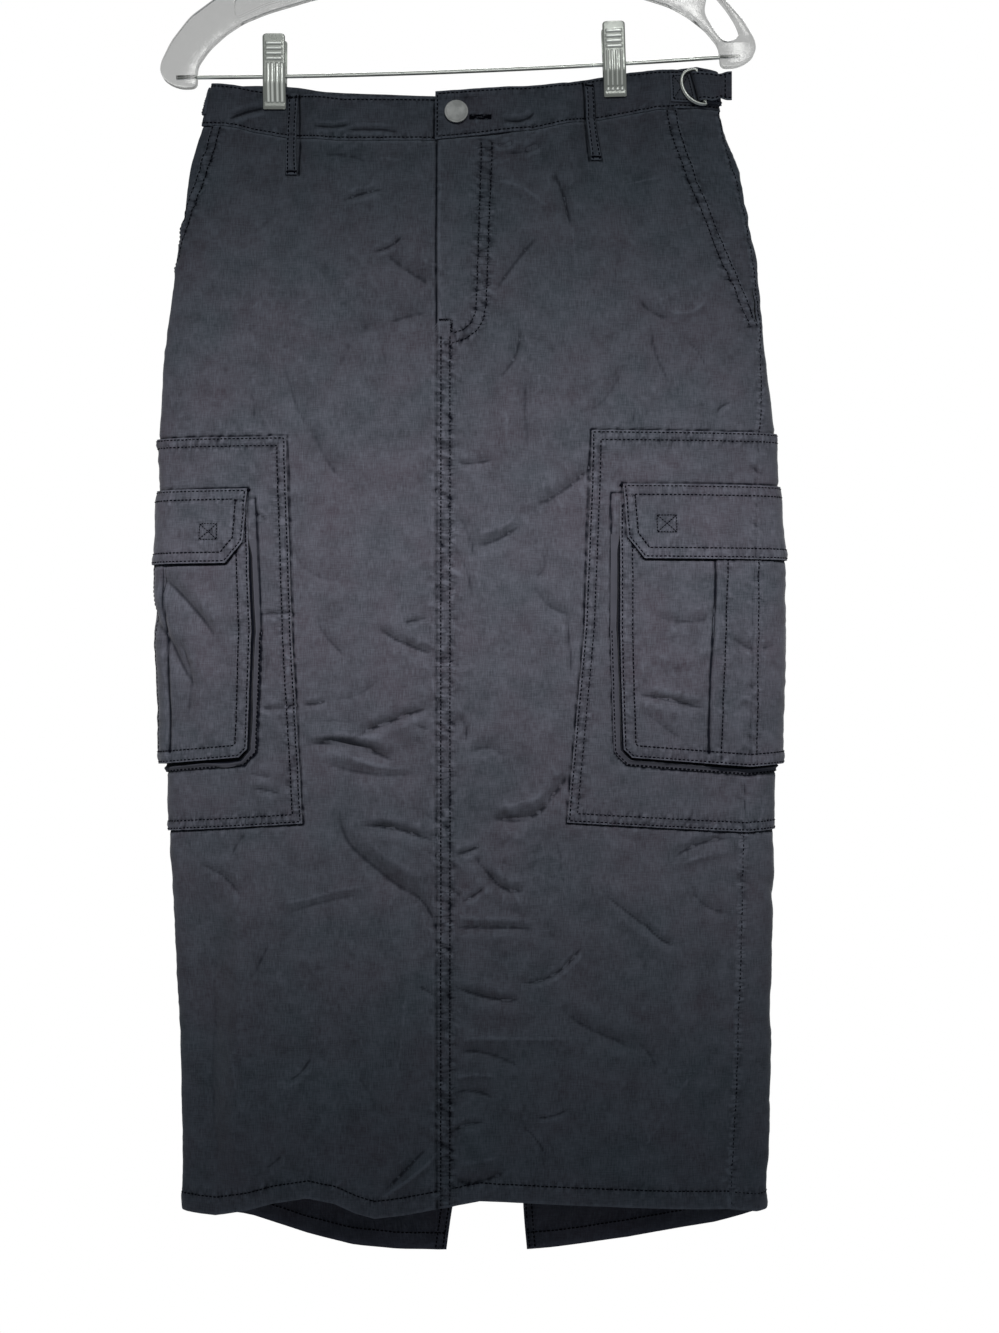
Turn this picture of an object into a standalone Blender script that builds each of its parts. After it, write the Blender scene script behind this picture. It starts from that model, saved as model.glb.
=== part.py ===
"""Cargo utility skirt hanging by two clips from a tilted clip hanger, its open hem at the bottom.

Blender 4.5. Objects are in metres, +Z up, and the front faces -Y. The origin is the inside top of
the hanger's hook. The tables are in millimetres. Right and left are the wearer's.

All cloth lies on one closed form of level rings. A place on it is (q, z): q counts the quarters of
the ring from the centre front, so 1 is the side fold at +X, -1 the side fold at -X, and 2 or -2 the
centre back. s is the same place as a length along the cloth from the centre front. A third number,
out, is the distance from the form, so each layer is the form's own points, moved out.
"""

import math

import bmesh
import bpy
import numpy as np
from mathutils import Matrix, Vector

MM = 0.001
SEAM_GAP = 0.3
CLOTH = 1.2
BAND_CLOTH = 2.4

# The form: level sections that are flat ovals.
SECTION_COLUMNS = ("z", "left", "right", "front", "back")
SECTIONS = (
    (-1066, -189, 228.5, 40, 38),
    (-1016, -192.5, 230, 40, 38),
    (-994, -192, 230, 39, 38),
    (-929, -192.5, 232, 38, 38),
    (-864, -194.5, 232.5, 38, 38),
    (-799, -198, 234, 37, 38),
    (-755, -200, 234, 37, 38),
    (-690, -201, 234, 38, 38),
    (-603, -203.5, 235, 38, 38),
    (-538, -205, 235.5, 38, 37),
    (-473, -207.5, 236, 37, 36),
    (-430, -206, 232.5, 36, 34),
    (-386, -203, 226.5, 34, 32),
    (-343, -197.5, 223, 31, 29),
    (-300, -192, 216, 27, 25),
    (-256, -185, 206, 22, 20),
    (-234, -178.5, 197.5, 19, 17),
    (-206, -171.5, 194.5, 15, 15),
    (-176, -170, 193, 14, 14),
)
OVAL_POWER = 2.15
CENTRE_FRONT_X = -6.6
FORM_STEP_Z = 4.0
WAIST_LEVEL = -228
HEM_LEVEL = -1014
FORM_Z = np.arange(-1064.0, -175.0, FORM_STEP_Z)
FORM_Q = np.linspace(-2.0, 2.0, 1601)
FORM_STEP_Q = FORM_Q[1] - FORM_Q[0]
RING_TURNS = 1440

# Each clip pinches front and back together, and the pinch fades below its jaws.
CLIP_X = {"right": -125.4, "left": 119.9}
PINCH_DEPTH = 1.7
PINCH_HALF_WIDTH = 26
PINCH_FULL_ABOVE = -215
PINCH_FADE = 70

# The largest folds of the hanging cloth: a line on the form, the half width and the height.
FOLD_COLUMNS = ("s_start", "z_start", "s_end", "z_end", "half_width", "height")
FOLDS = (
    (-166, -800, -166, -985, 20, -5.0),
    (-124, -760, -142, -960, 22, 4.5),
    (-4, -815, -42, -1000, 20, 3.5),
    (-70, -728, -2, -812, 20, -4.0),
    (36, -732, 92, -706, 20, -3.5),
    (-94, -672, -30, -688, 20, -3.5),
    (86, -845, 150, -902, 22, -3.5),
    (115, -770, 178, -818, 22, 3.0),
    (-6, -366, -70, -424, 22, -2.5),
    (65, -272, 96, -324, 20, -2.5),
    (70, -318, 34, -362, 20, 2.0),
    (-93, -940, -93, -1000, 24, 5.0),
    (-50, -965, -45, -1015, 20, -3.5),
    (150, -930, 200, -985, 26, -3.0),
    (340, -330, 330, -470, 26, -3.5),
    (-330, -320, -345, -480, 26, -3.0),
    (330, -800, 345, -1010, 28, 4.5),
    (395, -860, 400, -1030, 24, -4.0),
    (-330, -790, -340, -1000, 28, 4.5),
    (-385, -850, -372, -1030, 24, -3.5),
)

# Folds die away towards the stitched patches, which lie flat.
STILL_COLUMNS = ("s_from", "s_to")
STILL = ((75, 375), (-375, -75))
STILL_Z = (-765, -430)
STILL_FADE_S = 26
STILL_FADE_Z = 34

# The grid that all pieces are cut along: lengths from a side fold, and levels.
COLUMN_STEPS = (0, 3, 6.5, 11, 18, 28, 42, 60, 84, 110, 138, 168, 198, 228)
LONG_QUARTER = 251
SHORT_QUARTER = 209
LEAST_COLUMN = 12
ROWS = (
    -204, -218, -234, -252, -274, -300, -332, -366, -402, -438, -474, -508, -535, -565,
    -605, -645, -685, -720, -760, -800, -840, -880, -920, -960, -990, -1016, -1038,
)
CLIP_COLUMN_STEPS = (0, 9, 17, 25, 35)
CLIP_COLUMNS_ABOVE = -300
PATTERN_WIDTH = 230
GRID_SNAP = 0.6

# The waistband's top edge and the seam under it.
BAND_COLUMNS = ("q", "top", "seam")
BAND_RIGHT = (
    (-2.0, -208, -239),
    (-1.5, -205, -236),
    (-1.0, -201, -232),
    (-0.86, -204, -234),
    (-0.63, -208.7, -241),
    (-0.4, -213.8, -246.2),
    (0.0, -215, -246.7),
    (0.14, -213, -243.2),
)
BAND_LEFT = (
    (-0.012, -211.2, -246.7),
    (0.0, -211.2, -246.7),
    (0.18, -208.3, -242.3),
    (0.34, -205.5, -237.7),
    (0.45, -203.3, -232.3),
    (0.57, -197.4, -228),
    (0.68, -193.7, -223.7),
    (0.85, -192.9, -221),
    (0.92, -190.6, -220.9),
    (1.0, -193, -221.5),
    (1.25, -198, -228),
    (1.5, -203, -234),
    (2.0, -208, -239),
)
BAND_UNDERLAP = 28
BAND_OVERLAP = 2.4
BAND_LIFT = 2.7
BAND_LIFT_ENDS = (42, 66)

# The hem, and the vent that opens it at the centre back.
HEM_COLUMNS = ("q", "z")
HEM = (
    (-2.0, -1054),
    (-1.806, -1053),
    (-1.654, -1052),
    (-1.53, -1049),
    (-1.4, -1040),
    (-1.223, -1024),
    (-1.0, -1014),
    (-0.82, -1015),
    (-0.69, -1010),
    (-0.6, -1004.3),
    (-0.47, -999.3),
    (-0.375, -1003.1),
    (-0.3, -1009.9),
    (-0.23, -1013.9),
    (-0.117, -1010.9),
    (0.0, -1006.6),
    (0.12, -1000.9),
    (0.25, -1002.4),
    (0.517, -1006),
    (0.69, -1008.6),
    (0.84, -1010.3),
    (0.936, -1013.9),
    (1.0, -1013),
    (1.13, -1023),
    (1.22, -1029),
    (1.545, -1042.6),
    (1.87, -1051.5),
    (2.0, -1054),
)
VENT_TOP = -800
VENT_Q = {"right": -1.806, "left": 1.939}

# The side seams, the same on both sides.
SIDE_SEAM_COLUMNS = ("z", "s")
SIDE_SEAM = (
    (-1066, 208),
    (-990, 210),
    (-840, 215.5),
    (-760, 217.5),
    (-565, 222),
    (-474, 228),
    (-438, 232),
    (-378, 233),
    (-300, 222),
    (-218, 206),
    (-190, 203),
)

# The slanted pocket mouths, from the waistband down to the side seam.
MOUTH_COLUMNS = ("z", "s")
MOUTH = ((-378, 233), (-332, 211), (-281, 191.5), (-236, 180), (-200, 173))
MOUTH_END = MOUTH[0][0]
MOUTH_SHIFT = {1: 0, -1: 10}
MOUTH_SHIFT_FADE = 60
FACING_UNDERLAP = 10
FACING_DROP = 1.75
FACING_RAMP = (4, 16)
FACING_END = MOUTH_END - 10

# The fly: the left panel's lifted edge over the right panel, with the zip strip behind both.
FLY_END = -384
FLY_STEP = 6
FLY_EDGE = -0.5
FLY_LAP = 4
FLY_LIFT = 1.5
FLY_LIFT_ENDS_S = (12, 46)
FLY_LIFT_ENDS_Z = (-408, -388)
ZIP_S = (-14, 34)
ZIP_Z = (-250, -372)
ZIP_DROP = 0.8

# Cargo patches, flaps and pockets: lengths from the centre front on each side.
CARGO_COLUMNS = (
    "patch_top", "patch_middle", "patch_bottom", "patch_top_z", "patch_bottom_z",
    "flap_top", "flap_low", "flap_chamfer", "flap_top_z",
    "pocket_top", "pocket_middle", "pocket_low", "pocket_bottom_z",
)
CARGO = {
    "left": (109, 104, 91.5, -455, -733, 131, 134, 145.5, -493, 129, 128.5, 131, -687),
    "right": (108, 104, 96.5, -459, -734, 136, 138, 150.5, -496, 136, 132, 135, -687),
}
CARGO_MIDDLE = 222
PATCH_DROP = 8
FLAP_LENGTH = 53
FLAP_CHAMFER = 15
POCKET_DROP = 7
POCKET_CORNER = 6
POCKET_TOP = 13
POCKET_FULL = 66
PLEAT_COLUMNS = ("z", "front_edge", "back_edge")
PLEAT = ((-700, 192, 249), (-500, 199, 251))
PLEAT_RAISE = 1.5
PLEAT_STEP = 0.6
PATCH_OUT = (0.9, 2.1)
POCKET_OUT_TOP = 2.4
POCKET_OUT_FULL = 5.9
GUSSET_TOP = 36
GUSSET_SEAM = 6
GUSSET_TUCK = 2.2
GUSSET_CLOTH = 1.6

# Belt loops: centres at their top and bottom ends, and levels.
LOOP_COLUMNS = ("name", "q_top", "q_bottom", "z_top", "z_bottom")
LOOPS = (
    ("belt_loop_front_right", -0.628, -0.57, -210, -270),
    ("belt_loop_front_left", 0.526, 0.52, -202, -259),
    ("belt_loop_back_right", -1.62, -1.62, -206.5, -266),
    ("belt_loop_back_left", 1.62, 1.62, -205.5, -265),
    ("belt_loop_back_centre", 2.0, 2.0, -207.5, -267),
)
LOOP_HALF_WIDTH = 4.7
LOOP_CLOTH = 1.6
LOOP_OUT = 1.65
LOOP_BOW = 1.2
LOOP_CUTS = (10, 20, 40, 50)

# Side adjusters on the waistband: a sewn tab, two D-rings and a strap round their bars.
TAB_S = (172, 187)
TAB_LEAN = 3
TAB_FLARE = 2
ADJUSTER_HALF_HEIGHT = 10.3
ADJUSTER_Z = {"right": -214, "left": -206.5}
RING_BAR_S = 192
RING_BAR = 25
RING_DEPTH = 13.5
RING_WIRE = 0.95
RING_OUT = (4.4, 6.65)
RING_LEAN = 0.33
RING_STEPS = 14
RING_ROUND = 0.8
STRAP_CLOTH = 1.3
STRAP_END_S = {"right": 207, "left": 240}
STRAP_LEAN_S = (203, 194)
STRAP_OUT = 2.2
STRAP_TURN = 3.9
STRAP_TURN_S = 193.5
STRAP_TURN_REACH = 5.2
STRAP_TURN_POWER = 0.7
STRAP_TURN_STEPS = 6
STRAP_CLOSEST = 0.008
TAIL_LENGTH = 19
TAIL_ROWS = (0.2, 0.4, 0.6, 0.8, 1.0)
TAIL_STRAIGHT_BY = 0.7
TAIL_NECK = 1.6
TAIL_NECK_AT = 0.55
TAIL_NECK_WIDTH = 0.18
TAIL_HEADING = {"right": 6, "left": -4}

BUTTON_PLACE = (12.8, -227.4)
BUTTON_RADIUS = 8.5
BUTTON_HEIGHT = 2.8
BUTTON_SIDES = 20
BUTTON_BACK = 0.55
BUTTON_RIM = 0.8
BUTTON_DISH = 0.5

# The hanger, in its own upright frame: its outline from the middle outwards, one side.
HANGER_TILT = math.radians(-2.2)
HANGER_HALF_THICK = 4.5
HANGER_OUTER = (
    (0, -76), (9, -77), (14, -86), (34, -90), (70, -97), (110, -108), (145, -119.5), (174.2, -133.7),
    (192.2, -146), (206.5, -163), (214.5, -178), (215.5, -184.5), (213, -190.5), (207, -195),
    (200, -197.3), (189.2, -197.3),
)
HANGER_INNER = (
    (188.6, -182), (179.3, -169.6), (167, -159.2), (153.8, -151.2), (135.5, -144.6), (103.3, -136.4),
    (60, -128.5), (0, -123),
)
HANGER_SLOT = (
    (181, -147), (182.5, -142.5), (186, -143.5), (195.1, -155.1), (201.2, -165.5), (204, -173.6),
    (200, -178.4), (192, -178.4), (185.8, -170.8), (178.6, -157.4),
)
HANGER_EDGE = 1.2
HANGER_RECESS = 2.4
RECESS_OUTER = (
    (24, -94), (70, -102.5), (108, -113.3), (141, -124.5), (160, -133),
)
RECESS_INNER = (
    (160, -148.5), (137, -138.8), (104, -131), (61, -123), (24, -118.6),
)
ROD_RADIUS = 1.5
ROD_HALF_LENGTH = 203
ROD_Z = -189.4
ROD_SAG = 3.0
ROD_SPAN = 188
HOOK_WIRE = 1.9
HOOK_INNER_RADIUS = 20
HOOK_SHANK_TOP = -56
HOOK_SHANK_END = -75.7
HOOK_TIP_ANGLE = 205
HOOK_START_ANGLE = -48
HOOK_BOW_X = 0.6
HOOK_STEPS = 20

# A clip, from the rod's axis: the height and the distance forward of its front plate's middle.
PLATE_COLUMNS = ("z", "forward")
PLATE = ((28.6, 10.5), (8, 8.6), (-6, 8.0), (-19, 4.1), (-22.5, 3.9), (-24.7, 4.9))
CLIP_THICK = 0.9
CLIP_WIDTH = 16.2
EAR_RADIUS = 4.6
EAR_INSET = {"front": 0.0, "back": 1.3}
EAR_HOLE = 2.2
EAR_REACH = 8.2
EAR_HALF_HEIGHT = 5.6
EAR_SIDES = 10
SPRING_RADIUS = 3.3
SPRING_LENGTH = 9.5
CLIP_LEAN = {"right": 0.0, "left": math.radians(-1.95)}

COLOURS = {
    "cloth": (0.075, 0.082, 0.1, 0.85, 0.0),
    "zip": (0.03, 0.03, 0.04, 0.6, 0.0),
    "matte_metal": (0.32, 0.33, 0.33, 0.45, 1.0),
    "bright_metal": (0.55, 0.56, 0.55, 0.25, 1.0),
    "clear_plastic": (0.62, 0.64, 0.63, 0.12, 0.0),
}


def table(columns, rows):
    """The rows as one array for each named column, in rising order of the first."""
    values = np.array(sorted(rows), float)
    return {name: values[:, i] for i, name in enumerate(columns)}


def named_rows(columns, rows):
    """Each row of a table, with its values under the columns' names."""
    return [dict(zip(columns, row)) for row in rows]


def through(x, rows, columns, wanted):
    """Straight lines through a table's points."""
    values = table(columns, rows)
    return np.interp(x, values[columns[0]], values[wanted])


def smooth_through(x, xs, ys):
    """A smooth curve through the points, with the mean slope of the neighbours at each."""
    slopes = np.gradient(ys, xs)
    i = np.clip(np.searchsorted(xs, x) - 1, 0, len(xs) - 2)
    span = xs[i + 1] - xs[i]
    t = np.clip((x - xs[i]) / span, 0, 1)
    first = (1 + 2 * t) * (1 - t) ** 2 * ys[i] + t * (1 - t) ** 2 * span * slopes[i]
    second = t**2 * (3 - 2 * t) * ys[i + 1] - t**2 * (1 - t) * span * slopes[i + 1]
    return first + second


def ease(x, start, end):
    """0 before start, 1 after end, smooth between."""
    t = np.clip((np.asarray(x, float) - start) / (end - start), 0, 1)
    return t * t * (3 - 2 * t)


def signed_power(value, power):
    return np.sign(value) * np.abs(value) ** power


def ring_at(z):
    """One level section: its x, y and lengths along it, from the middle of the back."""
    section = table(SECTION_COLUMNS, SECTIONS)
    left, right, front, back = (
        smooth_through(z, section["z"], section[name]) for name in SECTION_COLUMNS[1:]
    )
    turn = np.linspace(-math.pi, math.pi, RING_TURNS + 1)
    x = (left + right) / 2 + (right - left) / 2 * signed_power(np.sin(turn), 2 / OVAL_POWER)
    depth = np.where(np.cos(turn) > 0, front, back)
    y = -depth * signed_power(np.cos(turn), 2 / OVAL_POWER)
    fade = math.exp(-((max(0.0, PINCH_FULL_ABOVE - z) / PINCH_FADE) ** 2))
    pinch = sum(np.exp(-(((x - clip) / PINCH_HALF_WIDTH) ** 4)) for clip in CLIP_X.values()) * fade
    y = y * (1 - pinch) + np.sign(y) * PINCH_DEPTH * pinch
    length = np.concatenate([[0], np.cumsum(np.hypot(np.diff(x), np.diff(y)))])
    return x, y, length


def build_form():
    """The form's points by level and q, its outward normals, and its landmarks' lengths."""
    points = np.empty((len(FORM_Z), len(FORM_Q), 3))
    landmarks = np.empty((len(FORM_Z), 5))
    left_fold, right_fold = RING_TURNS // 4, 3 * RING_TURNS // 4
    for row, z in enumerate(FORM_Z):
        x, y, length = ring_at(z)
        front = slice(left_fold, right_fold + 1)
        start = np.interp(CENTRE_FRONT_X, x[front], length[front])
        half = length[-1] / 2
        marks = (start - half, length[left_fold], start, length[right_fold], start + half)
        wanted = np.interp(FORM_Q, (-2, -1, 0, 1, 2), marks) % length[-1]
        points[row, :, 0] = np.interp(wanted, length, x)
        points[row, :, 1] = np.interp(wanted, length, y)
        points[row, :, 2] = z
        landmarks[row] = np.array(marks) - start
    normals = np.cross(np.gradient(points, axis=1), np.gradient(points, axis=0))
    normals /= np.linalg.norm(normals, axis=2, keepdims=True)
    return points, normals, landmarks


FORM_POINTS, FORM_NORMALS, FORM_LANDMARKS = build_form()


def look_up(grid, q, z):
    """The grid's value at (q, z), straight between its points."""
    row = np.clip((z - FORM_Z[0]) / FORM_STEP_Z, 0, len(FORM_Z) - 1.001)
    column = np.clip((q - FORM_Q[0]) / FORM_STEP_Q, 0, len(FORM_Q) - 1.001)
    i, j = row.astype(int), column.astype(int)
    u, v = (row - i)[..., None], (column - j)[..., None]
    low = grid[i, j] * (1 - v) + grid[i, j + 1] * v
    high = grid[i + 1, j] * (1 - v) + grid[i + 1, j + 1] * v
    return low * (1 - u) + high * u


def marks_at(z):
    """The lengths s of q = -2, -1, 0, 1 and 2 at this level."""
    return [float(np.interp(z, FORM_Z, FORM_LANDMARKS[:, i])) for i in range(5)]


def q_of(s, z):
    return float(np.interp(s, marks_at(z), (-2, -1, 0, 1, 2)))


def s_of(q, z):
    """Lengths from the centre front, for arrays of q and z."""
    marks = np.stack([np.interp(z, FORM_Z, FORM_LANDMARKS[:, i]) for i in range(5)])
    quarter = np.clip(np.floor(q).astype(int), -2, 1)
    low = np.take_along_axis(marks, (quarter + 2)[None], 0)[0]
    high = np.take_along_axis(marks, (quarter + 3)[None], 0)[0]
    return low + (high - low) * (q - quarter)


def fold_height(s, z):
    """How far the largest folds move the cloth out of the form."""
    height = np.zeros_like(s)
    for fold in named_rows(FOLD_COLUMNS, FOLDS):
        from_start = s - fold["s_start"], z - fold["z_start"]
        run = fold["s_end"] - fold["s_start"], fold["z_end"] - fold["z_start"]
        along = (from_start[0] * run[0] + from_start[1] * run[1]) / (run[0] ** 2 + run[1] ** 2)
        along = np.clip(along, 0, 1)
        distance = np.hypot(from_start[0] - along * run[0], from_start[1] - along * run[1])
        height += fold["height"] * np.exp(-((distance / fold["half_width"]) ** 2))
    still_z = ease(z, STILL_Z[0] - STILL_FADE_Z, STILL_Z[0])
    still_z = still_z * (1 - ease(z, STILL_Z[1], STILL_Z[1] + STILL_FADE_Z))
    for still in named_rows(STILL_COLUMNS, STILL):
        still_s = ease(s, still["s_from"] - STILL_FADE_S, still["s_from"])
        still_s = still_s * (1 - ease(s, still["s_to"], still["s_to"] + STILL_FADE_S))
        height *= 1 - still_s * still_z
    return height


def on_form(q, z, out):
    """Points in millimetres, out from the form and its folds. q runs on past the centre back."""
    q, z = np.asarray(q, float), np.asarray(z, float)
    q = np.where(np.abs(q) > 2, (q + 2) % 4 - 2, q)
    out = np.asarray(out, float) + fold_height(s_of(q, z), z)
    normal = look_up(FORM_NORMALS, q, z)
    return look_up(FORM_POINTS, q, z) + normal * out[..., None]


def clear_scene():
    for obj in list(bpy.data.objects):
        bpy.data.objects.remove(obj)


def material(name):
    """A plain shader of one colour, roughness and metallic value."""
    found = bpy.data.materials.get(name)
    if found:
        return found
    red, green, blue, roughness, metallic = COLOURS[name]
    made = bpy.data.materials.new(name)
    made.use_nodes = True
    made.diffuse_color = (red, green, blue, 1)
    shader = made.node_tree.nodes["Principled BSDF"]
    shader.inputs["Base Color"].default_value = (red, green, blue, 1)
    shader.inputs["Roughness"].default_value = roughness
    shader.inputs["Metallic"].default_value = metallic
    return made


def add_mesh(name, points, faces, finish, smooth_angle=50):
    """An object of these points, in millimetres, and faces."""
    mesh = bpy.data.meshes.new(name)
    mesh.from_pydata([tuple(float(value) * MM for value in point) for point in points], [], faces)
    mesh.shade_smooth()
    mesh.set_sharp_from_angle(angle=math.radians(smooth_angle))
    mesh.materials.append(material(finish))
    obj = bpy.data.objects.new(name, mesh)
    bpy.context.scene.collection.objects.link(obj)
    return obj


def grid_columns():
    """The q of each grid line that runs down the cloth."""
    columns = {0.0}
    for side, front, back in ((1, LONG_QUARTER, SHORT_QUARTER), (-1, SHORT_QUARTER, LONG_QUARTER)):
        for step in COLUMN_STEPS:
            if step < front - LEAST_COLUMN:
                columns.add(side * (1 - step / front))
            if step < back - LEAST_COLUMN:
                columns.add(side * (1 + step / back))
    return sorted(columns)


GRID_COLUMNS = grid_columns()


def clip_columns():
    """The q of the closer grid lines beside each clip, on the front and on the back."""
    columns = []
    middle = FORM_POINTS[np.searchsorted(FORM_Z, PINCH_FULL_ABOVE)]
    for clip in CLIP_X.values():
        for step in CLIP_COLUMN_STEPS:
            for x in {clip - step, clip + step}:
                crossings = np.nonzero(np.diff(np.sign(middle[:, 0] - x)))[0]
                columns += [float(FORM_Q[i]) for i in crossings]
    return sorted(columns)


CLIP_COLUMNS = clip_columns()


def cut_flat(outline, more_cuts=()):
    """A flat piece with this outline of (q, z) points, cut along the grid and the lines in more_cuts."""
    bm = bmesh.new()
    corners = [bm.verts.new((q * PATTERN_WIDTH, z, 0)) for q, z in outline]
    bm.faces.new(corners)
    cuts = [((q * PATTERN_WIDTH, 0, 0), (1, 0, 0)) for q in GRID_COLUMNS]
    cuts += [((0, z, 0), (0, 1, 0)) for z in ROWS]
    for (q0, z0), (q1, z1) in more_cuts:
        cuts.append(((q0 * PATTERN_WIDTH, z0, 0), (z1 - z0, -(q1 - q0) * PATTERN_WIDTH, 0)))
    for place, direction in cuts:
        geometry = bm.verts[:] + bm.edges[:] + bm.faces[:]
        bmesh.ops.bisect_plane(
            bm, geom=geometry, dist=GRID_SNAP, plane_co=place, plane_no=Vector(direction).normalized()
        )
    for q in CLIP_COLUMNS:
        faces = [face for face in bm.faces if face.calc_center_median().y > CLIP_COLUMNS_ABOVE]
        geometry = faces + list({edge for face in faces for edge in face.edges})
        geometry += list({vert for face in faces for vert in face.verts})
        bmesh.ops.bisect_plane(
            bm, geom=geometry, dist=GRID_SNAP, plane_co=(q * PATTERN_WIDTH, 0, 0), plane_no=(1, 0, 0)
        )
    bmesh.ops.triangulate(bm, faces=[face for face in bm.faces if len(face.verts) > 4])
    bm.normal_update()
    bmesh.ops.reverse_faces(bm, faces=[face for face in bm.faces if face.normal.z < 0])
    return bm


def wall(outer_points, inner_points, faces, rims):
    """One closed wall from the same faces outside and inside, joined along its rims."""
    count = len(outer_points)
    points = list(outer_points) + list(inner_points)
    closed = [tuple(face) for face in faces]
    closed += [tuple(i + count for i in reversed(face)) for face in faces]
    closed += [(b, a, a + count, b + count) for a, b in rims]
    return points, closed


def cloth_piece(name, outline, inner, outer, lift=None, more_cuts=(), finish="cloth"):
    """A cloth node: a flat outline laid on the form, from inner to outer. lift(s, z) moves it out."""
    bm = cut_flat(outline, more_cuts)
    bm.verts.index_update()
    q = np.array([vert.co.x / PATTERN_WIDTH for vert in bm.verts])
    z = np.array([vert.co.y for vert in bm.verts])
    rise = lift(s_of(q, z), z) if lift else 0
    faces = [[vert.index for vert in face.verts] for face in bm.faces]
    rims = [
        (loop.vert.index, loop.link_loop_next.vert.index)
        for face in bm.faces
        for loop in face.loops
        if loop.edge.is_boundary
    ]
    bm.free()
    points, closed = wall(on_form(q, z, outer + rise), on_form(q, z, inner + rise), faces, rims)
    return add_mesh(name, points, closed, finish)


def tube(name, path, radius, finish, closed=False, sides=10):
    """A round wire along a path of points, in one loop or with flat ends."""
    path = np.asarray(path, float)
    if closed:
        ahead, behind = np.roll(path, -1, axis=0), np.roll(path, 1, axis=0)
    else:
        ahead = np.concatenate([path[1:], path[-1:]])
        behind = np.concatenate([path[:1], path[:-1]])
    tangent = ahead - behind
    tangent /= np.linalg.norm(tangent, axis=1, keepdims=True)
    side = np.cross(tangent[0], tangent[len(path) // 3])
    points = []
    for place, heading in zip(path, tangent):
        side = side - heading * side.dot(heading)
        side = side / np.linalg.norm(side)
        up = np.cross(heading, side)
        for step in range(sides):
            angle = 2 * math.pi * step / sides
            points.append(place + radius * (math.cos(angle) * side + math.sin(angle) * up))
    faces = []
    count = len(path)
    for i in range(count if closed else count - 1):
        for j in range(sides):
            a, b = i * sides + j, i * sides + (j + 1) % sides
            c, d = (i + 1) % count * sides + j, (i + 1) % count * sides + (j + 1) % sides
            faces.append((a, b, d, c))
    if not closed:
        faces.append(tuple(reversed(range(sides))))
        faces.append(tuple((count - 1) * sides + j for j in range(sides)))
    return add_mesh(name, points, faces, finish)


def slab(name, outline, half_thick, finish, bevel=0.0):
    """A flat plate in the XZ plane with this outline of (x, z) points, run anticlockwise from -Y."""
    count = len(outline)
    points = [(x, -half_thick, z) for x, z in outline] + [(x, half_thick, z) for x, z in outline]
    faces = [tuple(range(count)), tuple(reversed(range(count, 2 * count)))]
    for i in range(count):
        j = (i + 1) % count
        faces.append((j, i, i + count, j + count))
    obj = add_mesh(name, points, faces, finish, smooth_angle=35)
    if bevel:
        edge = obj.modifiers.new("soft edges", "BEVEL")
        edge.width = bevel * MM
        edge.segments = 1
        edge.limit_method = "ANGLE"
        edge.angle_limit = math.radians(60)
    return obj


def cutter(obj):
    obj.hide_render = True
    obj.display_type = "WIRE"
    return obj


def cut(obj, tool, operation="DIFFERENCE"):
    step = obj.modifiers.new(tool.name, "BOOLEAN")
    step.operation = operation
    step.object = tool
    step.solver = "EXACT"


def at(s, z):
    """An outline point, from a length and a level."""
    return q_of(s, z), z


def levels(top, bottom):
    """Grid levels strictly between two heights, from the top down."""
    return [z for z in sorted({*ROWS, MOUTH_END}, reverse=True) if bottom + 1 < z < top - 1]


def seam_line(top, bottom, side, inset):
    """The side seam from top to bottom, moved back by inset along the cloth."""
    heights = [top, *levels(top, bottom), bottom]
    return [at(side * seam_length(z, inset), z) for z in heights]


def seam_length(z, inset):
    return float(through(z, SIDE_SEAM, SIDE_SEAM_COLUMNS, "s")) + inset


def hem_at_seam(side, inset):
    """The level where the side seam meets the hem."""
    z = HEM_LEVEL
    for _ in range(3):
        z = float(through(q_of(side * seam_length(z, inset), z), HEM, HEM_COLUMNS, "z"))
    return z


def waist_level(side, rows, length_at):
    """The level where a line down the cloth, given by its length at each level, meets the waist seam."""
    z = WAIST_LEVEL
    for _ in range(3):
        z = float(through(q_of(side * length_at(z), z), rows, BAND_COLUMNS, "seam"))
    return z - SEAM_GAP / 2


def band_seam(rows, start, end):
    """The cloth's edge at the waist seam between two q, rising in q."""
    places = [start, *[row[0] for row in rows if start < row[0] < end], end]
    return [(q, float(through(q, rows, BAND_COLUMNS, "seam")) - SEAM_GAP / 2) for q in places]


def hem_line(start, end):
    """The hem between two q, rising in q."""
    places = [start, *[row[0] for row in HEM if start < row[0] < end], end]
    return [(q, float(through(q, HEM, HEM_COLUMNS, "z"))) for q in places]


def mouth_length(z, side):
    """The pocket mouth's length from the centre front, at one level or at several."""
    shift = MOUTH_SHIFT[side] * ease(z, MOUTH_END, MOUTH_END + MOUTH_SHIFT_FADE)
    return through(z, MOUTH, MOUTH_COLUMNS, "s") - shift


def mouth_line(side, rows, inset=0.0):
    """The mouth's edge from its lower end up to the waist seam, moved forward by inset."""
    top = waist_level(side, rows, lambda z: float(mouth_length(z, side)) - inset)
    heights = [MOUTH_END, *reversed(levels(top, MOUTH_END)), top]
    return [at(side * (float(mouth_length(z, side)) - inset), z) for z in heights]


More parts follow.
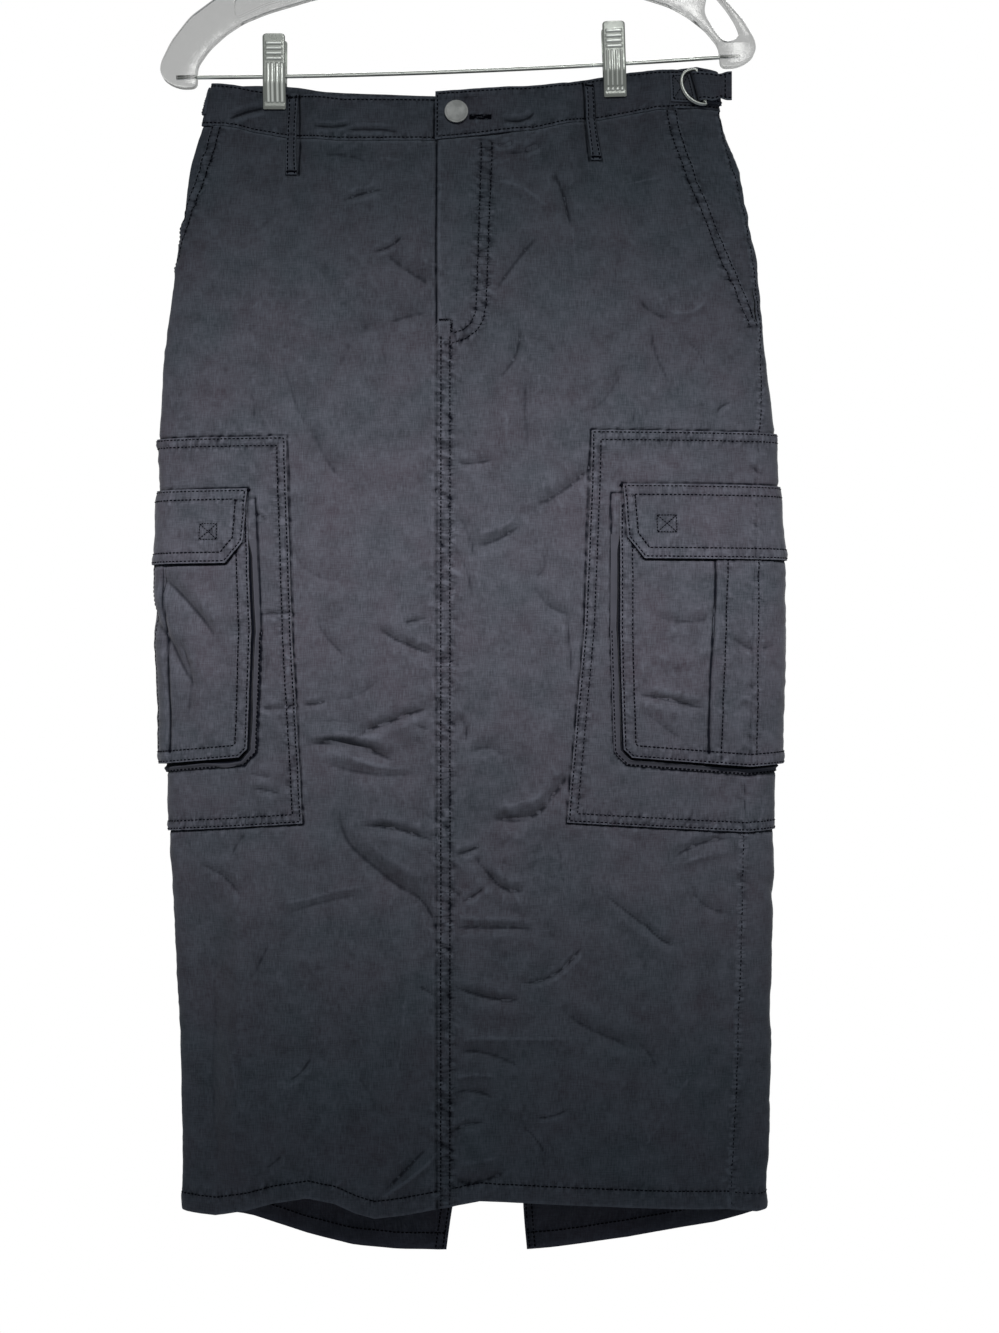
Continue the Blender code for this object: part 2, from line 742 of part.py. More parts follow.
def make_front_panels():
    half = SEAM_GAP / 2
    for name, side, rows in (("front_left_panel", 1, BAND_LEFT), ("front_right_panel", -1, BAND_RIGHT)):
        centre_q = q_of(side * half, FLY_END)
        edge_q = q_of(FLY_EDGE if side > 0 else FLY_LAP, WAIST_LEVEL)
        mouth = mouth_line(side, rows)
        seam = seam_line(MOUTH_END, hem_at_seam(side, -half), side, -half)
        waist = band_seam(rows, *sorted((edge_q, mouth[-1][0])))
        hem = hem_line(*sorted((centre_q, seam[-1][0])))
        if side < 0:
            waist.reverse()
            hem.reverse()
        fly = [at(FLY_EDGE if side > 0 else FLY_LAP, FLY_END + FLY_STEP), (centre_q, FLY_END)]
        outline = [*hem, *reversed(seam), *mouth, *reversed(waist), *fly]
        lift = fly_lift if side > 0 else None
        cloth_piece(name, tidy_outline(outline), -CLOTH / 2, CLOTH / 2, lift)


def tidy_outline(outline):
    """The outline without repeated points."""
    kept = []
    for q, z in outline:
        if not kept or abs(q - kept[-1][0]) * PATTERN_WIDTH + abs(z - kept[-1][1]) > 0.05:
            kept.append((q, z))
    first, last = kept[0], kept[-1]
    if abs(first[0] - last[0]) * PATTERN_WIDTH + abs(first[1] - last[1]) < 0.05:
        kept.pop()
    return kept


def fly_lift(s, z):
    """The lap of the fly stands out of the form by one thickness of cloth."""
    return FLY_LIFT * (1 - ease(s, *FLY_LIFT_ENDS_S)) * ease(z, *FLY_LIFT_ENDS_Z)


def band_lift(s, z):
    return BAND_LIFT * (1 - ease(s, *BAND_LIFT_ENDS)) * np.ones_like(z)


def make_back_panels():
    half = SEAM_GAP / 2
    for name, side, rows in (("back_left_panel", 1, BAND_LEFT), ("back_right_panel", -1, BAND_RIGHT)):
        centre_q = side * (2 - half / LONG_QUARTER)
        top = waist_level(side, rows, lambda z: seam_length(z, half))
        seam = seam_line(top, hem_at_seam(side, half), side, half)
        vent_q = VENT_Q["left" if side > 0 else "right"]
        waist = band_seam(rows, *sorted((seam[0][0], centre_q)))
        hem = hem_line(*sorted((seam[-1][0], vent_q)))
        if side < 0:
            waist.reverse()
            hem.reverse()
        outline = [*hem, (centre_q, VENT_TOP), *reversed(waist), *seam]
        cloth_piece(name, tidy_outline(outline), -CLOTH / 2, CLOTH / 2)


def facing_drop(side):
    """How far the facing lies under the panel: at the mouth its cloth, at the side seam nothing."""

    def drop(s, z):
        return -FACING_DROP * (1 - ease(side * s - mouth_length(z, side), *FACING_RAMP))

    return drop


def make_hip_facings():
    half = SEAM_GAP / 2
    for name, side, rows in (("hip_facing_left", 1, BAND_LEFT), ("hip_facing_right", -1, BAND_RIGHT)):
        top = waist_level(side, rows, lambda z: seam_length(z, -half))
        seam = seam_line(top, FACING_END, side, -half)
        edge = mouth_line(side, rows, FACING_UNDERLAP)
        edge[0] = at(side * (float(mouth_length(MOUTH_END, side)) - FACING_UNDERLAP), FACING_END)
        waist = band_seam(rows, *sorted((edge[-1][0], seam[0][0])))
        if side < 0:
            waist.reverse()
        cloth_piece(name, tidy_outline([*edge, *waist, *seam]), -CLOTH / 2, CLOTH / 2, facing_drop(side))


def make_waistband():
    half = SEAM_GAP / 2
    pieces = (
        ("waistband_right", BAND_RIGHT, -2 + half / LONG_QUARTER, at(BAND_UNDERLAP, -230)[0], None),
        ("waistband_left", BAND_LEFT, at(-BAND_OVERLAP, -230)[0], 2 - half / LONG_QUARTER, band_lift),
    )
    for name, rows, start, end, lift in pieces:
        low = [(q, z + SEAM_GAP) for q, z in band_seam(rows, start, end)]
        top = [(q, float(through(q, rows, BAND_COLUMNS, "top"))) for q, z in low]
        cloth_piece(name, [*low, *reversed(top)], -BAND_CLOTH / 2, BAND_CLOTH / 2, lift)


def make_fly_zip():
    outline = [at(ZIP_S[0], ZIP_Z[1]), at(ZIP_S[1], ZIP_Z[1]), at(ZIP_S[1], ZIP_Z[0]), at(ZIP_S[0], ZIP_Z[0])]
    below = -CLOTH / 2 - ZIP_DROP
    cloth_piece("fly_zip", outline, below - CLOTH, below, finish="zip")


def cargo_sizes(side_name):
    return dict(zip(CARGO_COLUMNS, CARGO[side_name]))


def sided(points, side):
    """An outline given by lengths and levels on the left, put on its side."""
    return [at(side * s, z) for s, z in points]


def back_of(s):
    """The same distance behind the middle of the cargo patch."""
    return 2 * CARGO_MIDDLE - s


def make_cargo_patch(side_name, side):
    size = cargo_sizes(side_name)
    top_z, low_z = size["patch_top_z"], size["patch_bottom_z"]
    middle_z = (top_z + low_z) / 2
    outline = [
        (size["patch_bottom"], low_z),
        (CARGO_MIDDLE, low_z - PATCH_DROP),
        (back_of(size["patch_bottom"]), low_z),
        (back_of(size["patch_middle"]), middle_z),
        (back_of(size["patch_top"]), top_z),
        (size["patch_top"], top_z),
        (size["patch_middle"], middle_z),
    ]
    cloth_piece(f"cargo_patch_{side_name}", sided(outline, side), *PATCH_OUT)


def pocket_open(z, flap_top_z):
    """0 where the pocket's mouth lies on the patch, 1 where its bellows stands open."""
    return 1 - ease(z, flap_top_z - POCKET_FULL, flap_top_z - POCKET_TOP)


def pocket_rise(side, flap_top_z):
    """The pocket front's lift over its mouth: the bellows and the box pleat's raised middle."""
    pleat = table(PLEAT_COLUMNS, PLEAT)

    def rise(s, z):
        length = side * s
        front = np.interp(z, pleat["z"], pleat["front_edge"])
        back = np.interp(z, pleat["z"], pleat["back_edge"])
        raised = np.clip((length - front) / (2 * PLEAT_STEP) + 0.5, 0, 1)
        raised = raised * np.clip((back - length) / (2 * PLEAT_STEP) + 0.5, 0, 1)
        opened = pocket_open(z, flap_top_z)
        return opened * (POCKET_OUT_FULL - POCKET_OUT_TOP + PLEAT_RAISE * raised)

    return rise


def pocket_outline(size):
    low_z = size["pocket_bottom_z"]
    top_z = size["flap_top_z"] - POCKET_TOP
    middle_z = (top_z + low_z) / 2
    corner = POCKET_CORNER
    front, low = size["pocket_top"], size["pocket_low"]
    return [
        (front, top_z),
        (size["pocket_middle"], middle_z),
        (low, low_z + corner),
        (low + corner, low_z),
        (CARGO_MIDDLE, low_z - POCKET_DROP),
        (back_of(low + corner), low_z),
        (back_of(low), low_z + corner),
        (back_of(size["pocket_middle"]), middle_z),
        (back_of(front), top_z),
    ]


def make_pocket_front(side_name, side):
    size = cargo_sizes(side_name)
    low, high = named_rows(PLEAT_COLUMNS, PLEAT)
    cuts = [
        (at(side * (low[edge] + shift), low["z"]), at(side * (high[edge] + shift), high["z"]))
        for edge in PLEAT_COLUMNS[1:]
        for shift in (-PLEAT_STEP, PLEAT_STEP)
    ]
    outline = sided(pocket_outline(size), side)
    rise = pocket_rise(side, size["flap_top_z"])
    inner = POCKET_OUT_TOP
    cloth_piece(f"pocket_front_{side_name}", outline, inner, inner + CLOTH, rise, cuts)


def split_on_grid(path):
    """A line of pattern points with one more point wherever it crosses the grid."""
    lines = [(0, q) for q in GRID_COLUMNS] + [(1, z) for z in ROWS]
    made = [path[0]]
    for start, end in zip(path, path[1:]):
        shares = set()
        for axis, value in lines:
            run = end[axis] - start[axis]
            if abs(run) > 1e-9:
                shares.add(round((value - start[axis]) / run, 6))
        for share in sorted(t for t in shares if 0.03 < t < 0.97):
            made.append((start[0] + share * (end[0] - start[0]), start[1] + share * (end[1] - start[1])))
        made.append(end)
    return made


def make_pocket_gusset(side_name, side):
    """The folded strip under three edges of a pocket front, sewn to the patch outside them."""
    size = cargo_sizes(side_name)
    line = pocket_outline(size)
    start_z = size["flap_top_z"] - GUSSET_TOP
    share = (start_z - line[0][1]) / (line[1][1] - line[0][1])
    first = line[0][0] + share * (line[1][0] - line[0][0])
    line = [(first, start_z), *line[1:-1], (back_of(first), start_z)]
    path = np.array(split_on_grid([at(side * s, z) for s, z in line]))
    flat = path * (PATTERN_WIDTH, 1)
    runs = np.diff(flat, axis=0)
    runs /= np.linalg.norm(runs, axis=1, keepdims=True)
    ahead = np.concatenate([runs, runs[-1:]]) + np.concatenate([runs[:1], runs])
    ahead /= np.linalg.norm(ahead, axis=1, keepdims=True)
    inward = np.stack([-ahead[:, 1], ahead[:, 0]], axis=1) * side
    top = POCKET_OUT_TOP - SEAM_GAP
    top = top + (POCKET_OUT_FULL - POCKET_OUT_TOP) * pocket_open(path[:, 1], size["flap_top_z"])
    base = np.full(len(path), PATCH_OUT[1] + SEAM_GAP)
    corners = (
        (-GUSSET_SEAM, base),
        (GUSSET_CLOTH - GUSSET_SEAM, base),
        (GUSSET_TUCK, top),
        (GUSSET_TUCK - GUSSET_CLOTH, top),
    )
    rings = []
    for distance, out in corners:
        place = flat + inward * distance
        rings.append(on_form(place[:, 0] / PATTERN_WIDTH, place[:, 1], out))
    points = np.stack(rings, axis=1).reshape(-1, 3)
    faces = []
    count, sides = len(path), len(corners)
    for i in range(count - 1):
        for j in range(sides):
            a, b = i * sides + j, i * sides + (j + 1) % sides
            faces.append((a, b, b + sides, a + sides))
    faces.append(tuple(reversed(range(sides))))
    faces.append(tuple((count - 1) * sides + j for j in range(sides)))
    if side < 0:
        faces = [tuple(reversed(face)) for face in faces]
    add_mesh(f"pocket_gusset_{side_name}", points, faces, "cloth")


def make_pocket_flap(side_name, side):
    size = cargo_sizes(side_name)
    top_z = size["flap_top_z"]
    low_z = top_z - FLAP_LENGTH
    outline = [
        (size["flap_chamfer"], low_z),
        (back_of(size["flap_chamfer"]), low_z),
        (back_of(size["flap_low"]), low_z + FLAP_CHAMFER),
        (back_of(size["flap_top"]), top_z),
        (size["flap_top"], top_z),
        (size["flap_low"], low_z + FLAP_CHAMFER),
    ]

    def rise(s, z):
        over_mouth = (CLOTH + SEAM_GAP) * (1 - ease(z, top_z - POCKET_TOP + 1, top_z - 2))
        bellows = POCKET_OUT_FULL - POCKET_OUT_TOP + PLEAT_RAISE
        return over_mouth + bellows * pocket_open(z, top_z)

    fold = ((at(side * CARGO_MIDDLE, top_z - POCKET_TOP + 1)), (2 * side, top_z - POCKET_TOP + 1))
    inner = POCKET_OUT_TOP
    cloth_piece(f"pocket_flap_{side_name}", sided(outline, side), inner, inner + CLOTH, rise, [fold])


def make_belt_loops():
    for loop in named_rows(LOOP_COLUMNS, LOOPS):
        z_top, z_bottom = loop["z_top"], loop["z_bottom"]
        outline = []
        for q, z, turns in ((loop["q_bottom"], z_bottom, (-1, 1)), (loop["q_top"], z_top, (1, -1))):
            quarter = LONG_QUARTER if q > 0 else SHORT_QUARTER
            outline += [(q + turn * LOOP_HALF_WIDTH / quarter, z) for turn in turns]

        def bow(s, z):
            """The loop stands a little proud in its middle."""
            return LOOP_BOW * np.sin(np.pi * np.clip((z_top - z) / (z_top - z_bottom), 0, 1))

        cuts = [((-2, z_top - step), (2, z_top - step)) for step in LOOP_CUTS]
        cuts.append(((2, z_top), (2, z_bottom)))
        cloth_piece(loop["name"], outline, LOOP_OUT, LOOP_OUT + LOOP_CLOTH, bow, cuts)


def turned_profile(name, profile, sides, finish):
    """A round piece turned about its own Z, from its rings' (radius, height), back to front."""
    points, faces = [], []
    for radius, height in profile:
        for step in range(sides):
            angle = 2 * math.pi * step / sides
            points.append((radius * math.cos(angle), radius * math.sin(angle), height))
    rings = len(profile)
    for i in range(rings - 1):
        for j in range(sides):
            a, b = i * sides + j, i * sides + (j + 1) % sides
            faces.append((a, b, b + sides, a + sides))
    faces.append(tuple(reversed(range(sides))))
    faces.append(tuple((rings - 1) * sides + j for j in range(sides)))
    return add_mesh(name, points, faces, finish)


def place_on_form(obj, s, z, out):
    """Stands an object on the cloth, its own Z along the outward normal."""
    q, z = np.array([q_of(s, z)]), np.array([float(z)])
    outward = Vector(look_up(FORM_NORMALS, q, z)[0])
    across = Vector((-outward.y, outward.x, 0)).normalized()
    up = outward.cross(across)
    turn = Matrix((across, up, outward)).transposed().to_4x4()
    obj.matrix_world = Matrix.Translation(Vector(on_form(q, z, out)[0]) * MM) @ turn


def make_button():
    """A shallow dished cap on a narrower back."""
    radius, height = BUTTON_RADIUS, BUTTON_HEIGHT
    profile = (
        (radius * BUTTON_BACK, 0),
        (radius * BUTTON_BACK, height / 4),
        (radius, height / 2),
        (radius, height * 3 / 4),
        (radius * (1 + BUTTON_RIM) / 2, height),
        (radius * BUTTON_RIM, height - BUTTON_DISH),
    )
    button = turned_profile("waist_button", profile, BUTTON_SIDES, "matte_metal")
    out = BAND_CLOTH / 2 + BAND_LIFT + SEAM_GAP
    place_on_form(button, *BUTTON_PLACE, out)


def band_place(side, s, out, rise, z_middle):
    """A point beside the waistband, rise above the adjuster's middle line."""
    z = z_middle + rise
    return on_form(q_of(side * s, z), z, out)


def make_adjuster(side_name, side):
    z_middle = ADJUSTER_Z[side_name]
    half = ADJUSTER_HALF_HEIGHT
    outline = [
        (TAB_S[0], z_middle - half),
        (TAB_S[1] + TAB_LEAN, z_middle - half),
        (TAB_S[1] - TAB_LEAN, z_middle + half),
        (TAB_S[0] - TAB_FLARE, z_middle + half),
    ]
    start = BAND_CLOTH / 2 + SEAM_GAP
    cloth_piece(f"adjuster_tab_{side_name}", sided(outline, side), start, start + LOOP_CLOTH)
    for number, out in enumerate(RING_OUT, 1):
        path = []
        for step in range(RING_STEPS + 1):
            angle = math.pi * step / RING_STEPS
            inward = RING_DEPTH * signed_power(math.sin(angle), RING_ROUND)
            rise = RING_BAR / 2 * math.cos(angle)
            path.append(band_place(side, RING_BAR_S - inward - RING_LEAN * rise, out, rise, z_middle))
        tube(f"d_ring_{side_name}_{number}", path, RING_WIRE, "bright_metal", closed=True, sides=6)
    make_strap(side_name, side, z_middle)


def strap_face(side_name, side, z_middle, half_thick):
    """Rows of points on one face of the strap: round the side, round the bars, and out as a tail."""
    shares = (-1, 0, 1)
    half = ADJUSTER_HALF_HEIGHT
    rows = []
    first, last = (q_of(side * s, z_middle) for s in (STRAP_END_S[side_name], STRAP_TURN_S))
    columns = {*GRID_COLUMNS, *CLIP_COLUMNS}
    columns = [q for q in columns if min(first, last) + STRAP_CLOSEST < q < max(first, last) - STRAP_CLOSEST]
    for q in (first, *sorted(columns, reverse=side > 0), last):
        s = abs(float(s_of(np.array([q]), np.array([z_middle]))[0]))
        lean = RING_LEAN * ease(s, *STRAP_LEAN_S) * half
        row = []
        for n in shares:
            z = z_middle + half * n
            shift = q_of(side * (s - lean * n), z_middle) - q_of(side * s, z_middle)
            row.append(on_form(q + shift, z, STRAP_OUT + half_thick))
        rows.append(row)
    for step in range(1, STRAP_TURN_STEPS + 1):
        angle = math.pi * step / STRAP_TURN_STEPS
        inward = signed_power(math.sin(angle), STRAP_TURN_POWER)
        outward = signed_power(math.cos(angle), STRAP_TURN_POWER)
        s = STRAP_TURN_S - (STRAP_TURN_REACH - half_thick) * inward
        out = STRAP_OUT + STRAP_TURN - (STRAP_TURN - half_thick) * outward
        rows.append([band_place(side, s - RING_LEAN * half * n, out, half * n, z_middle) for n in shares])
    heading = math.radians(TAIL_HEADING[side_name])
    ahead = np.array((math.cos(heading), math.sin(heading), 0))
    root = rows[-1]
    for share in TAIL_ROWS:
        lean = 1 - ease(share, 0, TAIL_STRAIGHT_BY)
        row = []
        for start, n in zip(root, shares):
            place = start * lean + root[1] * (1 - lean) + ahead * TAIL_LENGTH * share
            place[2] = z_middle + n * half_height(share)
            row.append(place)
        rows.append(row)
    return np.array(rows)


def make_strap(side_name, side, z_middle):
    """One strap, sewn down behind the side and doubled back round the rings' bars."""
    outer = strap_face(side_name, side, z_middle, STRAP_CLOTH / 2)
    inner = strap_face(side_name, side, z_middle, -STRAP_CLOTH / 2)
    length, width = outer.shape[:2]
    index = np.arange(length * width).reshape(length, width)
    faces = [
        (index[i, j], index[i + 1, j], index[i + 1, j + 1], index[i, j + 1])
        for i in range(length - 1)
        for j in range(width - 1)
    ]
    border = [*index[:-1, 0], *index[-1, :-1], *index[:0:-1, -1], *index[0, :0:-1]]
    rims = list(zip(border, border[1:] + border[:1]))
    points, closed = wall(outer.reshape(-1, 3), inner.reshape(-1, 3), faces, rims)
    closed = [tuple(int(i) for i in corners) for corners in closed]
    strap = add_mesh(f"adjuster_strap_{side_name}", points, closed, "cloth")
    fix_outside(strap)


def half_height(share):
    """The strap's half height along its tail, necked where its end is hemmed."""
    neck = math.exp(-(((share - TAIL_NECK_AT) / TAIL_NECK_WIDTH) ** 2))
    return ADJUSTER_HALF_HEIGHT - TAIL_NECK * neck


def make_hanger():
    tilt = bpy.data.objects.new("hanger_tilt", None)
    bpy.context.scene.collection.objects.link(tilt)
    tilt.rotation_euler = (0, HANGER_TILT, 0)
    right = [*HANGER_OUTER[1:], *HANGER_INNER]
    outline = [HANGER_OUTER[0], *right, *[(-x, z) for x, z in reversed(right[:-1])]]
    body = slab("hanger_body", list(reversed(outline)), HANGER_HALF_THICK, "clear_plastic", HANGER_EDGE)
    slot = cutter(slab("slot_cutter", list(reversed(HANGER_SLOT)), 20, "clear_plastic"))
    cut(body, slot)
    for arm in (-1, 1):
        outline = [(arm * x, z) for x, z in (*RECESS_OUTER, *RECESS_INNER)]
        outline = outline if arm < 0 else list(reversed(outline))
        for face in (-1, 1):
            tool = slab(f"recess_cutter_{arm + 1}_{face + 1}", outline, HANGER_RECESS, "clear_plastic")
            recess = cutter(tool)
            recess.location.y = face * HANGER_HALF_THICK * MM
            cut(body, recess)
            recess.parent = tilt
    socket = cutter(rod_tube("socket_cutter", ROD_RADIUS + SEAM_GAP, ROD_HALF_LENGTH + 1))
    cut(body, socket)
    rod = rod_tube("hanger_rod", ROD_RADIUS, ROD_HALF_LENGTH)
    hook = make_hook()
    for piece in (body, slot, socket, rod, hook):
        piece.parent = tilt


def rod_height(x):
    """The rod's level in the hanger's frame, where the skirt's weight bends it."""
    return ROD_Z - ROD_SAG * max(0.0, 1 - (x / ROD_SPAN) ** 2)


def rod_tube(name, radius, half_length):
    stations = [-1, *[-ROD_SPAN / half_length * (1 - i / 5) for i in range(11)], 1]
    path = [(x * half_length, 0, rod_height(x * half_length)) for x in stations]
    return tube(name, path, radius, "bright_metal", sides=8)


def make_hook():
    """A bent wire: a straight shank, a bow to one side, and the round hook over the rail."""
    radius = HOOK_INNER_RADIUS + HOOK_WIRE
    centre_z = -HOOK_INNER_RADIUS
    middle = (HOOK_SHANK_END + HOOK_SHANK_TOP) / 2
    path = [(0, 0, HOOK_SHANK_END), (0, 0, middle), (HOOK_BOW_X, 0, HOOK_SHANK_TOP)]
    start = math.radians(HOOK_START_ANGLE)
    joint = (radius * math.cos(start), radius * math.sin(start) + centre_z)
    for share in (0.25, 0.5, 0.75):
        bow = (share + float(ease(share, 0, 1))) / 2
        level = HOOK_SHANK_TOP + (joint[1] - HOOK_SHANK_TOP) * share
        path.append((HOOK_BOW_X + (joint[0] - HOOK_BOW_X) * bow, 0, level))
    for step in range(HOOK_STEPS + 1):
        angle = math.radians(HOOK_START_ANGLE + (HOOK_TIP_ANGLE - HOOK_START_ANGLE) * step / HOOK_STEPS)
        path.append((radius * math.cos(angle), 0, radius * math.sin(angle) + centre_z))
    return tube("hanger_hook", path, HOOK_WIRE, "bright_metal", sides=8)


def plate_outline():
    """The plate's section in (y, z), from the rod's axis, its front and back face in turn."""
    middle = np.array([(-forward, z) for z, forward in PLATE])
    run = np.gradient(middle, axis=0)
    run /= np.linalg.norm(run, axis=1, keepdims=True)
    normal = np.stack([run[:, 1], -run[:, 0]], axis=1) * CLIP_THICK / 2
    return [*(middle + normal), *reversed(middle - normal)]


def make_clip_plate(name, face, inset):
    """One jaw of a clip: a bent plate with two ears that ride on the rod."""
    outline = plate_outline()
    half = CLIP_WIDTH / 2
    count = len(outline)
    points = [(-half, face * y, z) for y, z in outline] + [(half, face * y, z) for y, z in outline]
    faces = [tuple(range(count)), tuple(reversed(range(count, 2 * count)))]
    for i in range(count):
        j = (i + 1) % count
        faces.append((j, i, i + count, j + count))
    if face < 0:
        faces = [tuple(reversed(face_points)) for face_points in faces]
    plate = add_mesh(name, points, faces, "bright_metal", smooth_angle=35)
    fix_outside(plate)
    for ear_side in (-1, 1):
        ear = cutter(make_ear(f"{name}_ear_{ear_side + 1}", face, ear_side, inset))
        cut(plate, ear, "UNION")
    return plate


def fix_outside(obj):
    """Turns all faces outwards."""
    bm = bmesh.new()
    bm.from_mesh(obj.data)
    bmesh.ops.recalc_face_normals(bm, faces=bm.faces[:])
    bm.to_mesh(obj.data)
    bm.free()


def make_ear(name, face, ear_side, inset):
    """A flat lug in the YZ plane: round behind the rod, square up to the plate, with the rod's hole."""
    x_outer = ear_side * (CLIP_WIDTH / 2 - inset)
    x_inner = x_outer - ear_side * CLIP_THICK
    rim, hole = [], []
    for step in range(EAR_SIDES):
        angle = 2 * math.pi * step / EAR_SIDES
        y, z = math.cos(angle), math.sin(angle)
        if y > 0:
            reach = min(EAR_REACH / y, EAR_HALF_HEIGHT / max(abs(z), MM))
        else:
            reach = EAR_RADIUS
        rim.append((-face * reach * y, reach * z))
        hole.append((-face * EAR_HOLE * y, EAR_HOLE * z))
    points = [(x, y, z) for x in (x_outer, x_inner) for y, z in (*rim, *hole)]
    faces = []
    for i in range(EAR_SIDES):
        j = (i + 1) % EAR_SIDES
        rims = (i, j), (2 * EAR_SIDES + i, 2 * EAR_SIDES + j)
        holes = (EAR_SIDES + i, EAR_SIDES + j), (3 * EAR_SIDES + i, 3 * EAR_SIDES + j)
        for first, second in (*zip(rims, holes), rims, holes):
            faces.append((*first, *reversed(second)))
    ear = add_mesh(name, points, faces, "bright_metal")
    fix_outside(ear)
    return ear


def rod_place(x):
    """The point on the tilted rod at this world x."""
    tilt = Matrix.Rotation(HANGER_TILT, 4, "Y")
    own_x = x
    for _ in range(4):
        place = tilt @ Vector((own_x, 0, rod_height(own_x)))
        own_x += x - place.x
    return place


def make_clip(side_name):
    clip = bpy.data.objects.new(f"clip_{side_name}_place", None)
    bpy.context.scene.collection.objects.link(clip)
    clip.location = rod_place(CLIP_X[side_name]) * MM
    clip.rotation_euler = (0, CLIP_LEAN[side_name], 0)
    pieces = [
        make_clip_plate(f"clip_{side_name}_front", 1, EAR_INSET["front"]),
        make_clip_plate(f"clip_{side_name}_back", -1, EAR_INSET["back"]),
    ]
    pieces.append(ring_sleeve(f"clip_{side_name}_spring", ROD_RADIUS + SEAM_GAP, SPRING_RADIUS))
    ears = [step.object for plate in pieces for step in plate.modifiers]
    for piece in (*pieces, *ears):
        piece.parent = clip


def ring_sleeve(name, hole, radius, sides=10):
    """The closed coils of the spring as one sleeve round the rod."""
    half_length = SPRING_LENGTH / 2
    points, faces = [], []
    corners = ((radius, -half_length), (radius, half_length), (hole, half_length), (hole, -half_length))
    for reach, x in corners:
        for step in range(sides):
            angle = 2 * math.pi * step / sides
            points.append((x, reach * math.cos(angle), reach * math.sin(angle)))
    for ring in range(4):
        for j in range(sides):
            a, b = ring * sides + j, ring * sides + (j + 1) % sides
            c, d = (ring + 1) % 4 * sides + j, (ring + 1) % 4 * sides + (j + 1) % sides
            faces.append((a, b, d, c))
    sleeve = add_mesh(name, points, faces, "bright_metal")
    fix_outside(sleeve)
    return sleeve


def main():
    clear_scene()
    make_front_panels()
    make_back_panels()
    make_hip_facings()
    make_waistband()
    make_fly_zip()
    for side_name, side in (("left", 1), ("right", -1)):
        make_cargo_patch(side_name, side)
        make_pocket_front(side_name, side)
        make_pocket_gusset(side_name, side)
        make_pocket_flap(side_name, side)
        make_adjuster(side_name, side)
    make_belt_loops()
    make_button()
    make_hanger()
    for side_name in CLIP_X:
        make_clip(side_name)


main()
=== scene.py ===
"""The finished look of a cargo utility skirt hanging by two clips from a clear clip hanger.

An add-on for Blender 4.5 that also runs as a script. Tables are in millimetres unless a name says
otherwise; the front faces -Y, and right and left are the wearer's. The origin is the inside top of
the hanger's hook.

All cloth lies on one closed form of level rings. A place on it is (q, z): q counts the quarters of
the ring from the centre front, so 1 is the side fold at +X, -1 the side fold at -X, and 2 or -2 the
centre back. s is the same place as a length along the cloth from the centre front. A third number,
out, is the distance from the form.
"""

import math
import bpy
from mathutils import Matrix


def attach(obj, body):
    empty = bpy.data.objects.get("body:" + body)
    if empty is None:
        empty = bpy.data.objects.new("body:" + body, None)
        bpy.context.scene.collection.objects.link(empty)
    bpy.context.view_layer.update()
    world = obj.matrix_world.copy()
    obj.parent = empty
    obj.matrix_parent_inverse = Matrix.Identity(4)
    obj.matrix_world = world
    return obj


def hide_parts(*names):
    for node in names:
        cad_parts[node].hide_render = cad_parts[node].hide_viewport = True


bl_info = {
    "name": "Cargo Skirt Look",
    "version": (1, 0, 0),
    "blender": (4, 5, 0),
    "location": "3D View > Sidebar > Skirt",
    "description": "Builds the cloth, stitching, hardware, hanger and studio of a cargo utility skirt",
    "category": "Add Mesh",
}

import bmesh
import bpy
import numpy as np
from mathutils import Matrix, Vector

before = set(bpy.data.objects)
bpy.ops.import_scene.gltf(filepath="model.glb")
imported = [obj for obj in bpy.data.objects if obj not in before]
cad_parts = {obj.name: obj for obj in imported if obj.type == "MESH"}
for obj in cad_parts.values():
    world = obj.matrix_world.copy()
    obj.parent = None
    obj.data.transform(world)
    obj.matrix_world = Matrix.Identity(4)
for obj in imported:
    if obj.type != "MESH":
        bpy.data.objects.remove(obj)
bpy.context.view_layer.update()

MM = 0.001
BODY = "root"
SIDES = (("left", 1), ("right", -1))
SEAM_GAP = 0.3

# The form: level sections that are flat ovals.
SECTION_COLUMNS = ("z", "left", "right", "front", "back")
SECTIONS = (
    (-1066, -189, 228.5, 40, 38),
    (-1016, -192.5, 230, 40, 38),
    (-994, -192, 230, 39, 38),
    (-929, -192.5, 232, 38, 38),
    (-864, -194.5, 232.5, 38, 38),
    (-799, -198, 234, 37, 38),
    (-755, -200, 234, 37, 38),
    (-690, -201, 234, 38, 38),
    (-603, -203.5, 235, 38, 38),
    (-538, -205, 235.5, 38, 37),
    (-473, -207.5, 236, 37, 36),
    (-430, -206, 232.5, 36, 34),
    (-386, -203, 226.5, 34, 32),
    (-343, -197.5, 223, 31, 29),
    (-300, -192, 216, 27, 25),
    (-256, -185, 206, 22, 20),
    (-234, -178.5, 197.5, 19, 17),
    (-206, -171.5, 194.5, 15, 15),
    (-176, -170, 193, 14, 14),
)
OVAL_POWER = 2.15
CENTRE_FRONT_X = -6.6
FORM_STEP_Z = 4.0
WAIST_LEVEL = -228
HEM_LEVEL = -1014
FORM_Z = np.arange(-1064.0, -175.0, FORM_STEP_Z)
FORM_Q = np.linspace(-2.0, 2.0, 1601)
FORM_STEP_Q = FORM_Q[1] - FORM_Q[0]
RING_TURNS = 1440

# Each clip pinches front and back together, and the pinch fades below its jaws.
CLIP_X = {"right": -125.4, "left": 119.9}
PINCH_DEPTH = 1.7
PINCH_HALF_WIDTH = 26
PINCH_FULL_ABOVE = -215
PINCH_FADE = 70

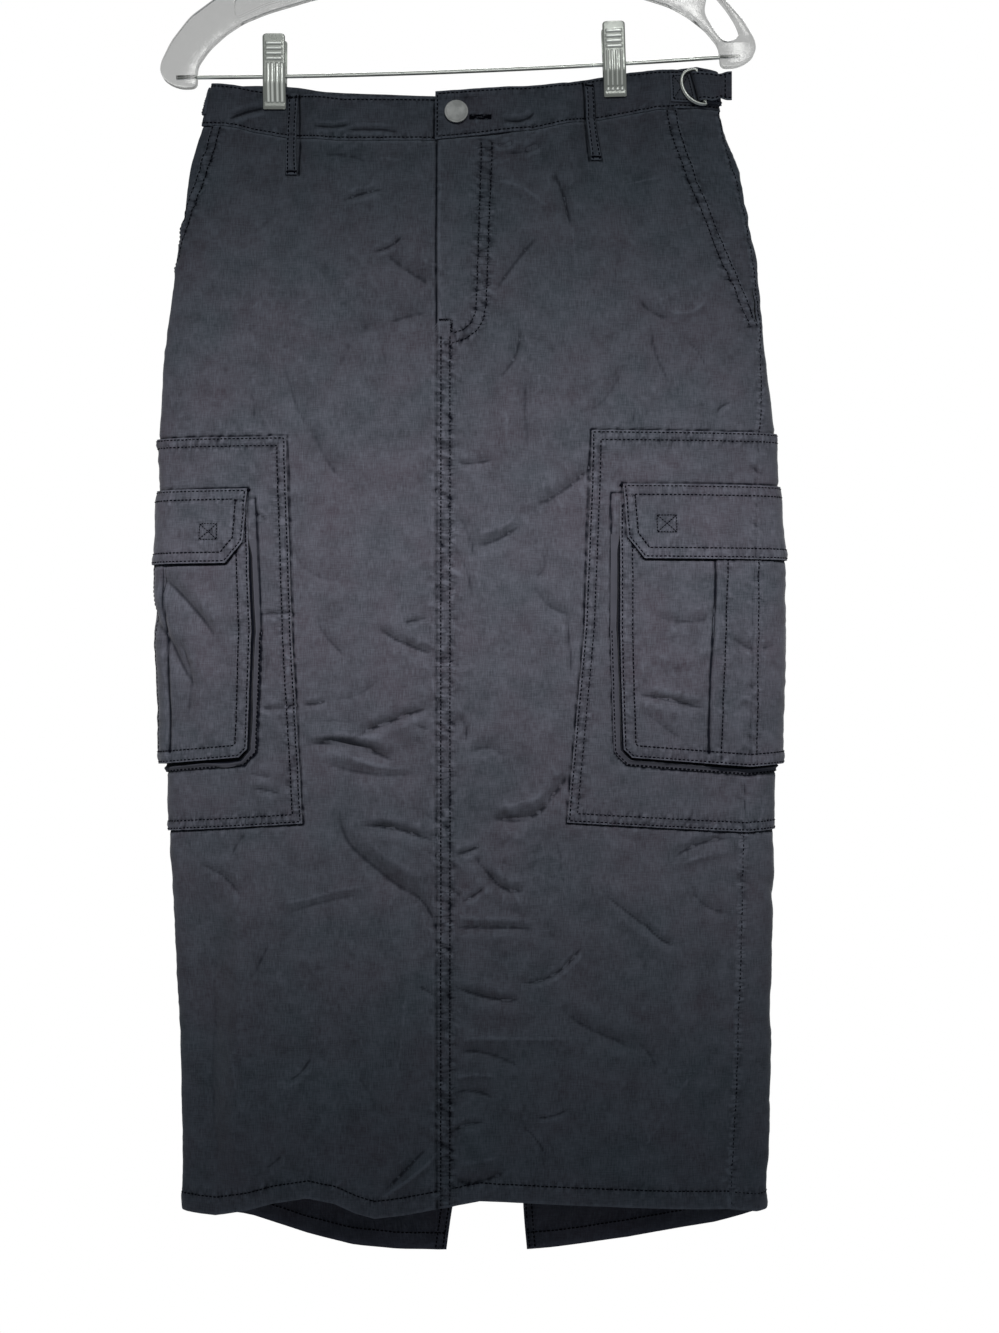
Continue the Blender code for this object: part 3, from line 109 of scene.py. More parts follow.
# The largest folds of the hanging cloth: a line on the form, the half width and the height.
FOLD_COLUMNS = ("s_start", "z_start", "s_end", "z_end", "half_width", "height")
FOLDS = (
    (-166, -800, -166, -985, 20, -5.0),
    (-124, -760, -142, -960, 22, 4.5),
    (-4, -815, -42, -1000, 20, 3.5),
    (-70, -728, -2, -812, 20, -4.0),
    (36, -732, 92, -706, 20, -3.5),
    (-94, -672, -30, -688, 20, -3.5),
    (86, -845, 150, -902, 22, -3.5),
    (115, -770, 178, -818, 22, 3.0),
    (-6, -366, -70, -424, 22, -2.5),
    (65, -272, 96, -324, 20, -2.5),
    (70, -318, 34, -362, 20, 2.0),
    (-93, -940, -93, -1000, 24, 5.0),
    (-50, -965, -45, -1015, 20, -3.5),
    (150, -930, 200, -985, 26, -3.0),
    (340, -330, 330, -470, 26, -3.5),
    (-330, -320, -345, -480, 26, -3.0),
    (330, -800, 345, -1010, 28, 4.5),
    (395, -860, 400, -1030, 24, -4.0),
    (-330, -790, -340, -1000, 28, 4.5),
    (-385, -850, -372, -1030, 24, -3.5),
)

# Folds die away towards the stitched patches, which lie flat from one s to another.
STILL = ((75, 375), (-375, -75))
STILL_Z = (-765, -430)
STILL_FADE_S = 26
STILL_FADE_Z = 34

# Lengths of the form's front quarters, left and right, and the levels where seams have points.
LONG_QUARTER = 251
SHORT_QUARTER = 209
ROWS = (
    -204, -218, -234, -252, -274, -300, -332, -366, -402, -438, -474, -508, -535, -565,
    -605, -645, -685, -720, -760, -800, -840, -880, -920, -960, -990, -1016, -1038,
)
# A quarter counts as this long where a pattern is measured.
PATTERN_WIDTH = 230
CLOTH = 1.2

# The waistband's top edge and the seam under it.
BAND_COLUMNS = ("q", "top", "seam")
BAND_RIGHT = (
    (-2.0, -208, -239),
    (-1.5, -205, -236),
    (-1.0, -201, -232),
    (-0.86, -204, -234),
    (-0.63, -208.7, -241),
    (-0.4, -213.8, -246.2),
    (0.0, -215, -246.7),
    (0.14, -213, -243.2),
)
BAND_LEFT = (
    (-0.012, -211.2, -246.7),
    (0.0, -211.2, -246.7),
    (0.18, -208.3, -242.3),
    (0.34, -205.5, -237.7),
    (0.45, -203.3, -232.3),
    (0.57, -197.4, -228),
    (0.68, -193.7, -223.7),
    (0.85, -192.9, -221),
    (0.92, -190.6, -220.9),
    (1.0, -193, -221.5),
    (1.25, -198, -228),
    (1.5, -203, -234),
    (2.0, -208, -239),
)
BAND_UNDERLAP = 28
BAND_OVERLAP = 2.4
BAND_END_Z = -230
BAND_LIFT = 2.7
BAND_LIFT_ENDS = (42, 66)
BANDS = {1: BAND_LEFT, -1: BAND_RIGHT}

# The hem, and the vent that opens it at the centre back.
HEM_COLUMNS = ("q", "z")
HEM = (
    (-2.0, -1054),
    (-1.806, -1053),
    (-1.654, -1052),
    (-1.53, -1049),
    (-1.4, -1040),
    (-1.223, -1024),
    (-1.0, -1014),
    (-0.82, -1015),
    (-0.69, -1010),
    (-0.6, -1004.3),
    (-0.47, -999.3),
    (-0.375, -1003.1),
    (-0.3, -1009.9),
    (-0.23, -1013.9),
    (-0.117, -1010.9),
    (0.0, -1006.6),
    (0.12, -1000.9),
    (0.25, -1002.4),
    (0.517, -1006),
    (0.69, -1008.6),
    (0.84, -1010.3),
    (0.936, -1013.9),
    (1.0, -1013),
    (1.13, -1023),
    (1.22, -1029),
    (1.545, -1042.6),
    (1.87, -1051.5),
    (2.0, -1054),
)
VENT_TOP = -800
VENT_Q = {"right": -1.806, "left": 1.939}

# The side seams, the same on both sides.
SIDE_SEAM_COLUMNS = ("z", "s")
SIDE_SEAM = (
    (-1066, 208),
    (-990, 210),
    (-840, 215.5),
    (-760, 217.5),
    (-565, 222),
    (-474, 228),
    (-438, 232),
    (-378, 233),
    (-300, 222),
    (-218, 206),
    (-190, 203),
)

# The slanted pocket mouths, from the waistband down to the side seam.
MOUTH_COLUMNS = ("z", "s")
MOUTH = ((-378, 233), (-332, 211), (-281, 191.5), (-236, 180), (-200, 173))
MOUTH_END = MOUTH[0][0]
MOUTH_SHIFT = {1: 0, -1: 10}
MOUTH_SHIFT_FADE = 60
FACING_UNDERLAP = 10
FACING_DROP = 1.75
FACING_RAMP = (4, 16)
FACING_END = MOUTH_END - 10

# The fly: the left panel's lifted edge over the right panel, with the zip strip behind both.
FLY_END = -384
FLY_STEP = 6
FLY_EDGE = -0.5
FLY_LAP = 4
FLY_LIFT = 1.5
FLY_LIFT_ENDS_S = (12, 46)
FLY_LIFT_ENDS_Z = (-408, -388)
ZIP_S = (-14, 34)
ZIP_Z = (-250, -372)

# Cargo patches, flaps and pockets: lengths from the centre front on each side.
CARGO_COLUMNS = (
    "patch_top", "patch_middle", "patch_bottom", "patch_top_z", "patch_bottom_z",
    "flap_top", "flap_low", "flap_chamfer", "flap_top_z",
    "pocket_top", "pocket_middle", "pocket_low", "pocket_bottom_z",
)
CARGO = {
    "left": (109, 104, 91.5, -455, -733, 131, 134, 145.5, -493, 129, 128.5, 131, -687),
    "right": (108, 104, 96.5, -459, -734, 136, 138, 150.5, -496, 136, 132, 135, -687),
}
CARGO_MIDDLE = 222
PATCH_DROP = 8
FLAP_LENGTH = 53
FLAP_CHAMFER = 15
POCKET_DROP = 7
POCKET_CORNER = 6
POCKET_TOP = 13
POCKET_FULL = 66
PLEAT_COLUMNS = ("z", "front_edge", "back_edge")
PLEAT = ((-700, 192, 249), (-500, 199, 251))
PLEAT_RAISE = 1.5
PLEAT_STEP = 0.6
POCKET_OUT_TOP = 2.4
POCKET_OUT_FULL = 5.9
GUSSET_TOP = 36

# Belt loops: centres at their top and bottom ends, and levels.
LOOP_COLUMNS = ("name", "q_top", "q_bottom", "z_top", "z_bottom")
LOOPS = (
    ("belt_loop_front_right", -0.628, -0.57, -210, -270),
    ("belt_loop_front_left", 0.526, 0.52, -202, -259),
    ("belt_loop_back_right", -1.62, -1.62, -206.5, -266),
    ("belt_loop_back_left", 1.62, 1.62, -205.5, -265),
    ("belt_loop_back_centre", 2.0, 2.0, -207.5, -267),
)
LOOP_HALF_WIDTH = 4.7
LOOP_BOW = 1.2

# Side adjusters on the waistband: a sewn tab, two D-rings and a strap round their bars.
TAB_S = (172, 187)
TAB_LEAN = 3
TAB_FLARE = 2
ADJUSTER_HALF_HEIGHT = 10.3
ADJUSTER_Z = {"right": -214, "left": -206.5}
RING_BAR_S = 192
RING_BAR = 25
RING_DEPTH = 13.5
RING_WIRE = 0.95
RING_OUT = (4.4, 6.65)
RING_LEAN = 0.33
RING_ROUND = 0.8
STRAP_CLOTH = 1.3
STRAP_END_S = {"right": 207, "left": 240}
STRAP_LEAN_S = (203, 194)
STRAP_OUT = 2.2
STRAP_TURN = 3.9
STRAP_TURN_S = 193.5
STRAP_TURN_REACH = 5.2
STRAP_TURN_POWER = 0.7
TAIL_LENGTH = 19
TAIL_STRAIGHT_BY = 0.7
TAIL_NECK = 1.6
TAIL_NECK_AT = 0.55
TAIL_NECK_WIDTH = 0.18
TAIL_HEADING = {"right": 6, "left": -4}

BUTTON_PLACE = (12.8, -227.4)

# The hanger, in its own upright frame: its outline from the middle outwards, one side.
HANGER_TILT = math.radians(-2.2)
HANGER_HALF_THICK = 4.5
HANGER_OUTER = (
    (0, -76), (9, -77), (14, -86), (34, -90), (70, -97), (110, -108), (145, -119.5), (174.2, -133.7),
    (192.2, -146), (206.5, -163), (214.5, -178), (215.5, -184.5), (213, -190.5), (207, -195),
    (200, -197.3), (189.2, -197.3),
)
HANGER_INNER = (
    (188.6, -182), (179.3, -169.6), (167, -159.2), (153.8, -151.2), (135.5, -144.6), (103.3, -136.4),
    (60, -128.5), (0, -123),
)
HANGER_SLOT = (
    (181, -147), (182.5, -142.5), (186, -143.5), (195.1, -155.1), (201.2, -165.5), (204, -173.6),
    (200, -178.4), (192, -178.4), (185.8, -170.8), (178.6, -157.4),
)
RECESS_OUTER = ((24, -94), (70, -102.5), (108, -113.3), (141, -124.5), (160, -133))
RECESS_INNER = ((160, -148.5), (137, -138.8), (104, -131), (61, -123), (24, -118.6))
ROD_RADIUS = 1.5
ROD_HALF_LENGTH = 203
ROD_Z = -189.4
ROD_SAG = 3.0
ROD_SPAN = 188
HOOK_WIRE = 1.9
HOOK_INNER_RADIUS = 20
HOOK_SHANK_TOP = -56
HOOK_SHANK_END = -75.7
HOOK_TIP_ANGLE = 205
HOOK_START_ANGLE = -48
HOOK_BOW_X = 0.6

# A clip, from the rod's axis: the height and the distance forward of its front plate's middle.
PLATE = ((28.6, 10.5), (8, 8.6), (-6, 8.0), (-19, 4.1), (-22.5, 3.9), (-24.7, 4.9))
CLIP_THICK = 0.9
CLIP_WIDTH = 16.2
EAR_RADIUS = 4.6
EAR_INSET = {"front": 0.0, "back": 1.3}
EAR_HOLE = 2.2
EAR_REACH = 8.2
EAR_HALF_HEIGHT = 5.6
SPRING_RADIUS = 3.3
SPRING_LENGTH = 9.5
CLIP_LEAN = {"right": 0.0, "left": math.radians(-1.95)}


def table(columns, rows):
    """The rows as one array for each named column, in rising order of the first."""
    values = np.array(sorted(rows), float)
    return {name: values[:, i] for i, name in enumerate(columns)}


def named_rows(columns, rows):
    """Each row of a table, with its values under the columns' names."""
    return [dict(zip(columns, row)) for row in rows]


def through(x, rows, columns, wanted):
    """Straight lines through a table's points."""
    values = table(columns, rows)
    return np.interp(x, values[columns[0]], values[wanted])


def smooth_through(x, xs, ys):
    """A smooth curve through the points, with the mean slope of the neighbours at each."""
    slopes = np.gradient(ys, xs)
    i = np.clip(np.searchsorted(xs, x) - 1, 0, len(xs) - 2)
    span = xs[i + 1] - xs[i]
    t = np.clip((x - xs[i]) / span, 0, 1)
    first = (1 + 2 * t) * (1 - t) ** 2 * ys[i] + t * (1 - t) ** 2 * span * slopes[i]
    second = t**2 * (3 - 2 * t) * ys[i + 1] - t**2 * (1 - t) * span * slopes[i + 1]
    return first + second


def ease(x, start, end):
    """0 before start, 1 after end, smooth between."""
    t = np.clip((np.asarray(x, float) - start) / (end - start), 0, 1)
    return t * t * (3 - 2 * t)


def signed_power(value, power):
    return np.sign(value) * np.abs(value) ** power


def ring_at(z):
    """One level section: its x, y and lengths along it, from the middle of the back."""
    section = table(SECTION_COLUMNS, SECTIONS)
    left, right, front, back = (
        smooth_through(z, section["z"], section[name]) for name in SECTION_COLUMNS[1:]
    )
    turn = np.linspace(-math.pi, math.pi, RING_TURNS + 1)
    x = (left + right) / 2 + (right - left) / 2 * signed_power(np.sin(turn), 2 / OVAL_POWER)
    depth = np.where(np.cos(turn) > 0, front, back)
    y = -depth * signed_power(np.cos(turn), 2 / OVAL_POWER)
    fade = math.exp(-((max(0.0, PINCH_FULL_ABOVE - z) / PINCH_FADE) ** 2))
    pinch = sum(np.exp(-(((x - clip) / PINCH_HALF_WIDTH) ** 4)) for clip in CLIP_X.values()) * fade
    y = y * (1 - pinch) + np.sign(y) * PINCH_DEPTH * pinch
    length = np.concatenate([[0], np.cumsum(np.hypot(np.diff(x), np.diff(y)))])
    return x, y, length


def build_form():
    """The form's points by level and q, its outward normals, and its landmarks' lengths."""
    points = np.empty((len(FORM_Z), len(FORM_Q), 3))
    landmarks = np.empty((len(FORM_Z), 5))
    left_fold, right_fold = RING_TURNS // 4, 3 * RING_TURNS // 4
    for row, z in enumerate(FORM_Z):
        x, y, length = ring_at(z)
        front = slice(left_fold, right_fold + 1)
        start = np.interp(CENTRE_FRONT_X, x[front], length[front])
        half = length[-1] / 2
        marks = (start - half, length[left_fold], start, length[right_fold], start + half)
        wanted = np.interp(FORM_Q, (-2, -1, 0, 1, 2), marks) % length[-1]
        points[row, :, 0] = np.interp(wanted, length, x)
        points[row, :, 1] = np.interp(wanted, length, y)
        points[row, :, 2] = z
        landmarks[row] = np.array(marks) - start
    normals = np.cross(np.gradient(points, axis=1), np.gradient(points, axis=0))
    normals /= np.linalg.norm(normals, axis=2, keepdims=True)
    return points, normals, landmarks


FORM_POINTS, FORM_NORMALS, FORM_LANDMARKS = build_form()


def wrapped(q):
    """q brought back between -2 and 2 where it runs on past the centre back."""
    return np.where(np.abs(q) > 2, (q + 2) % 4 - 2, q)


def between(grid, row, column):
    """A grid's value at a row and a column that lie between its own."""
    row = np.clip(row, 0, grid.shape[0] - 1.001)
    column = np.clip(column, 0, grid.shape[1] - 1.001)
    i, j = row.astype(int), column.astype(int)
    u, v = row - i, column - j
    if grid.ndim > 2:
        u, v = u[..., None], v[..., None]
    low = grid[i, j] * (1 - v) + grid[i, j + 1] * v
    high = grid[i + 1, j] * (1 - v) + grid[i + 1, j + 1] * v
    return low * (1 - u) + high * u


def look_up(grid, q, z):
    """What a grid of the form holds at (q, z)."""
    return between(grid, (z - FORM_Z[0]) / FORM_STEP_Z, (q - FORM_Q[0]) / FORM_STEP_Q)


def marks_at(z):
    """The lengths s of q = -2, -1, 0, 1 and 2 at this level."""
    return [float(np.interp(z, FORM_Z, FORM_LANDMARKS[:, i])) for i in range(5)]


def q_of(s, z):
    return float(np.interp(s, marks_at(z), (-2, -1, 0, 1, 2)))


def s_of(q, z):
    """Lengths from the centre front, for arrays of q and z."""
    marks = np.stack([np.interp(z, FORM_Z, FORM_LANDMARKS[:, i]) for i in range(5)])
    quarter = np.clip(np.floor(q).astype(int), -2, 1)
    low = np.take_along_axis(marks, (quarter + 2)[None], 0)[0]
    high = np.take_along_axis(marks, (quarter + 3)[None], 0)[0]
    return low + (high - low) * (q - quarter)


def fold_height(s, z):
    """How far the largest folds move the cloth out of the form."""
    height = np.zeros_like(s)
    for fold in named_rows(FOLD_COLUMNS, FOLDS):
        across, up = s - fold["s_start"], z - fold["z_start"]
        run_s, run_z = fold["s_end"] - fold["s_start"], fold["z_end"] - fold["z_start"]
        share = np.clip((across * run_s + up * run_z) / (run_s**2 + run_z**2), 0, 1)
        distance = np.hypot(across - share * run_s, up - share * run_z)
        height += fold["height"] * np.exp(-((distance / fold["half_width"]) ** 2))
    still_z = ease(z, STILL_Z[0] - STILL_FADE_Z, STILL_Z[0])
    still_z = still_z * (1 - ease(z, STILL_Z[1], STILL_Z[1] + STILL_FADE_Z))
    for s_from, s_to in STILL:
        still_s = ease(s, s_from - STILL_FADE_S, s_from) * (1 - ease(s, s_to, s_to + STILL_FADE_S))
        height *= 1 - still_s * still_z
    return height


def on_form(q, z, out):
    """Points in millimetres, out from the form and its folds."""
    q, z = wrapped(np.asarray(q, float)), np.asarray(z, float)
    out = np.asarray(out, float) + fold_height(s_of(q, z), z)
    normal = look_up(FORM_NORMALS, q, z)
    return look_up(FORM_POINTS, q, z) + normal * out[..., None]


# Relief: everything finer than the form's folds, worked out once on a fine grid of (z, s) in
# millimetres, then read by every layer of cloth, so that layers move together.
RELIEF_STEP = 0.8
RELIEF_S = np.arange(-490.0, 490.0, RELIEF_STEP)
RELIEF_Z = np.arange(-1072.0, -180.0, RELIEF_STEP)
RELIEF_FADE_Q = 0.035
CREASE_REACH = 3.2
CREASE_GAIN = 1.35
CREASE_NARROWING = 0.78
# The cavity map paints valleys and grooves darker as painted shade, and ridges paler, partly from rubbing and
# partly as painted highlight.
CAVITY_GAIN = 3.2
PUCKER_GAIN = 2.0
SEAMED_GAIN = 1.5
SEAMED_LEAST = 0.3
HOLLOW_GAIN = 14
HOLLOW_SHARES = (0.16, 0.22)
GROOVE_DEPTH = 0.75
# Grooves are painted darker at their deepest by this much: painted shade.
GROOVE_PAINTED_SHADE = 0.8
GROOVE_HALF_WIDTH = 1.2
GROOVED = {
    "front_": "panel", "back_": "panel", "hip_": "panel", "waistband": "band", "cargo_patch": "patch",
    "pocket_front": "pocket",
}
BACK_CREASES = {
    "shift": 8, "drop": 34, "share": 0.85, "half": 443, "reach": 195, "top": -290, "bottom": -1005,
}
SEAM_REACH = 15
PUCKER_HALF_WIDTH = 7.5
SEAMED_HALF_WIDTH = 3.6
HOLLOW_ROUNDS = 10

# Each crease runs through three points (s, z). The band's creases are laid twice, so they are deep.
CREASE_COLUMNS = ("kind", "s0", "z0", "s1", "z1", "s2", "z2", "half_width", "height")
BAND_CREASES = (
    ("trough", -127.6, -218.8, -141.8, -222.6, -155.3, -228.7, 3, 1.3),
    ("trough", -90.8, -233.7, -76.6, -235.8, -61, -233.7, 2.4, 0.9),
    ("trough", -69.5, -239.4, -55.3, -238, -28.4, -240.1, 2.4, 0.8),
    ("trough", 45.2, -232.3, 58.8, -231.9, 68.8, -225.2, 2.8, 1),
    ("trough", 67.8, -233.6, 67.4, -238, 67.2, -242, 2.4, 1),
    ("trough", 41.8, -247.2, 46.8, -249.7, 53.7, -246.8, 2.4, 1.1),
    ("trough", 61.4, -253.2, 64.8, -252.4, 70.8, -249, 3, 1.3),
)
FRONT_CREASES = (
    ("trough", -68, -290, -55, -285, -38, -282, 3, 1.3),
    ("trough", -85, -256, -62, -258, -48, -265, 5, 1.1),
    ("ridge", -45, -260, -27, -262, -16, -266, 5, 0.9),
    ("trough", -48, -327, -36, -324, -25, -315, 2.6, 1.2),
    ("roll", -38, -329, -23, -341, -4, -351, 8, 2.2),
    ("roll", -72, -419, -59, -391, -38, -377, 15, 2.6),
    ("trough", -38, -377, -20, -374, -5, -372, 8, 1.7),
    ("trough", -110, -402, -101, -437, -87, -457, 7, 1.2),
    ("roll", -89, -453, -82, -473, -68, -492, 9, 2),
    ("trough", -80, -310, -82, -345, -80, -370, 12, 0.9),
    ("ridge", -117, -264, -133, -310, -137, -341, 16, 1.1),
    ("ridge", -20, -398, -18, -423, -22, -448, 14, 0.9),
    ("trough", -133, -423, -132, -437, -133, -451, 7, 0.9),
    ("ridge", -158, -412, -155, -434, -158, -455, 8, 0.8),
    ("ridge", 40, -275, 60, -280, 79, -295, 7, 2),
    ("trough", 84, -267, 89, -285, 96, -310, 7, 2.8),
    ("ridge", 93, -299, 96, -324, 98, -349, 8, 1.6),
    ("trough", 44, -251, 58, -254, 76, -246, 5, 1.5),
    ("trough", 71, -315, 56, -334, 40, -358, 9, 2.4),
    ("ridge", 79, -299, 79, -327, 76, -359, 14, 1.3),
    ("trough", 44, -419, 55, -402, 59, -379, 6, 1.6),
    ("trough", 62, -419, 62, -441, 64, -470, 7, 1.4),
    ("ridge", 51, -437, 50, -455, 52, -473, 8, 1.1),
    ("roll", 143, -359, 155, -372, 168, -374, 7, 2),
    ("ridge", 161, -368, 179, -370, 193, -359, 7, 1.6),
    ("trough", 150, -379, 157, -402, 169, -428, 7, 1.7),
    ("trough", 177, -391, 186, -398, 194, -412, 5, 1),
    ("trough", 125, -405, 124, -423, 104, -446, 8, 1.1),
    ("ridge", 104, -327, 105, -359, 104, -391, 15, 1.1),
    ("trough", 127, -320, 128, -345, 127, -377, 9, 1),
    ("ridge", 133, -276, 150, -274, 166, -271, 3, 0.7),
    ("trough", 200, -443, 203, -437, 211, -434, 3, 1),
    ("trough", 141, -427, 140, -441, 138, -453, 3, 0.9),
    ("roll", 66, -507, 90, -498, 109, -476, 7, 1.9),
    ("trough", 13, -478, 26, -479, 40, -476, 4, 1.3),
    ("trough", 23, -535, 40, -534, 60, -521, 6, 1.5),
    ("ridge", 26, -527, 44, -524, 56, -513, 6, 1.1),
    ("trough", 13, -513, 23, -529, 27, -551, 8, 1.8),
    ("trough", 15, -542, 21, -558, 23, -576, 5, 1.4),
    ("ridge", 28, -551, 30, -568, 33, -586, 8, 1),
    ("roll", 68, -562, 79, -579, 97, -585, 8, 1.8),
    ("trough", 91, -585, 93, -607, 94, -631, 3, 0.9),
    ("trough", 72, -540, 76, -551, 68, -561, 6, 1),
    ("trough", -103, -538, -91, -554, -66, -561, 10, 1.2),
    ("ridge", -98, -567, -69, -574, -48, -568, 12, 0.9),
    ("trough", -25, -592, -16, -590, -7, -588, 2.6, 1),
    ("roll", -43, -593, -27, -605, -3, -613, 5, 2.4),
    ("trough", -84, -590, -80, -600, -64, -617, 6, 1.3),
    ("trough", -132, -514, -126, -515, -122, -519, 2.4, 0.9),
    ("trough", -128, -585, -111, -584, -98, -586, 3.2, 1.5),
    ("trough", -128, -652, -111, -651, -98, -649, 3.2, 1.5),
    ("trough", -97, -649, -87, -649, -79, -647, 3.2, 1.4),
    ("trough", -79, -647, -55, -642, -38, -627, 6, 0.9),
    ("roll", -92, -677, -66, -678, -31, -690, 5.5, 3.8),
    ("trough", -58, -673, -39, -663, -6, -652, 5, 2.6),
    ("ridge", -91, -671, -66, -672, -48, -673, 6, 1.4),
    ("trough", -80, -691, -52, -698, -13, -697, 7, 1.5),
    ("ridge", -64, -686, -43, -693, -20, -694, 5, 1.1),
    ("roll", -54, -735, -27, -739, -2, -746, 4.5, 2.6),
    ("roll", -71, -726, -55, -756, -11, -787, 9, 3.6),
    ("trough", -20, -781, -6, -795, -1, -813, 5, 1.7),
    ("ridge", -55, -739, -38, -756, -6, -774, 11, 1.8),
    ("roll", 38, -729, 62, -731, 79, -719, 6, 3.4),
    ("trough", 78, -720, 86, -710, 92, -699, 7, 2.4),
    ("ridge", 40, -721, 65, -718, 79, -707, 8, 1.3),
    ("trough", 12, -755, 21, -753, 30, -749, 3.4, 2),
    ("trough", 24, -756, 33, -766, 44, -776, 6, 1.4),
    ("roll", 34, -765, 44, -778, 61, -781, 5, 2.8),
    ("trough", 16, -790, 26, -785, 34, -778, 2.6, 1.2),
    ("trough", 8, -808, 30, -807, 68, -809, 4.5, 1.9),
    ("ridge", 12, -802, 40, -801, 65, -804, 6, 1),
    ("trough", 117, -781, 133, -797, 154, -810, 5, 1.4),
    ("trough", 147, -804, 157, -815, 169, -821, 4, 2),
    ("trough", 60, -846, 82, -841, 103, -821, 2.6, 1.6),
    ("roll", 12, -848, 37, -858, 59, -857, 5, 2.6),
    ("roll", 85, -865, 115, -882, 145, -896, 8, 2.4),
    ("trough", 141, -887, 150, -898, 155, -910, 7, 1.4),
    ("ridge", 14, -885, 51, -887, 101, -887, 7, 2),
    ("trough", 12, -895, 37, -897, 59, -909, 7, 2.2),
    ("ridge", 11, -913, 26, -912, 42, -913, 5, 1.6),
    ("trough", 11, -926, 26, -924, 40, -929, 6, 1.9),
    ("trough", 69, -943, 82, -941, 93, -936, 2.2, 1),
    ("trough", 59, -948, 69, -957, 77, -971, 3, 1.1),
    ("facet", 139, -981, 154, -948, 197, -899, 12, 2.2),
    ("trough", 8, -953, 19, -948, 33, -946, 4, 1.7),
    ("roll", 11, -987, 26, -989, 49, -980, 6, 2.3),
    ("ridge", 8, -975, 30, -972, 44, -969, 7, 1.5),
    ("edge", 0, -968, -16, -982, -43, -1001, 4.5, 2.8),
    ("trough", -6, -963, -20, -976, -37, -993, 5, 1.8),
    ("facet", -7, -818, -21, -870, -43, -993, 16, 2.6),
    ("trough", -57, -912, -48, -925, -44, -939, 8, 1.2),
    ("ridge", -111, -793, -85, -785, -51, -779, 6, 1.2),
    ("trough", -109, -798, -84, -790, -55, -785, 6, 1),
    ("ridge", -140, -739, -141, -852, -145, -987, 17, 2.4),
    ("trough", -162, -802, -163, -887, -164, -990, 14, 1.8),
    ("trough", -150, -760, -144, -749, -137, -739, 6, 1),
    ("trough", -174, -762, -157, -771, -137, -788, 5, 1.3),
    ("trough", -119, -820, -126, -831, -132, -843, 6, 0.9),
    ("trough", -109, -917, -98, -911, -90, -899, 2.6, 0.9),
    ("ridge", -126, -955, -116, -933, -98, -916, 9, 0.8),
    ("trough", 167, -758, 186, -750, 211, -744, 5, 1.8),
    ("ridge", 172, -765, 189, -758, 211, -754, 6, 1),
    ("trough", 125, -739, 147, -753, 154, -770, 10, 1),
    ("ridge", 108, -770, 129, -781, 147, -788, 9, 0.9),
    ("trough", 179, -781, 193, -795, 209, -798, 6, 1.1),
    ("trough", 86, -749, 87, -760, 86, -770, 5, 1.1),
    ("trough", 13, -654, 20, -665, 21, -677, 5, 1.2),
    ("trough", 23, -684, 37, -680, 49, -687, 6, 1.1),
    ("trough", -20, -664, -7, -667, -1, -675, 4, 1),
    ("trough", -133, -709, -122, -711, -111, -714, 3.6, 1.2),
    ("trough", -137, -697, -126, -700, -116, -700, 4, 0.8),
    ("trough", 108, -831, 115, -852, 108, -863, 9, 0.6),
    ("ridge", 154, -852, 172, -873, 179, -887, 12, 1),
    ("trough", -123, -980, -116, -975, -111, -969, 4, 1.1),
    ("trough", -13, -848, -6, -852, -1, -856, 4, 1.1),
    ("trough", -98, -873, -105, -887, -109, -902, 8, 0.6),
)
# Creases of the pockets and of the sides, where the cloth turns away.
SIDE_CREASES = (
    ("roll", 141, -641, 168, -648, 189, -652, 4, 2.4),
    ("trough", 141, -652, 165, -668, 178, -680, 5, 0.9),
    ("trough", 150, -585, 172, -590, 195, -588, 5, 0.9),
    ("ridge", 150, -612, 170, -620, 186, -615, 7, 0.8),
    ("roll", -201, -556, -178, -578, -157, -603, 6, 2.2),
    ("roll", -214, -563, -196, -600, -172, -640, 7, 2.4),
    ("trough", -186, -600, -176, -632, -180, -662, 6, 1.5),
    ("trough", 205, -600, 225, -610, 240, -604, 6, 1.2),
    ("trough", -230, -610, -250, -622, -270, -612, 7, 1.4),
    ("trough", 262, -560, 280, -590, 290, -640, 7, 1.5),
    ("roll", 236, -770, 262, -800, 290, -812, 8, 1.8),
    ("roll", -240, -780, -262, -812, -292, -830, 8, 1.8),
    ("roll", 232, -300, 262, -330, 290, -344, 8, 1.8),
    ("roll", -228, -306, -250, -342, -286, -356, 8, 1.8),
)


def value_noise(x, y, seed):
    """Smooth random heights from -1 to 1, one to each unit square."""
    lattice = np.random.default_rng(seed).uniform(-1, 1, (128, 128))
    i, j = np.floor(x).astype(int), np.floor(y).astype(int)
    u, v = x - i, y - j
    u, v = u * u * (3 - 2 * u), v * v * (3 - 2 * v)
    i0, i1, j0, j1 = i % 128, (i + 1) % 128, j % 128, (j + 1) % 128
    low = lattice[i0, j0] * (1 - u) + lattice[i1, j0] * u
    high = lattice[i0, j1] * (1 - u) + lattice[i1, j1] * u
    return low * (1 - v) + high * v


def bent_line(row, count=14):
    """Points of the curve that runs through a crease's three points."""
    start, middle, end = (np.array((row[f"s{i}"], row[f"z{i}"]), float) for i in range(3))
    control = 2 * middle - (start + end) / 2
    t = np.linspace(0, 1, count)[:, None]
    return (1 - t) ** 2 * start + 2 * t * (1 - t) * control + t**2 * end


def relief_window(line, reach):
    """The part of the relief grid within reach of a line of (s, z) points, and its coordinates."""
    low, high = line.min(0) - reach, line.max(0) + reach
    columns = slice(*np.searchsorted(RELIEF_S, (low[0], high[0])))
    rows = slice(*np.searchsorted(RELIEF_Z, (low[1], high[1])))
    z, s = np.meshgrid(RELIEF_Z[rows], RELIEF_S[columns], indexing="ij")
    return (rows, columns), s, z


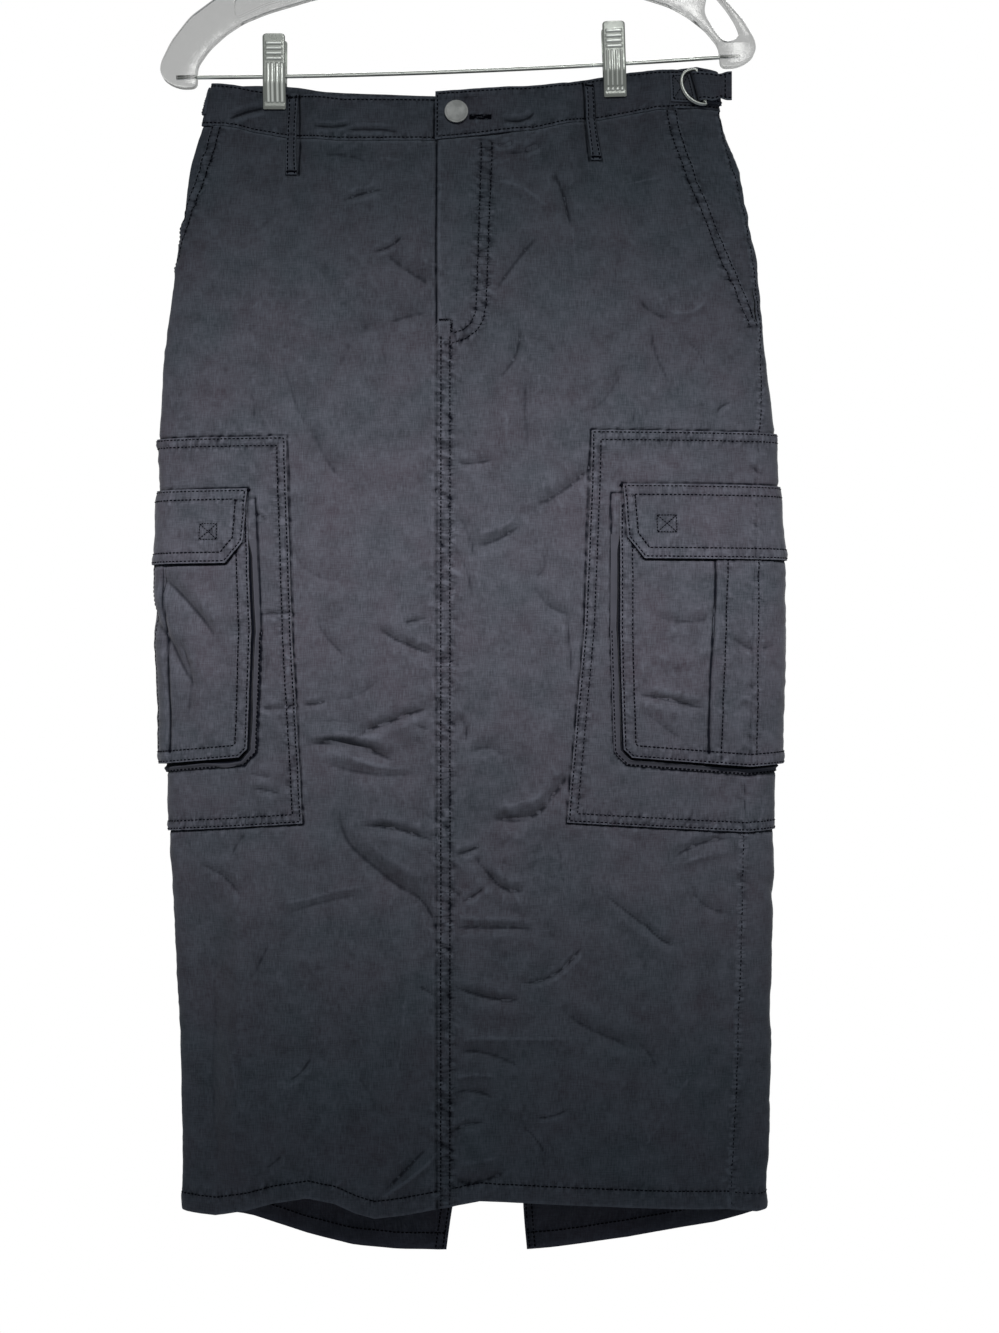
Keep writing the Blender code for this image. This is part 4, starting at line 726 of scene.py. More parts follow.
def from_line(line, s, z):
    """Signed distance to a line of points, and the length along it of the nearest place."""
    best = np.full(s.shape, 1e9)
    side, along = np.zeros(s.shape), np.zeros(s.shape)
    start = 0.0
    for (s0, z0), (s1, z1) in zip(line, line[1:]):
        length = math.hypot(s1 - s0, z1 - z0)
        if length < 1e-6:
            continue
        run = ((s1 - s0) / length, (z1 - z0) / length)
        t = (s - s0) * run[0] + (z - z0) * run[1]
        held = np.clip(t, 0, length)
        distance = np.hypot(s - s0 - held * run[0], z - z0 - held * run[1])
        nearer = distance < best
        turn = np.sign((s - s0) * run[1] - (z - z0) * run[0])
        best = np.where(nearer, distance, best)
        side = np.where(nearer, turn, side)
        along = np.where(nearer, start + t, along)
        start += length
    return best * np.where(side == 0, 1, side), along, start


def crease_height(row, distance, along, length, seed):
    """The height that a crease adds at a signed distance from it, fading at its ends."""
    width = row["half_width"]
    wander = value_noise(along / 24, np.zeros_like(along) + seed, 11)
    distance = distance + 0.25 * width * wander
    share = along / length
    fade = ease(share, -0.08, 0.28) * (1 - ease(share, 0.72, 1.08))
    fade = fade * (0.9 + 0.2 * value_noise(along / 14, np.zeros_like(along) + seed + 0.5, 12))
    d = distance / width
    if row["kind"] == "trough":
        shape = -np.exp(-1.5 * (np.sqrt(d**2 + 0.02) - 0.14)) + 0.25 * np.exp(-((np.abs(d) - 1.8) ** 2))
    elif row["kind"] == "ridge":
        shape = np.exp(-1.6 * (np.sqrt(d**2 + 0.05) - 0.22))
    elif row["kind"] == "roll":
        shape = -np.exp(-1.5 * (np.sqrt(d**2 + 0.03) - 0.17))
        shape = shape + 0.5 * np.exp(-(((d + 1.9) / 1.3) ** 2)) + 0.25 * np.exp(-(((d - 2) / 1.2) ** 2))
    elif row["kind"] == "facet":
        shape = np.exp(-np.sqrt(d**2 + 0.02) * np.where(d > 0, 0.8, 1.5))
    else:
        shape = np.exp(-np.sqrt((1.4 * d) ** 2 + 0.03))
    return CREASE_GAIN * row["height"] * fade * shape


def back_copy(row):
    """A similar crease for the hidden back, or None where it would leave the cloth."""
    spec = BACK_CREASES
    if max(abs(row["s0"]), abs(row["s2"])) > spec["reach"]:
        return None
    made = dict(row, height=row["height"] * spec["share"])
    to_left = row["s1"] < spec["shift"]
    for i in range(3):
        from_back = spec["shift"] - row[f"s{i}"]
        made[f"s{i}"] = spec["half"] - from_back if to_left else -spec["half"] - from_back
        made[f"z{i}"] = row[f"z{i}"] - spec["drop"]
        if not spec["bottom"] < made[f"z{i}"] < spec["top"]:
            return None
    return made


def add_creases(relief):
    rows = named_rows(CREASE_COLUMNS, BAND_CREASES + FRONT_CREASES)
    copies = [copy for copy in map(back_copy, rows) if copy]
    rows += named_rows(CREASE_COLUMNS, BAND_CREASES + SIDE_CREASES) + copies
    for seed, row in enumerate(rows):
        row = dict(row, half_width=CREASE_NARROWING * row["half_width"])
        line = bent_line(row)
        window, s, z = relief_window(line, CREASE_REACH * row["half_width"])
        distance, along, length = from_line(line, s, z)
        relief[window] += crease_height(row, distance, along, length, seed * 3)


def crumple():
    """The small uneven waves that wearing leaves all over the cloth."""
    z, s = np.meshgrid(RELIEF_Z, RELIEF_S, indexing="ij")
    bend = value_noise(s / 60, z / 60, 1) * 14
    wide = 0.55 - np.abs(value_noise((s + bend) / 34, (z + bend) / 44, 2))
    middle = value_noise((s - bend) / 15, (z + bend) / 19, 3)
    small = 0.5 - np.abs(value_noise((s + 0.5 * z) / 9, (z - 0.4 * s) / 11, 4))
    tiny = 0.5 - np.abs(value_noise((s - 0.3 * z) / 5, (z + 0.5 * s) / 6, 8))
    fine = value_noise(s / 3.4, z / 4.2, 5)
    grain = value_noise(s / 2.4, z / 26, 7)
    calm = 0.55 + 0.45 * value_noise(s / 70, z / 70, 6)
    return (0.9 * wide + 0.85 * middle + 0.78 * small + 0.36 * tiny) * calm + 0.13 * fine + 0.09 * grain


def add_seams(relief, seamed):
    """Each line of stitches sinks into the cloth, and the cloth beside it puckers.

    seamed tells where, for each layer: above 0 beside upright seams, below 0 beside level ones.
    """
    for number, seam in enumerate(stitch_lines()):
        if not seam["sinks"]:
            continue
        q, z = np.array(seam["line"], float).T
        line = np.stack([s_of(q, z), z], axis=1)
        window, s, z = relief_window(line, SEAM_REACH)
        distance, along, length = from_line(line, s, z)
        near = (along > -2) & (along < length + 2)
        sink = -SEAM_SINK * np.exp(-((distance / SEAM_SINK_HALF_WIDTH) ** 2))
        ripple = value_noise(along / 3.6 + distance / 7, distance / 9 + 7 * number, 21)
        ripple = ripple + 0.7 * value_noise(along / 7.5 - distance / 11, distance / 12 + 5 * number, 22)
        pucker = PUCKER_GAIN * seam["pucker"] * ripple * np.exp(-((distance / PUCKER_HALF_WIDTH) ** 2))
        relief[window] += np.where(near, sink + pucker, 0)
        upright = np.abs(np.gradient(along, axis=0)) > np.abs(np.gradient(along, axis=1))
        most = min(1, SEAMED_GAIN * seam["pucker"] + SEAMED_LEAST)
        share = most * np.where(near, np.exp(-((distance / SEAMED_HALF_WIDTH) ** 2)), 0)
        known = seamed[layer_of(seam["node"])][window]
        known[...] = np.where(np.abs(known) < share, np.where(upright, share, -share), known)


def build_relief():
    relief = np.zeros((len(RELIEF_Z), len(RELIEF_S)))
    seamed = {layer: np.zeros_like(relief) for layer in (None, *GROOVED.values())}
    add_creases(relief)
    relief += crumple() * band_calm()
    add_seams(relief, seamed)
    return relief, seamed


def band_calm():
    """The waistband crumples less than the rest, and hardly at all under the clips."""
    z, s = np.meshgrid(RELIEF_Z, RELIEF_S, indexing="ij")
    calm = 1 - 0.45 * ease(z, -262, -240)
    for clip in CLIP_S:
        under = np.exp(-(((s - clip) / 17) ** 4)) * ease(z, -262, -240)
        calm = calm * (1 - 0.9 * under)
    return calm


def relief_at(q, z, raster=None):
    """The relief's height at (q, z), which fades towards the seam at the centre back."""
    raster = RELIEF if raster is None else raster
    q, z = wrapped(np.asarray(q, float)), np.asarray(z, float)
    height = between(raster, (z - RELIEF_Z[0]) / RELIEF_STEP, (s_of(q, z) - RELIEF_S[0]) / RELIEF_STEP)
    return height * ease(2 - np.abs(q), 0, RELIEF_FADE_Q)


def build_grooves():
    """For each layer, how the cloth sinks along the edges of what is sewn on it."""
    grooves = {}
    for layer, lines in groove_lines().items():
        raster = np.zeros_like(RELIEF)
        for line in lines:
            q, z = np.array(line, float).T
            line = np.stack([s_of(q, z), z], axis=1)
            window, s, z = relief_window(line, 4 * GROOVE_HALF_WIDTH)
            distance, along, length = from_line(line, s, z)
            near = (along > -1) & (along < length + 1)
            sink = np.where(near, -GROOVE_DEPTH * np.exp(-((distance / GROOVE_HALF_WIDTH) ** 2)), 0)
            raster[window] = np.minimum(raster[window], sink)
        grooves[layer] = raster
    return grooves


def softened(raster, rounds):
    """A raster blurred along both axes, as many times as told."""
    for axis in (0, 1) * rounds:
        raster = (np.roll(raster, 1, axis) + 2 * raster + np.roll(raster, -1, axis)) / 4
    return raster


def curvature(raster):
    """How far each place of a raster lies below its neighbours."""
    return sum(np.roll(raster, 1, axis) + np.roll(raster, -1, axis) for axis in (0, 1)) - 4 * raster


def cavities(grooves):
    """For each layer, a cavity map: ridges paler (above 0), partly from rubbing and partly as painted
    highlight, and valleys and grooves darker (below 0) as painted shade.
    """
    made = {}
    for layer in (None, *grooves):
        soft = softened(RELIEF + (0 if layer is None else grooves[layer]), 1)
        wide = np.tanh(-HOLLOW_GAIN * curvature(softened(soft, HOLLOW_ROUNDS)))
        made[layer] = np.tanh(-CAVITY_GAIN * curvature(soft)) + wide * np.where(wide > 0, *HOLLOW_SHARES)
        # The grooves along sewn edges are painted darker as well: painted shade.
        if layer is not None:
            made[layer] += GROOVE_PAINTED_SHADE / GROOVE_DEPTH * grooves[layer]
    return made


def layer_of(node):
    return next((layer for prefix, layer in GROOVED.items() if node.startswith(prefix)), None)


def groove_at(node, q, z):
    layer = layer_of(node)
    return relief_at(q, z, GROOVES[layer]) if layer else 0


# Cloth shells.
EDGE_CELL = 0.7
CORNER_TURN = 12
EDGE_ROLL = 0.4
FOLD_RISE = 0.45
FOLD_WIDTH = 7.5
STRIP_RISE = 0.55
STRIP_ENDS = (9.5, 12.5)
HEM_WIDTH = 12.5
STRIP_TOP = (-400, -384)
HEM_RISE = 0.25
HEM_EDGE = 1.2
MOUTH_RISE = 0.3
MOUTH_RISE_ENDS = (8, 10)
MOUTH_RISE_FADE = 8
BACK_SEAM_RISE = 0.3
BACK_SEAM_ENDS = (9, 11)
WEAR_REACH = 1.7
SEAM_MEET = -0.1
PLEAT_ZONE = 5
PLEAT_CELL = 0.6
INNER_STEP = 3
BAND_CELL_SHARE = 0.85
POCKET_CELL_SHARE = 0.92
FLAP_CELL_SHARE = 0.8
TAB_CELL = 1.4
LOOP_CELL = 1.2
ZIP_CELL = 3.0
POCKET_FOLDS = {"left": 9, "right": 9, "bottom": 9, "top": 12}
FLAP_TOP_FOLD = 8.5


def clip_lengths():
    """The lengths s at which the clips hold the band, in front and behind."""
    ring = FORM_POINTS[np.searchsorted(FORM_Z, PINCH_FULL_ABOVE)]
    made = []
    for clip in CLIP_X.values():
        for i in np.nonzero(np.diff(np.sign(ring[:, 0] - clip)))[0]:
            made.append(float(s_of(np.array([FORM_Q[i]]), np.array([-228.0]))[0]))
    return made


CLIP_S = clip_lengths()


def shares(length, cell, zones=()):
    """Where grid lines fall along a side, as shares of it: closer at both ends and in the zones."""
    spots = {0.0, length, EDGE_CELL, length - EDGE_CELL}
    spots |= set(np.linspace(EDGE_CELL, length - EDGE_CELL, max(2, round(length / cell))))
    spots = sorted(spots)
    for start, end, close in zones:
        start, end = max(start, EDGE_CELL), min(end, length - EDGE_CELL)
        spots = [spot for spot in spots if not start - close / 2 < spot < end + close / 2]
        spots += list(np.linspace(start, end, max(2, round((end - start) / close))))
    spots = np.array(sorted(spots))
    kept = np.concatenate([[True], np.diff(spots) > 0.2])
    kept[-1] = True
    return spots[kept] / length


def along(line, wanted):
    """Points of a pattern line at these shares of its length, its sharp corners kept."""
    line = np.array(line, float)
    flat = line * (PATTERN_WIDTH, 1)
    runs = np.diff(flat, axis=0)
    reach = np.concatenate([[0], np.cumsum(np.linalg.norm(runs, axis=1))])
    reach /= reach[-1]
    heading = np.unwrap(np.arctan2(runs[:, 1], runs[:, 0]))
    wanted = np.array(wanted, float)
    for i, turn in enumerate(np.abs(np.diff(heading)), 1):
        if math.degrees(turn) > CORNER_TURN:
            wanted[1 + np.argmin(np.abs(wanted[1:-1] - reach[i]))] = reach[i]
    return np.stack([np.interp(wanted, reach, line[:, k]) for k in (0, 1)], axis=1)


def ruled(sides, u, v):
    """Points (q, z) of a four-sided piece at the shares u across and v up."""
    bottom, right, top, left = sides
    low, high = along(bottom, u)[None], along(top, u)[None]
    west, east = along(left, v)[:, None], along(right, v)[:, None]
    u, v = u[None, :, None], v[:, None, None]
    corners = (1 - u) * (1 - v) * low[:, :1] + u * (1 - v) * low[:, -1:]
    corners = corners + (1 - u) * v * high[:, :1] + u * v * high[:, -1:]
    return (1 - v) * low + v * high + (1 - u) * west + u * east - corners


def walked(points, axis):
    """Millimetres walked over the pattern along an axis, from each end."""
    flat = points * (PATTERN_WIDTH, 1)
    steps = np.linalg.norm(np.diff(flat, axis=axis), axis=2)
    pad = [(0, 0), (0, 0)]
    pad[axis] = (1, 0)
    from_start = np.cumsum(np.pad(steps, pad), axis=axis)
    last = np.take(from_start, [-1], axis=axis)
    return from_start, last - from_start


def edge_distances(points):
    """How far each grid point lies from the left, right, bottom and top edges."""
    left, right = walked(points, 1)
    bottom, top = walked(points, 0)
    return {"left": left, "right": right, "bottom": bottom, "top": top}


def side_length(line):
    flat = np.array(line, float) * (PATTERN_WIDTH, 1)
    return float(np.linalg.norm(np.diff(flat, axis=0), axis=1).sum())


def shell(node, sides, cell, folds=None, zones_across=(), zones_up=(), extra=None, finish="cloth"):
    """A cloth node's look: a closed thin shell over the node's own place on the form.

    folds gives the width of the turned cloth along each edge, which lies a little higher.
    """
    inner, outer, lift = LAYERS[node]
    width = max(side_length(sides[0]), side_length(sides[2]))
    height = max(side_length(sides[1]), side_length(sides[3]))
    points = ruled(sides, shares(width, cell, zones_across), shares(height, cell, zones_up))
    q, z = points[..., 0], points[..., 1]
    s = s_of(q, z)
    near = edge_distances(points)
    rise = (lift(s, z) if lift else 0) + relief_at(q, z)
    above = np.zeros_like(q)
    for edge, reach in (folds or {}).items():
        above = np.maximum(above, FOLD_RISE * (1 - ease(near[edge], reach - 1, reach + 1)))
    if extra:
        above = above + extra(s, z, near)
    closest = np.minimum.reduce(list(near.values()))
    roll = EDGE_ROLL * np.exp(-((closest / EDGE_CELL) ** 2))
    outside = on_form(q, z, outer + rise + above - roll + groove_at(node, q, z))
    inside = on_form(q, z, inner + rise)
    # Rubbed edges, plus the cavity map: painted shade in valleys and grooves, and ridges paler from rubbing
    # and as painted highlight.
    wear = np.exp(-closest / WEAR_REACH) + relief_at(q, z, CAVITIES[layer_of(node)])
    seamed = relief_at(q, z, SEAMED[layer_of(node)])
    made = closed_grid(f"look_{node}", outside, inside, s, z, wear, INNER_STEP, seamed)
    finish_piece(made, finish, node)


def rim_faces(fine, coarse, kept_rows, kept_columns):
    """Faces between the borders of a fine outer grid and of a coarser inner one."""
    last_row, last_column = fine.shape[0] - 1, fine.shape[1] - 1
    faces = []

    def walk(fine_line, coarse_line, kept, backward):
        pairs = list(zip(kept, kept[1:], coarse_line, coarse_line[1:]))
        for a, b, inner_a, inner_b in pairs:
            run = fine_line[a:b + 1].tolist()
            faces.append([*run, inner_b, inner_a] if backward else [*run[::-1], inner_a, inner_b])

    walk(fine[0], coarse[0].tolist(), kept_columns, False)
    walk(fine[:, last_column], coarse[:, -1].tolist(), kept_rows, False)
    walk(fine[last_row], coarse[-1].tolist(), kept_columns, True)
    walk(fine[:, 0], coarse[:, 0].tolist(), kept_rows, True)
    return faces


def grid_quads(index):
    corner = index[:-1, :-1], index[:-1, 1:], index[1:, 1:], index[1:, :-1]
    return np.stack([c.ravel() for c in corner], axis=1)


def closed_grid(name, outside, inside, s, z, wear, coarse=1, seamed=None):
    """One closed mesh from an outer and an inner grid of points, with its pattern as its UV map.

    The hidden inner face keeps every coarse-th row and column.
    """
    rows, columns = s.shape
    kept_rows = sorted({*range(0, rows, coarse), rows - 1})
    kept_columns = sorted({*range(0, columns, coarse), columns - 1})
    kept = np.ix_(kept_rows, kept_columns)
    count = rows * columns
    fine = np.arange(count).reshape(rows, columns)
    inner = count + np.arange(len(kept_rows) * len(kept_columns)).reshape(len(kept_rows), -1)
    faces = grid_quads(fine).tolist() + grid_quads(inner)[:, ::-1].tolist()
    faces += rim_faces(fine, inner, kept_rows, kept_columns)
    points = np.concatenate([outside.reshape(-1, 3), inside[kept].reshape(-1, 3)])
    made = add_mesh(name, points, faces)
    mesh = made.data
    uv = np.stack([np.concatenate([values.ravel(), values[kept].ravel()]) for values in (s, z)], axis=1) * MM
    corners = np.empty(len(mesh.loops), int)
    mesh.loops.foreach_get("vertex_index", corners)
    mesh.uv_layers.new(name="pattern").data.foreach_set("uv", uv[corners].ravel())
    for attribute, grid in (("wear", wear), ("seamed", seamed)):
        if grid is not None:
            values = np.concatenate([grid.ravel(), grid[kept].ravel()])
            mesh.attributes.new(attribute, "FLOAT", "POINT").data.foreach_set("value", values)
    return made


def add_mesh(name, points, faces, smooth_angle=50):
    """An object of these points, in millimetres, and faces."""
    mesh = bpy.data.meshes.new(name)
    points = np.asarray(points, float) * MM
    faces = [[int(i) for i in face] for face in faces] if isinstance(faces, list) else faces.tolist()
    mesh.from_pydata(points.tolist(), [], faces)
    mesh.shade_smooth()
    mesh.set_sharp_from_angle(angle=math.radians(smooth_angle))
    obj = bpy.data.objects.new(name, mesh)
    bpy.context.scene.collection.objects.link(obj)
    return obj


def finish_piece(obj, finish, *nodes, slot=None):
    """Gives a piece its material and body, and hides the nodes it stands for; its slot is not used."""
    obj.data.materials.clear()
    obj.data.materials.append(MATERIALS[finish]())
    if nodes:
        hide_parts(*nodes)
    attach(obj, BODY)


def at(s, z):
    """A pattern point, from a length and a level."""
    return q_of(s, z), z


def placed(points, side=1):
    """Pattern points from lengths and levels given for the left."""
    return [at(side * s, z) for s, z in points]


def joined(low, top):
    """The four sides between a lower and an upper line."""
    return low, [low[-1], top[-1]], top, [low[0], top[0]]


def through_rows(top, bottom):
    """Levels strictly between two heights, from the top down."""
    return [z for z in sorted({*ROWS, MOUTH_END}, reverse=True) if bottom + 1 < z < top - 1]


def seam_length(z, inset):
    return float(through(z, SIDE_SEAM, SIDE_SEAM_COLUMNS, "s")) + inset


def seam_line(bottom, top, side, inset):
    """The side seam from bottom to top, moved back by inset along the cloth."""
    heights = [bottom, *reversed(through_rows(top, bottom)), top]
    return [at(side * seam_length(z, inset), z) for z in heights]


def hem_level(q):
    return float(through(q, HEM, HEM_COLUMNS, "z"))


def hem_at_seam(side, inset):
    z = HEM_LEVEL
    for _ in range(3):
        z = hem_level(q_of(side * seam_length(z, inset), z))
    return z


def waist_level(side, rows, length_at):
    """The level where a line down the cloth meets the waist seam."""
    z = WAIST_LEVEL
    for _ in range(3):
        z = float(through(q_of(side * length_at(z), z), rows, BAND_COLUMNS, "seam"))
    return z - SEAM_GAP / 2


def across(rows, columns, wanted, start, end, shift=0.0):
    """A table's edge as pattern points between two q, in the order given, moved up by shift."""
    inside = [row[0] for row in rows if min(start, end) < row[0] < max(start, end)]
    places = sorted([start, *inside, end], reverse=start > end)
    return [(q, float(through(q, rows, columns, wanted)) + shift) for q in places]


def band_seam(rows, start, end, shift=0.0):
    return across(rows, BAND_COLUMNS, "seam", start, end, shift - SEAM_GAP / 2)


def hem_line(start, end, shift=0.0):
    return across(HEM, HEM_COLUMNS, "z", start, end, shift)


def mouth_length(z, side):
    shift = MOUTH_SHIFT[side] * ease(z, MOUTH_END, MOUTH_END + MOUTH_SHIFT_FADE)
    return through(z, MOUTH, MOUTH_COLUMNS, "s") - shift


def mouth_line(side, rows, inset=0.0):
    """The mouth's edge from its lower end up to the waist seam, moved forward by inset."""
    top = waist_level(side, rows, lambda z: float(mouth_length(z, side)) - inset)
    heights = [MOUTH_END, *reversed(through_rows(top, MOUTH_END)), top]
    return [at(side * (float(mouth_length(z, side)) - inset), z) for z in heights]


def fly_lift(s, z):
    return FLY_LIFT * (1 - ease(s, *FLY_LIFT_ENDS_S)) * ease(z, *FLY_LIFT_ENDS_Z)


def band_lift(s, z):
    return BAND_LIFT * (1 - ease(s, *BAND_LIFT_ENDS)) * np.ones_like(z)


def facing_drop(side):
    """How far the facing lies under the panel: at the mouth its cloth, at the side seam nothing."""

    def drop(s, z):
        return -FACING_DROP * (1 - ease(side * s - mouth_length(z, side), *FACING_RAMP))

    return drop


def pocket_open(z, flap_top_z):
    """0 where the pocket's mouth lies on the patch, 1 where its bellows stands open."""
    return 1 - ease(z, flap_top_z - POCKET_FULL, flap_top_z - POCKET_TOP)


def pocket_rise(side_name, side):
    """The pocket front's lift over its mouth: the bellows and the box pleat's raised middle."""
    pleat, top_z = table(PLEAT_COLUMNS, PLEAT), cargo_sizes(side_name)["flap_top_z"]

    def rise(s, z):
        length = side * s
        front = np.interp(z, pleat["z"], pleat["front_edge"])
        back = np.interp(z, pleat["z"], pleat["back_edge"])
        raised = np.clip((length - front) / (2 * PLEAT_STEP) + 0.5, 0, 1)
        raised = raised * np.clip((back - length) / (2 * PLEAT_STEP) + 0.5, 0, 1)
        return pocket_open(z, top_z) * (POCKET_OUT_FULL - POCKET_OUT_TOP + PLEAT_RAISE * raised)

    return rise


def flap_rise(side_name):
    top_z = cargo_sizes(side_name)["flap_top_z"]

    def rise(s, z):
        over_mouth = (CLOTH + SEAM_GAP) * (1 - ease(z, top_z - POCKET_TOP + 1, top_z - 2))
        bellows = POCKET_OUT_FULL - POCKET_OUT_TOP + PLEAT_RAISE
        return over_mouth + bellows * pocket_open(z, top_z)

    return rise


def loop_bow(loop):
    """The loop stands a little proud in its middle."""
    top, bottom = loop["z_top"], loop["z_bottom"]

    def bow(s, z):
        return LOOP_BOW * np.sin(np.pi * np.clip((top - z) / (top - bottom), 0, 1))

    return bow


def cargo_sizes(side_name):
    return dict(zip(CARGO_COLUMNS, CARGO[side_name]))


def build_layers():
    """For each cloth node: its inner face, its outer face and its lift, all out from the form."""
    layers = {
        "front_left_panel": (-0.4, 0.6, fly_lift),
        "front_right_panel": (-0.4, 0.6, None),
        "back_left_panel": (-0.4, 0.6, None),
        "back_right_panel": (-0.4, 0.6, None),
        "waistband_left": (-1.1, 1.1, band_lift),
        "waistband_right": (-1.1, 1.1, None),
    }
    for side_name, side in SIDES:
        layers[f"hip_facing_{side_name}"] = (-0.4, 0.6, facing_drop(side))
        layers[f"cargo_patch_{side_name}"] = (1.0, 2.1, None)
        layers[f"pocket_front_{side_name}"] = (2.5, 3.6, pocket_rise(side_name, side))
        layers[f"pocket_flap_{side_name}"] = (2.5, 3.6, flap_rise(side_name))
        layers[f"adjuster_tab_{side_name}"] = (1.5, 3.1, None)
    layers["fly_zip"] = (-2.5, -1.5, None)
    for loop in named_rows(LOOP_COLUMNS, LOOPS):
        layers[loop["name"]] = (1.7, 3.2, loop_bow(loop))
    return layers


LAYERS = build_layers()


def surface(node, q, z, above=0.0):
    """Points on a node's outer face."""
    _, outer, lift = LAYERS[node]
    rise = (lift(s_of(q, z), z) if lift else 0) + relief_at(q, z)
    return on_form(q, z, outer + rise + above)


def sided(bottom, right, top, left, side):
    """Four sides as they run on the wearer's left, put in order for the given side."""
    return (bottom, right, top, left) if side > 0 else (bottom[::-1], left, top[::-1], right)


def front_sides(side):
    rows = BANDS[side]
    centre_q = q_of(side * SEAM_MEET, FLY_END)
    edge_s = FLY_EDGE if side > 0 else FLY_LAP
    mouth = mouth_line(side, rows)
    seam = seam_line(hem_at_seam(side, -SEAM_MEET), MOUTH_END, side, -SEAM_MEET)
    waist = band_seam(rows, q_of(edge_s, WAIST_LEVEL), mouth[-1][0])
    hem = hem_line(centre_q, seam[0][0])
    centre = [hem[0], (centre_q, FLY_END), at(edge_s, FLY_END + FLY_STEP), waist[0]]
    return sided(hem, [*seam, *mouth[1:]], waist, centre, side)


def back_sides(side_name, side):
    rows = BANDS[side]
    centre_q = side * (2 - SEAM_MEET / LONG_QUARTER)
    top = waist_level(side, rows, lambda z: seam_length(z, SEAM_MEET))
    seam = seam_line(hem_at_seam(side, SEAM_MEET), top, side, SEAM_MEET)
    waist = band_seam(rows, seam[-1][0], centre_q)
    hem = hem_line(seam[0][0], VENT_Q[side_name])
    return sided(hem, [hem[-1], (centre_q, VENT_TOP), waist[-1]], waist, seam, side)


def facing_sides(side):
    rows = BANDS[side]
    top = waist_level(side, rows, lambda z: seam_length(z, -SEAM_MEET))
    seam = seam_line(FACING_END, top, side, -SEAM_MEET)
    edge = mouth_line(side, rows, FACING_UNDERLAP)
    edge[0] = at(side * (float(mouth_length(MOUTH_END, side)) - FACING_UNDERLAP), FACING_END)
    waist = band_seam(rows, edge[-1][0], seam[-1][0])
    return sided([edge[0], seam[0]], seam, waist, edge, side)


def band_ends(side_name):
    if side_name == "right":
        return -2 + SEAM_MEET / LONG_QUARTER, at(BAND_UNDERLAP, BAND_END_Z)[0]
    return at(-BAND_OVERLAP, BAND_END_Z)[0], 2 - SEAM_MEET / LONG_QUARTER


def band_sides(side_name, side):
    start, end = band_ends(side_name)
    low = band_seam(BANDS[side], start, end, SEAM_GAP)
    top = across(BANDS[side], BAND_COLUMNS, "top", start, end)
    return joined(low, top)


def mirrored(bottom, right, top, left, side):
    """Four sides given by lengths and levels on the left, put on their side of the skirt."""
    return sided(*(placed(line, side) for line in (bottom, right, top, left)), side)


def back_of(s):
    """The same distance behind the middle of the cargo patch."""
    return 2 * CARGO_MIDDLE - s


def cargo_front(kind, size):
    """Points up a cargo piece's front edge, a cut corner's low end first, and its middle if it sags."""
    flap_top = size["flap_top_z"]
    if kind == "flap":
        low_z = flap_top - FLAP_LENGTH
        corner = [(size["flap_chamfer"], low_z), (size["flap_low"], low_z + FLAP_CHAMFER)]
        return [*corner, (size["flap_top"], flap_top)], []
    top_z = flap_top - POCKET_TOP if kind == "pocket" else size["patch_top_z"]
    low_z = size[f"{kind}_bottom_z"]
    upper = [(size[f"{kind}_middle"], (top_z + low_z) / 2), (size[f"{kind}_top"], top_z)]
    if kind == "patch":
        return [(size["patch_bottom"], low_z), *upper], [(CARGO_MIDDLE, low_z - PATCH_DROP)]
    low = size["pocket_low"]
    corner = [(low + POCKET_CORNER, low_z), (low, low_z + POCKET_CORNER)]
    return [*corner, *upper], [(CARGO_MIDDLE, low_z - POCKET_DROP)]


def cargo_outline(kind, size):
    """A cargo piece's outline, anticlockwise on the wearer's left."""
    front, sag = cargo_front(kind, size)
    return [front[0], *sag, *((back_of(s), z) for s, z in front), *reversed(front[1:])]


def cargo_piece_sides(kind, side_name, side):
    """A cargo piece's four sides: cut corners belong to the lower one."""
    front, sag = cargo_front(kind, cargo_sizes(side_name))
    back = [(back_of(s), z) for s, z in front]
    first = 0 if kind == "patch" else 1
    low = [*front[first::-1], *sag, *back[:first + 1]]
    return mirrored(low, back[first:], [front[-1], back[-1]], front[first:], side)


def loop_sides(loop):
    ends = []
    for q, z in ((loop["q_bottom"], loop["z_bottom"]), (loop["q_top"], loop["z_top"])):
        half = LOOP_HALF_WIDTH / (LONG_QUARTER if q > 0 else SHORT_QUARTER)
        ends.append([(q - half, z), (q + half, z)])
    return joined(*ends)


def tab_corners(side_name):
    z, half = ADJUSTER_Z[side_name], ADJUSTER_HALF_HEIGHT
    low = [(TAB_S[0], z - half), (TAB_S[1] + TAB_LEAN, z - half)]
    return [*low, (TAB_S[1] - TAB_LEAN, z + half), (TAB_S[0] - TAB_FLARE, z + half)]


def tab_sides(side_name, side):
    corners = tab_corners(side_name)
    return mirrored(*joined(corners[:2], corners[:1:-1]), side)


def hem_rise(near):
    """The turned-up hem lies a little higher."""
    return HEM_RISE * (1 - ease(near["bottom"], HEM_WIDTH - HEM_EDGE, HEM_WIDTH + HEM_EDGE))


def front_rise(side):
    """What stands proud on a front panel: the seam folded over to the left, the hem and the mouth."""
    mouth_edge = "right" if side > 0 else "left"

    def rise(s, z, near):
        felled = STRIP_RISE * (1 - ease(s, *STRIP_ENDS)) * (1 - ease(z, *STRIP_TOP)) if side > 0 else 0
        mouth = MOUTH_RISE * (1 - ease(near[mouth_edge], *MOUTH_RISE_ENDS))
        return felled + hem_rise(near) + mouth * ease(z, MOUTH_END, MOUTH_END + MOUTH_RISE_FADE)

    return rise


def back_rise(side):
    """What stands proud on a back panel: the hem, and on the left one the centre seam."""

    def rise(s, z, near):
        seam = BACK_SEAM_RISE * (1 - ease(near["right"], *BACK_SEAM_ENDS)) if side > 0 else 0
        return hem_rise(near) + seam

    return rise


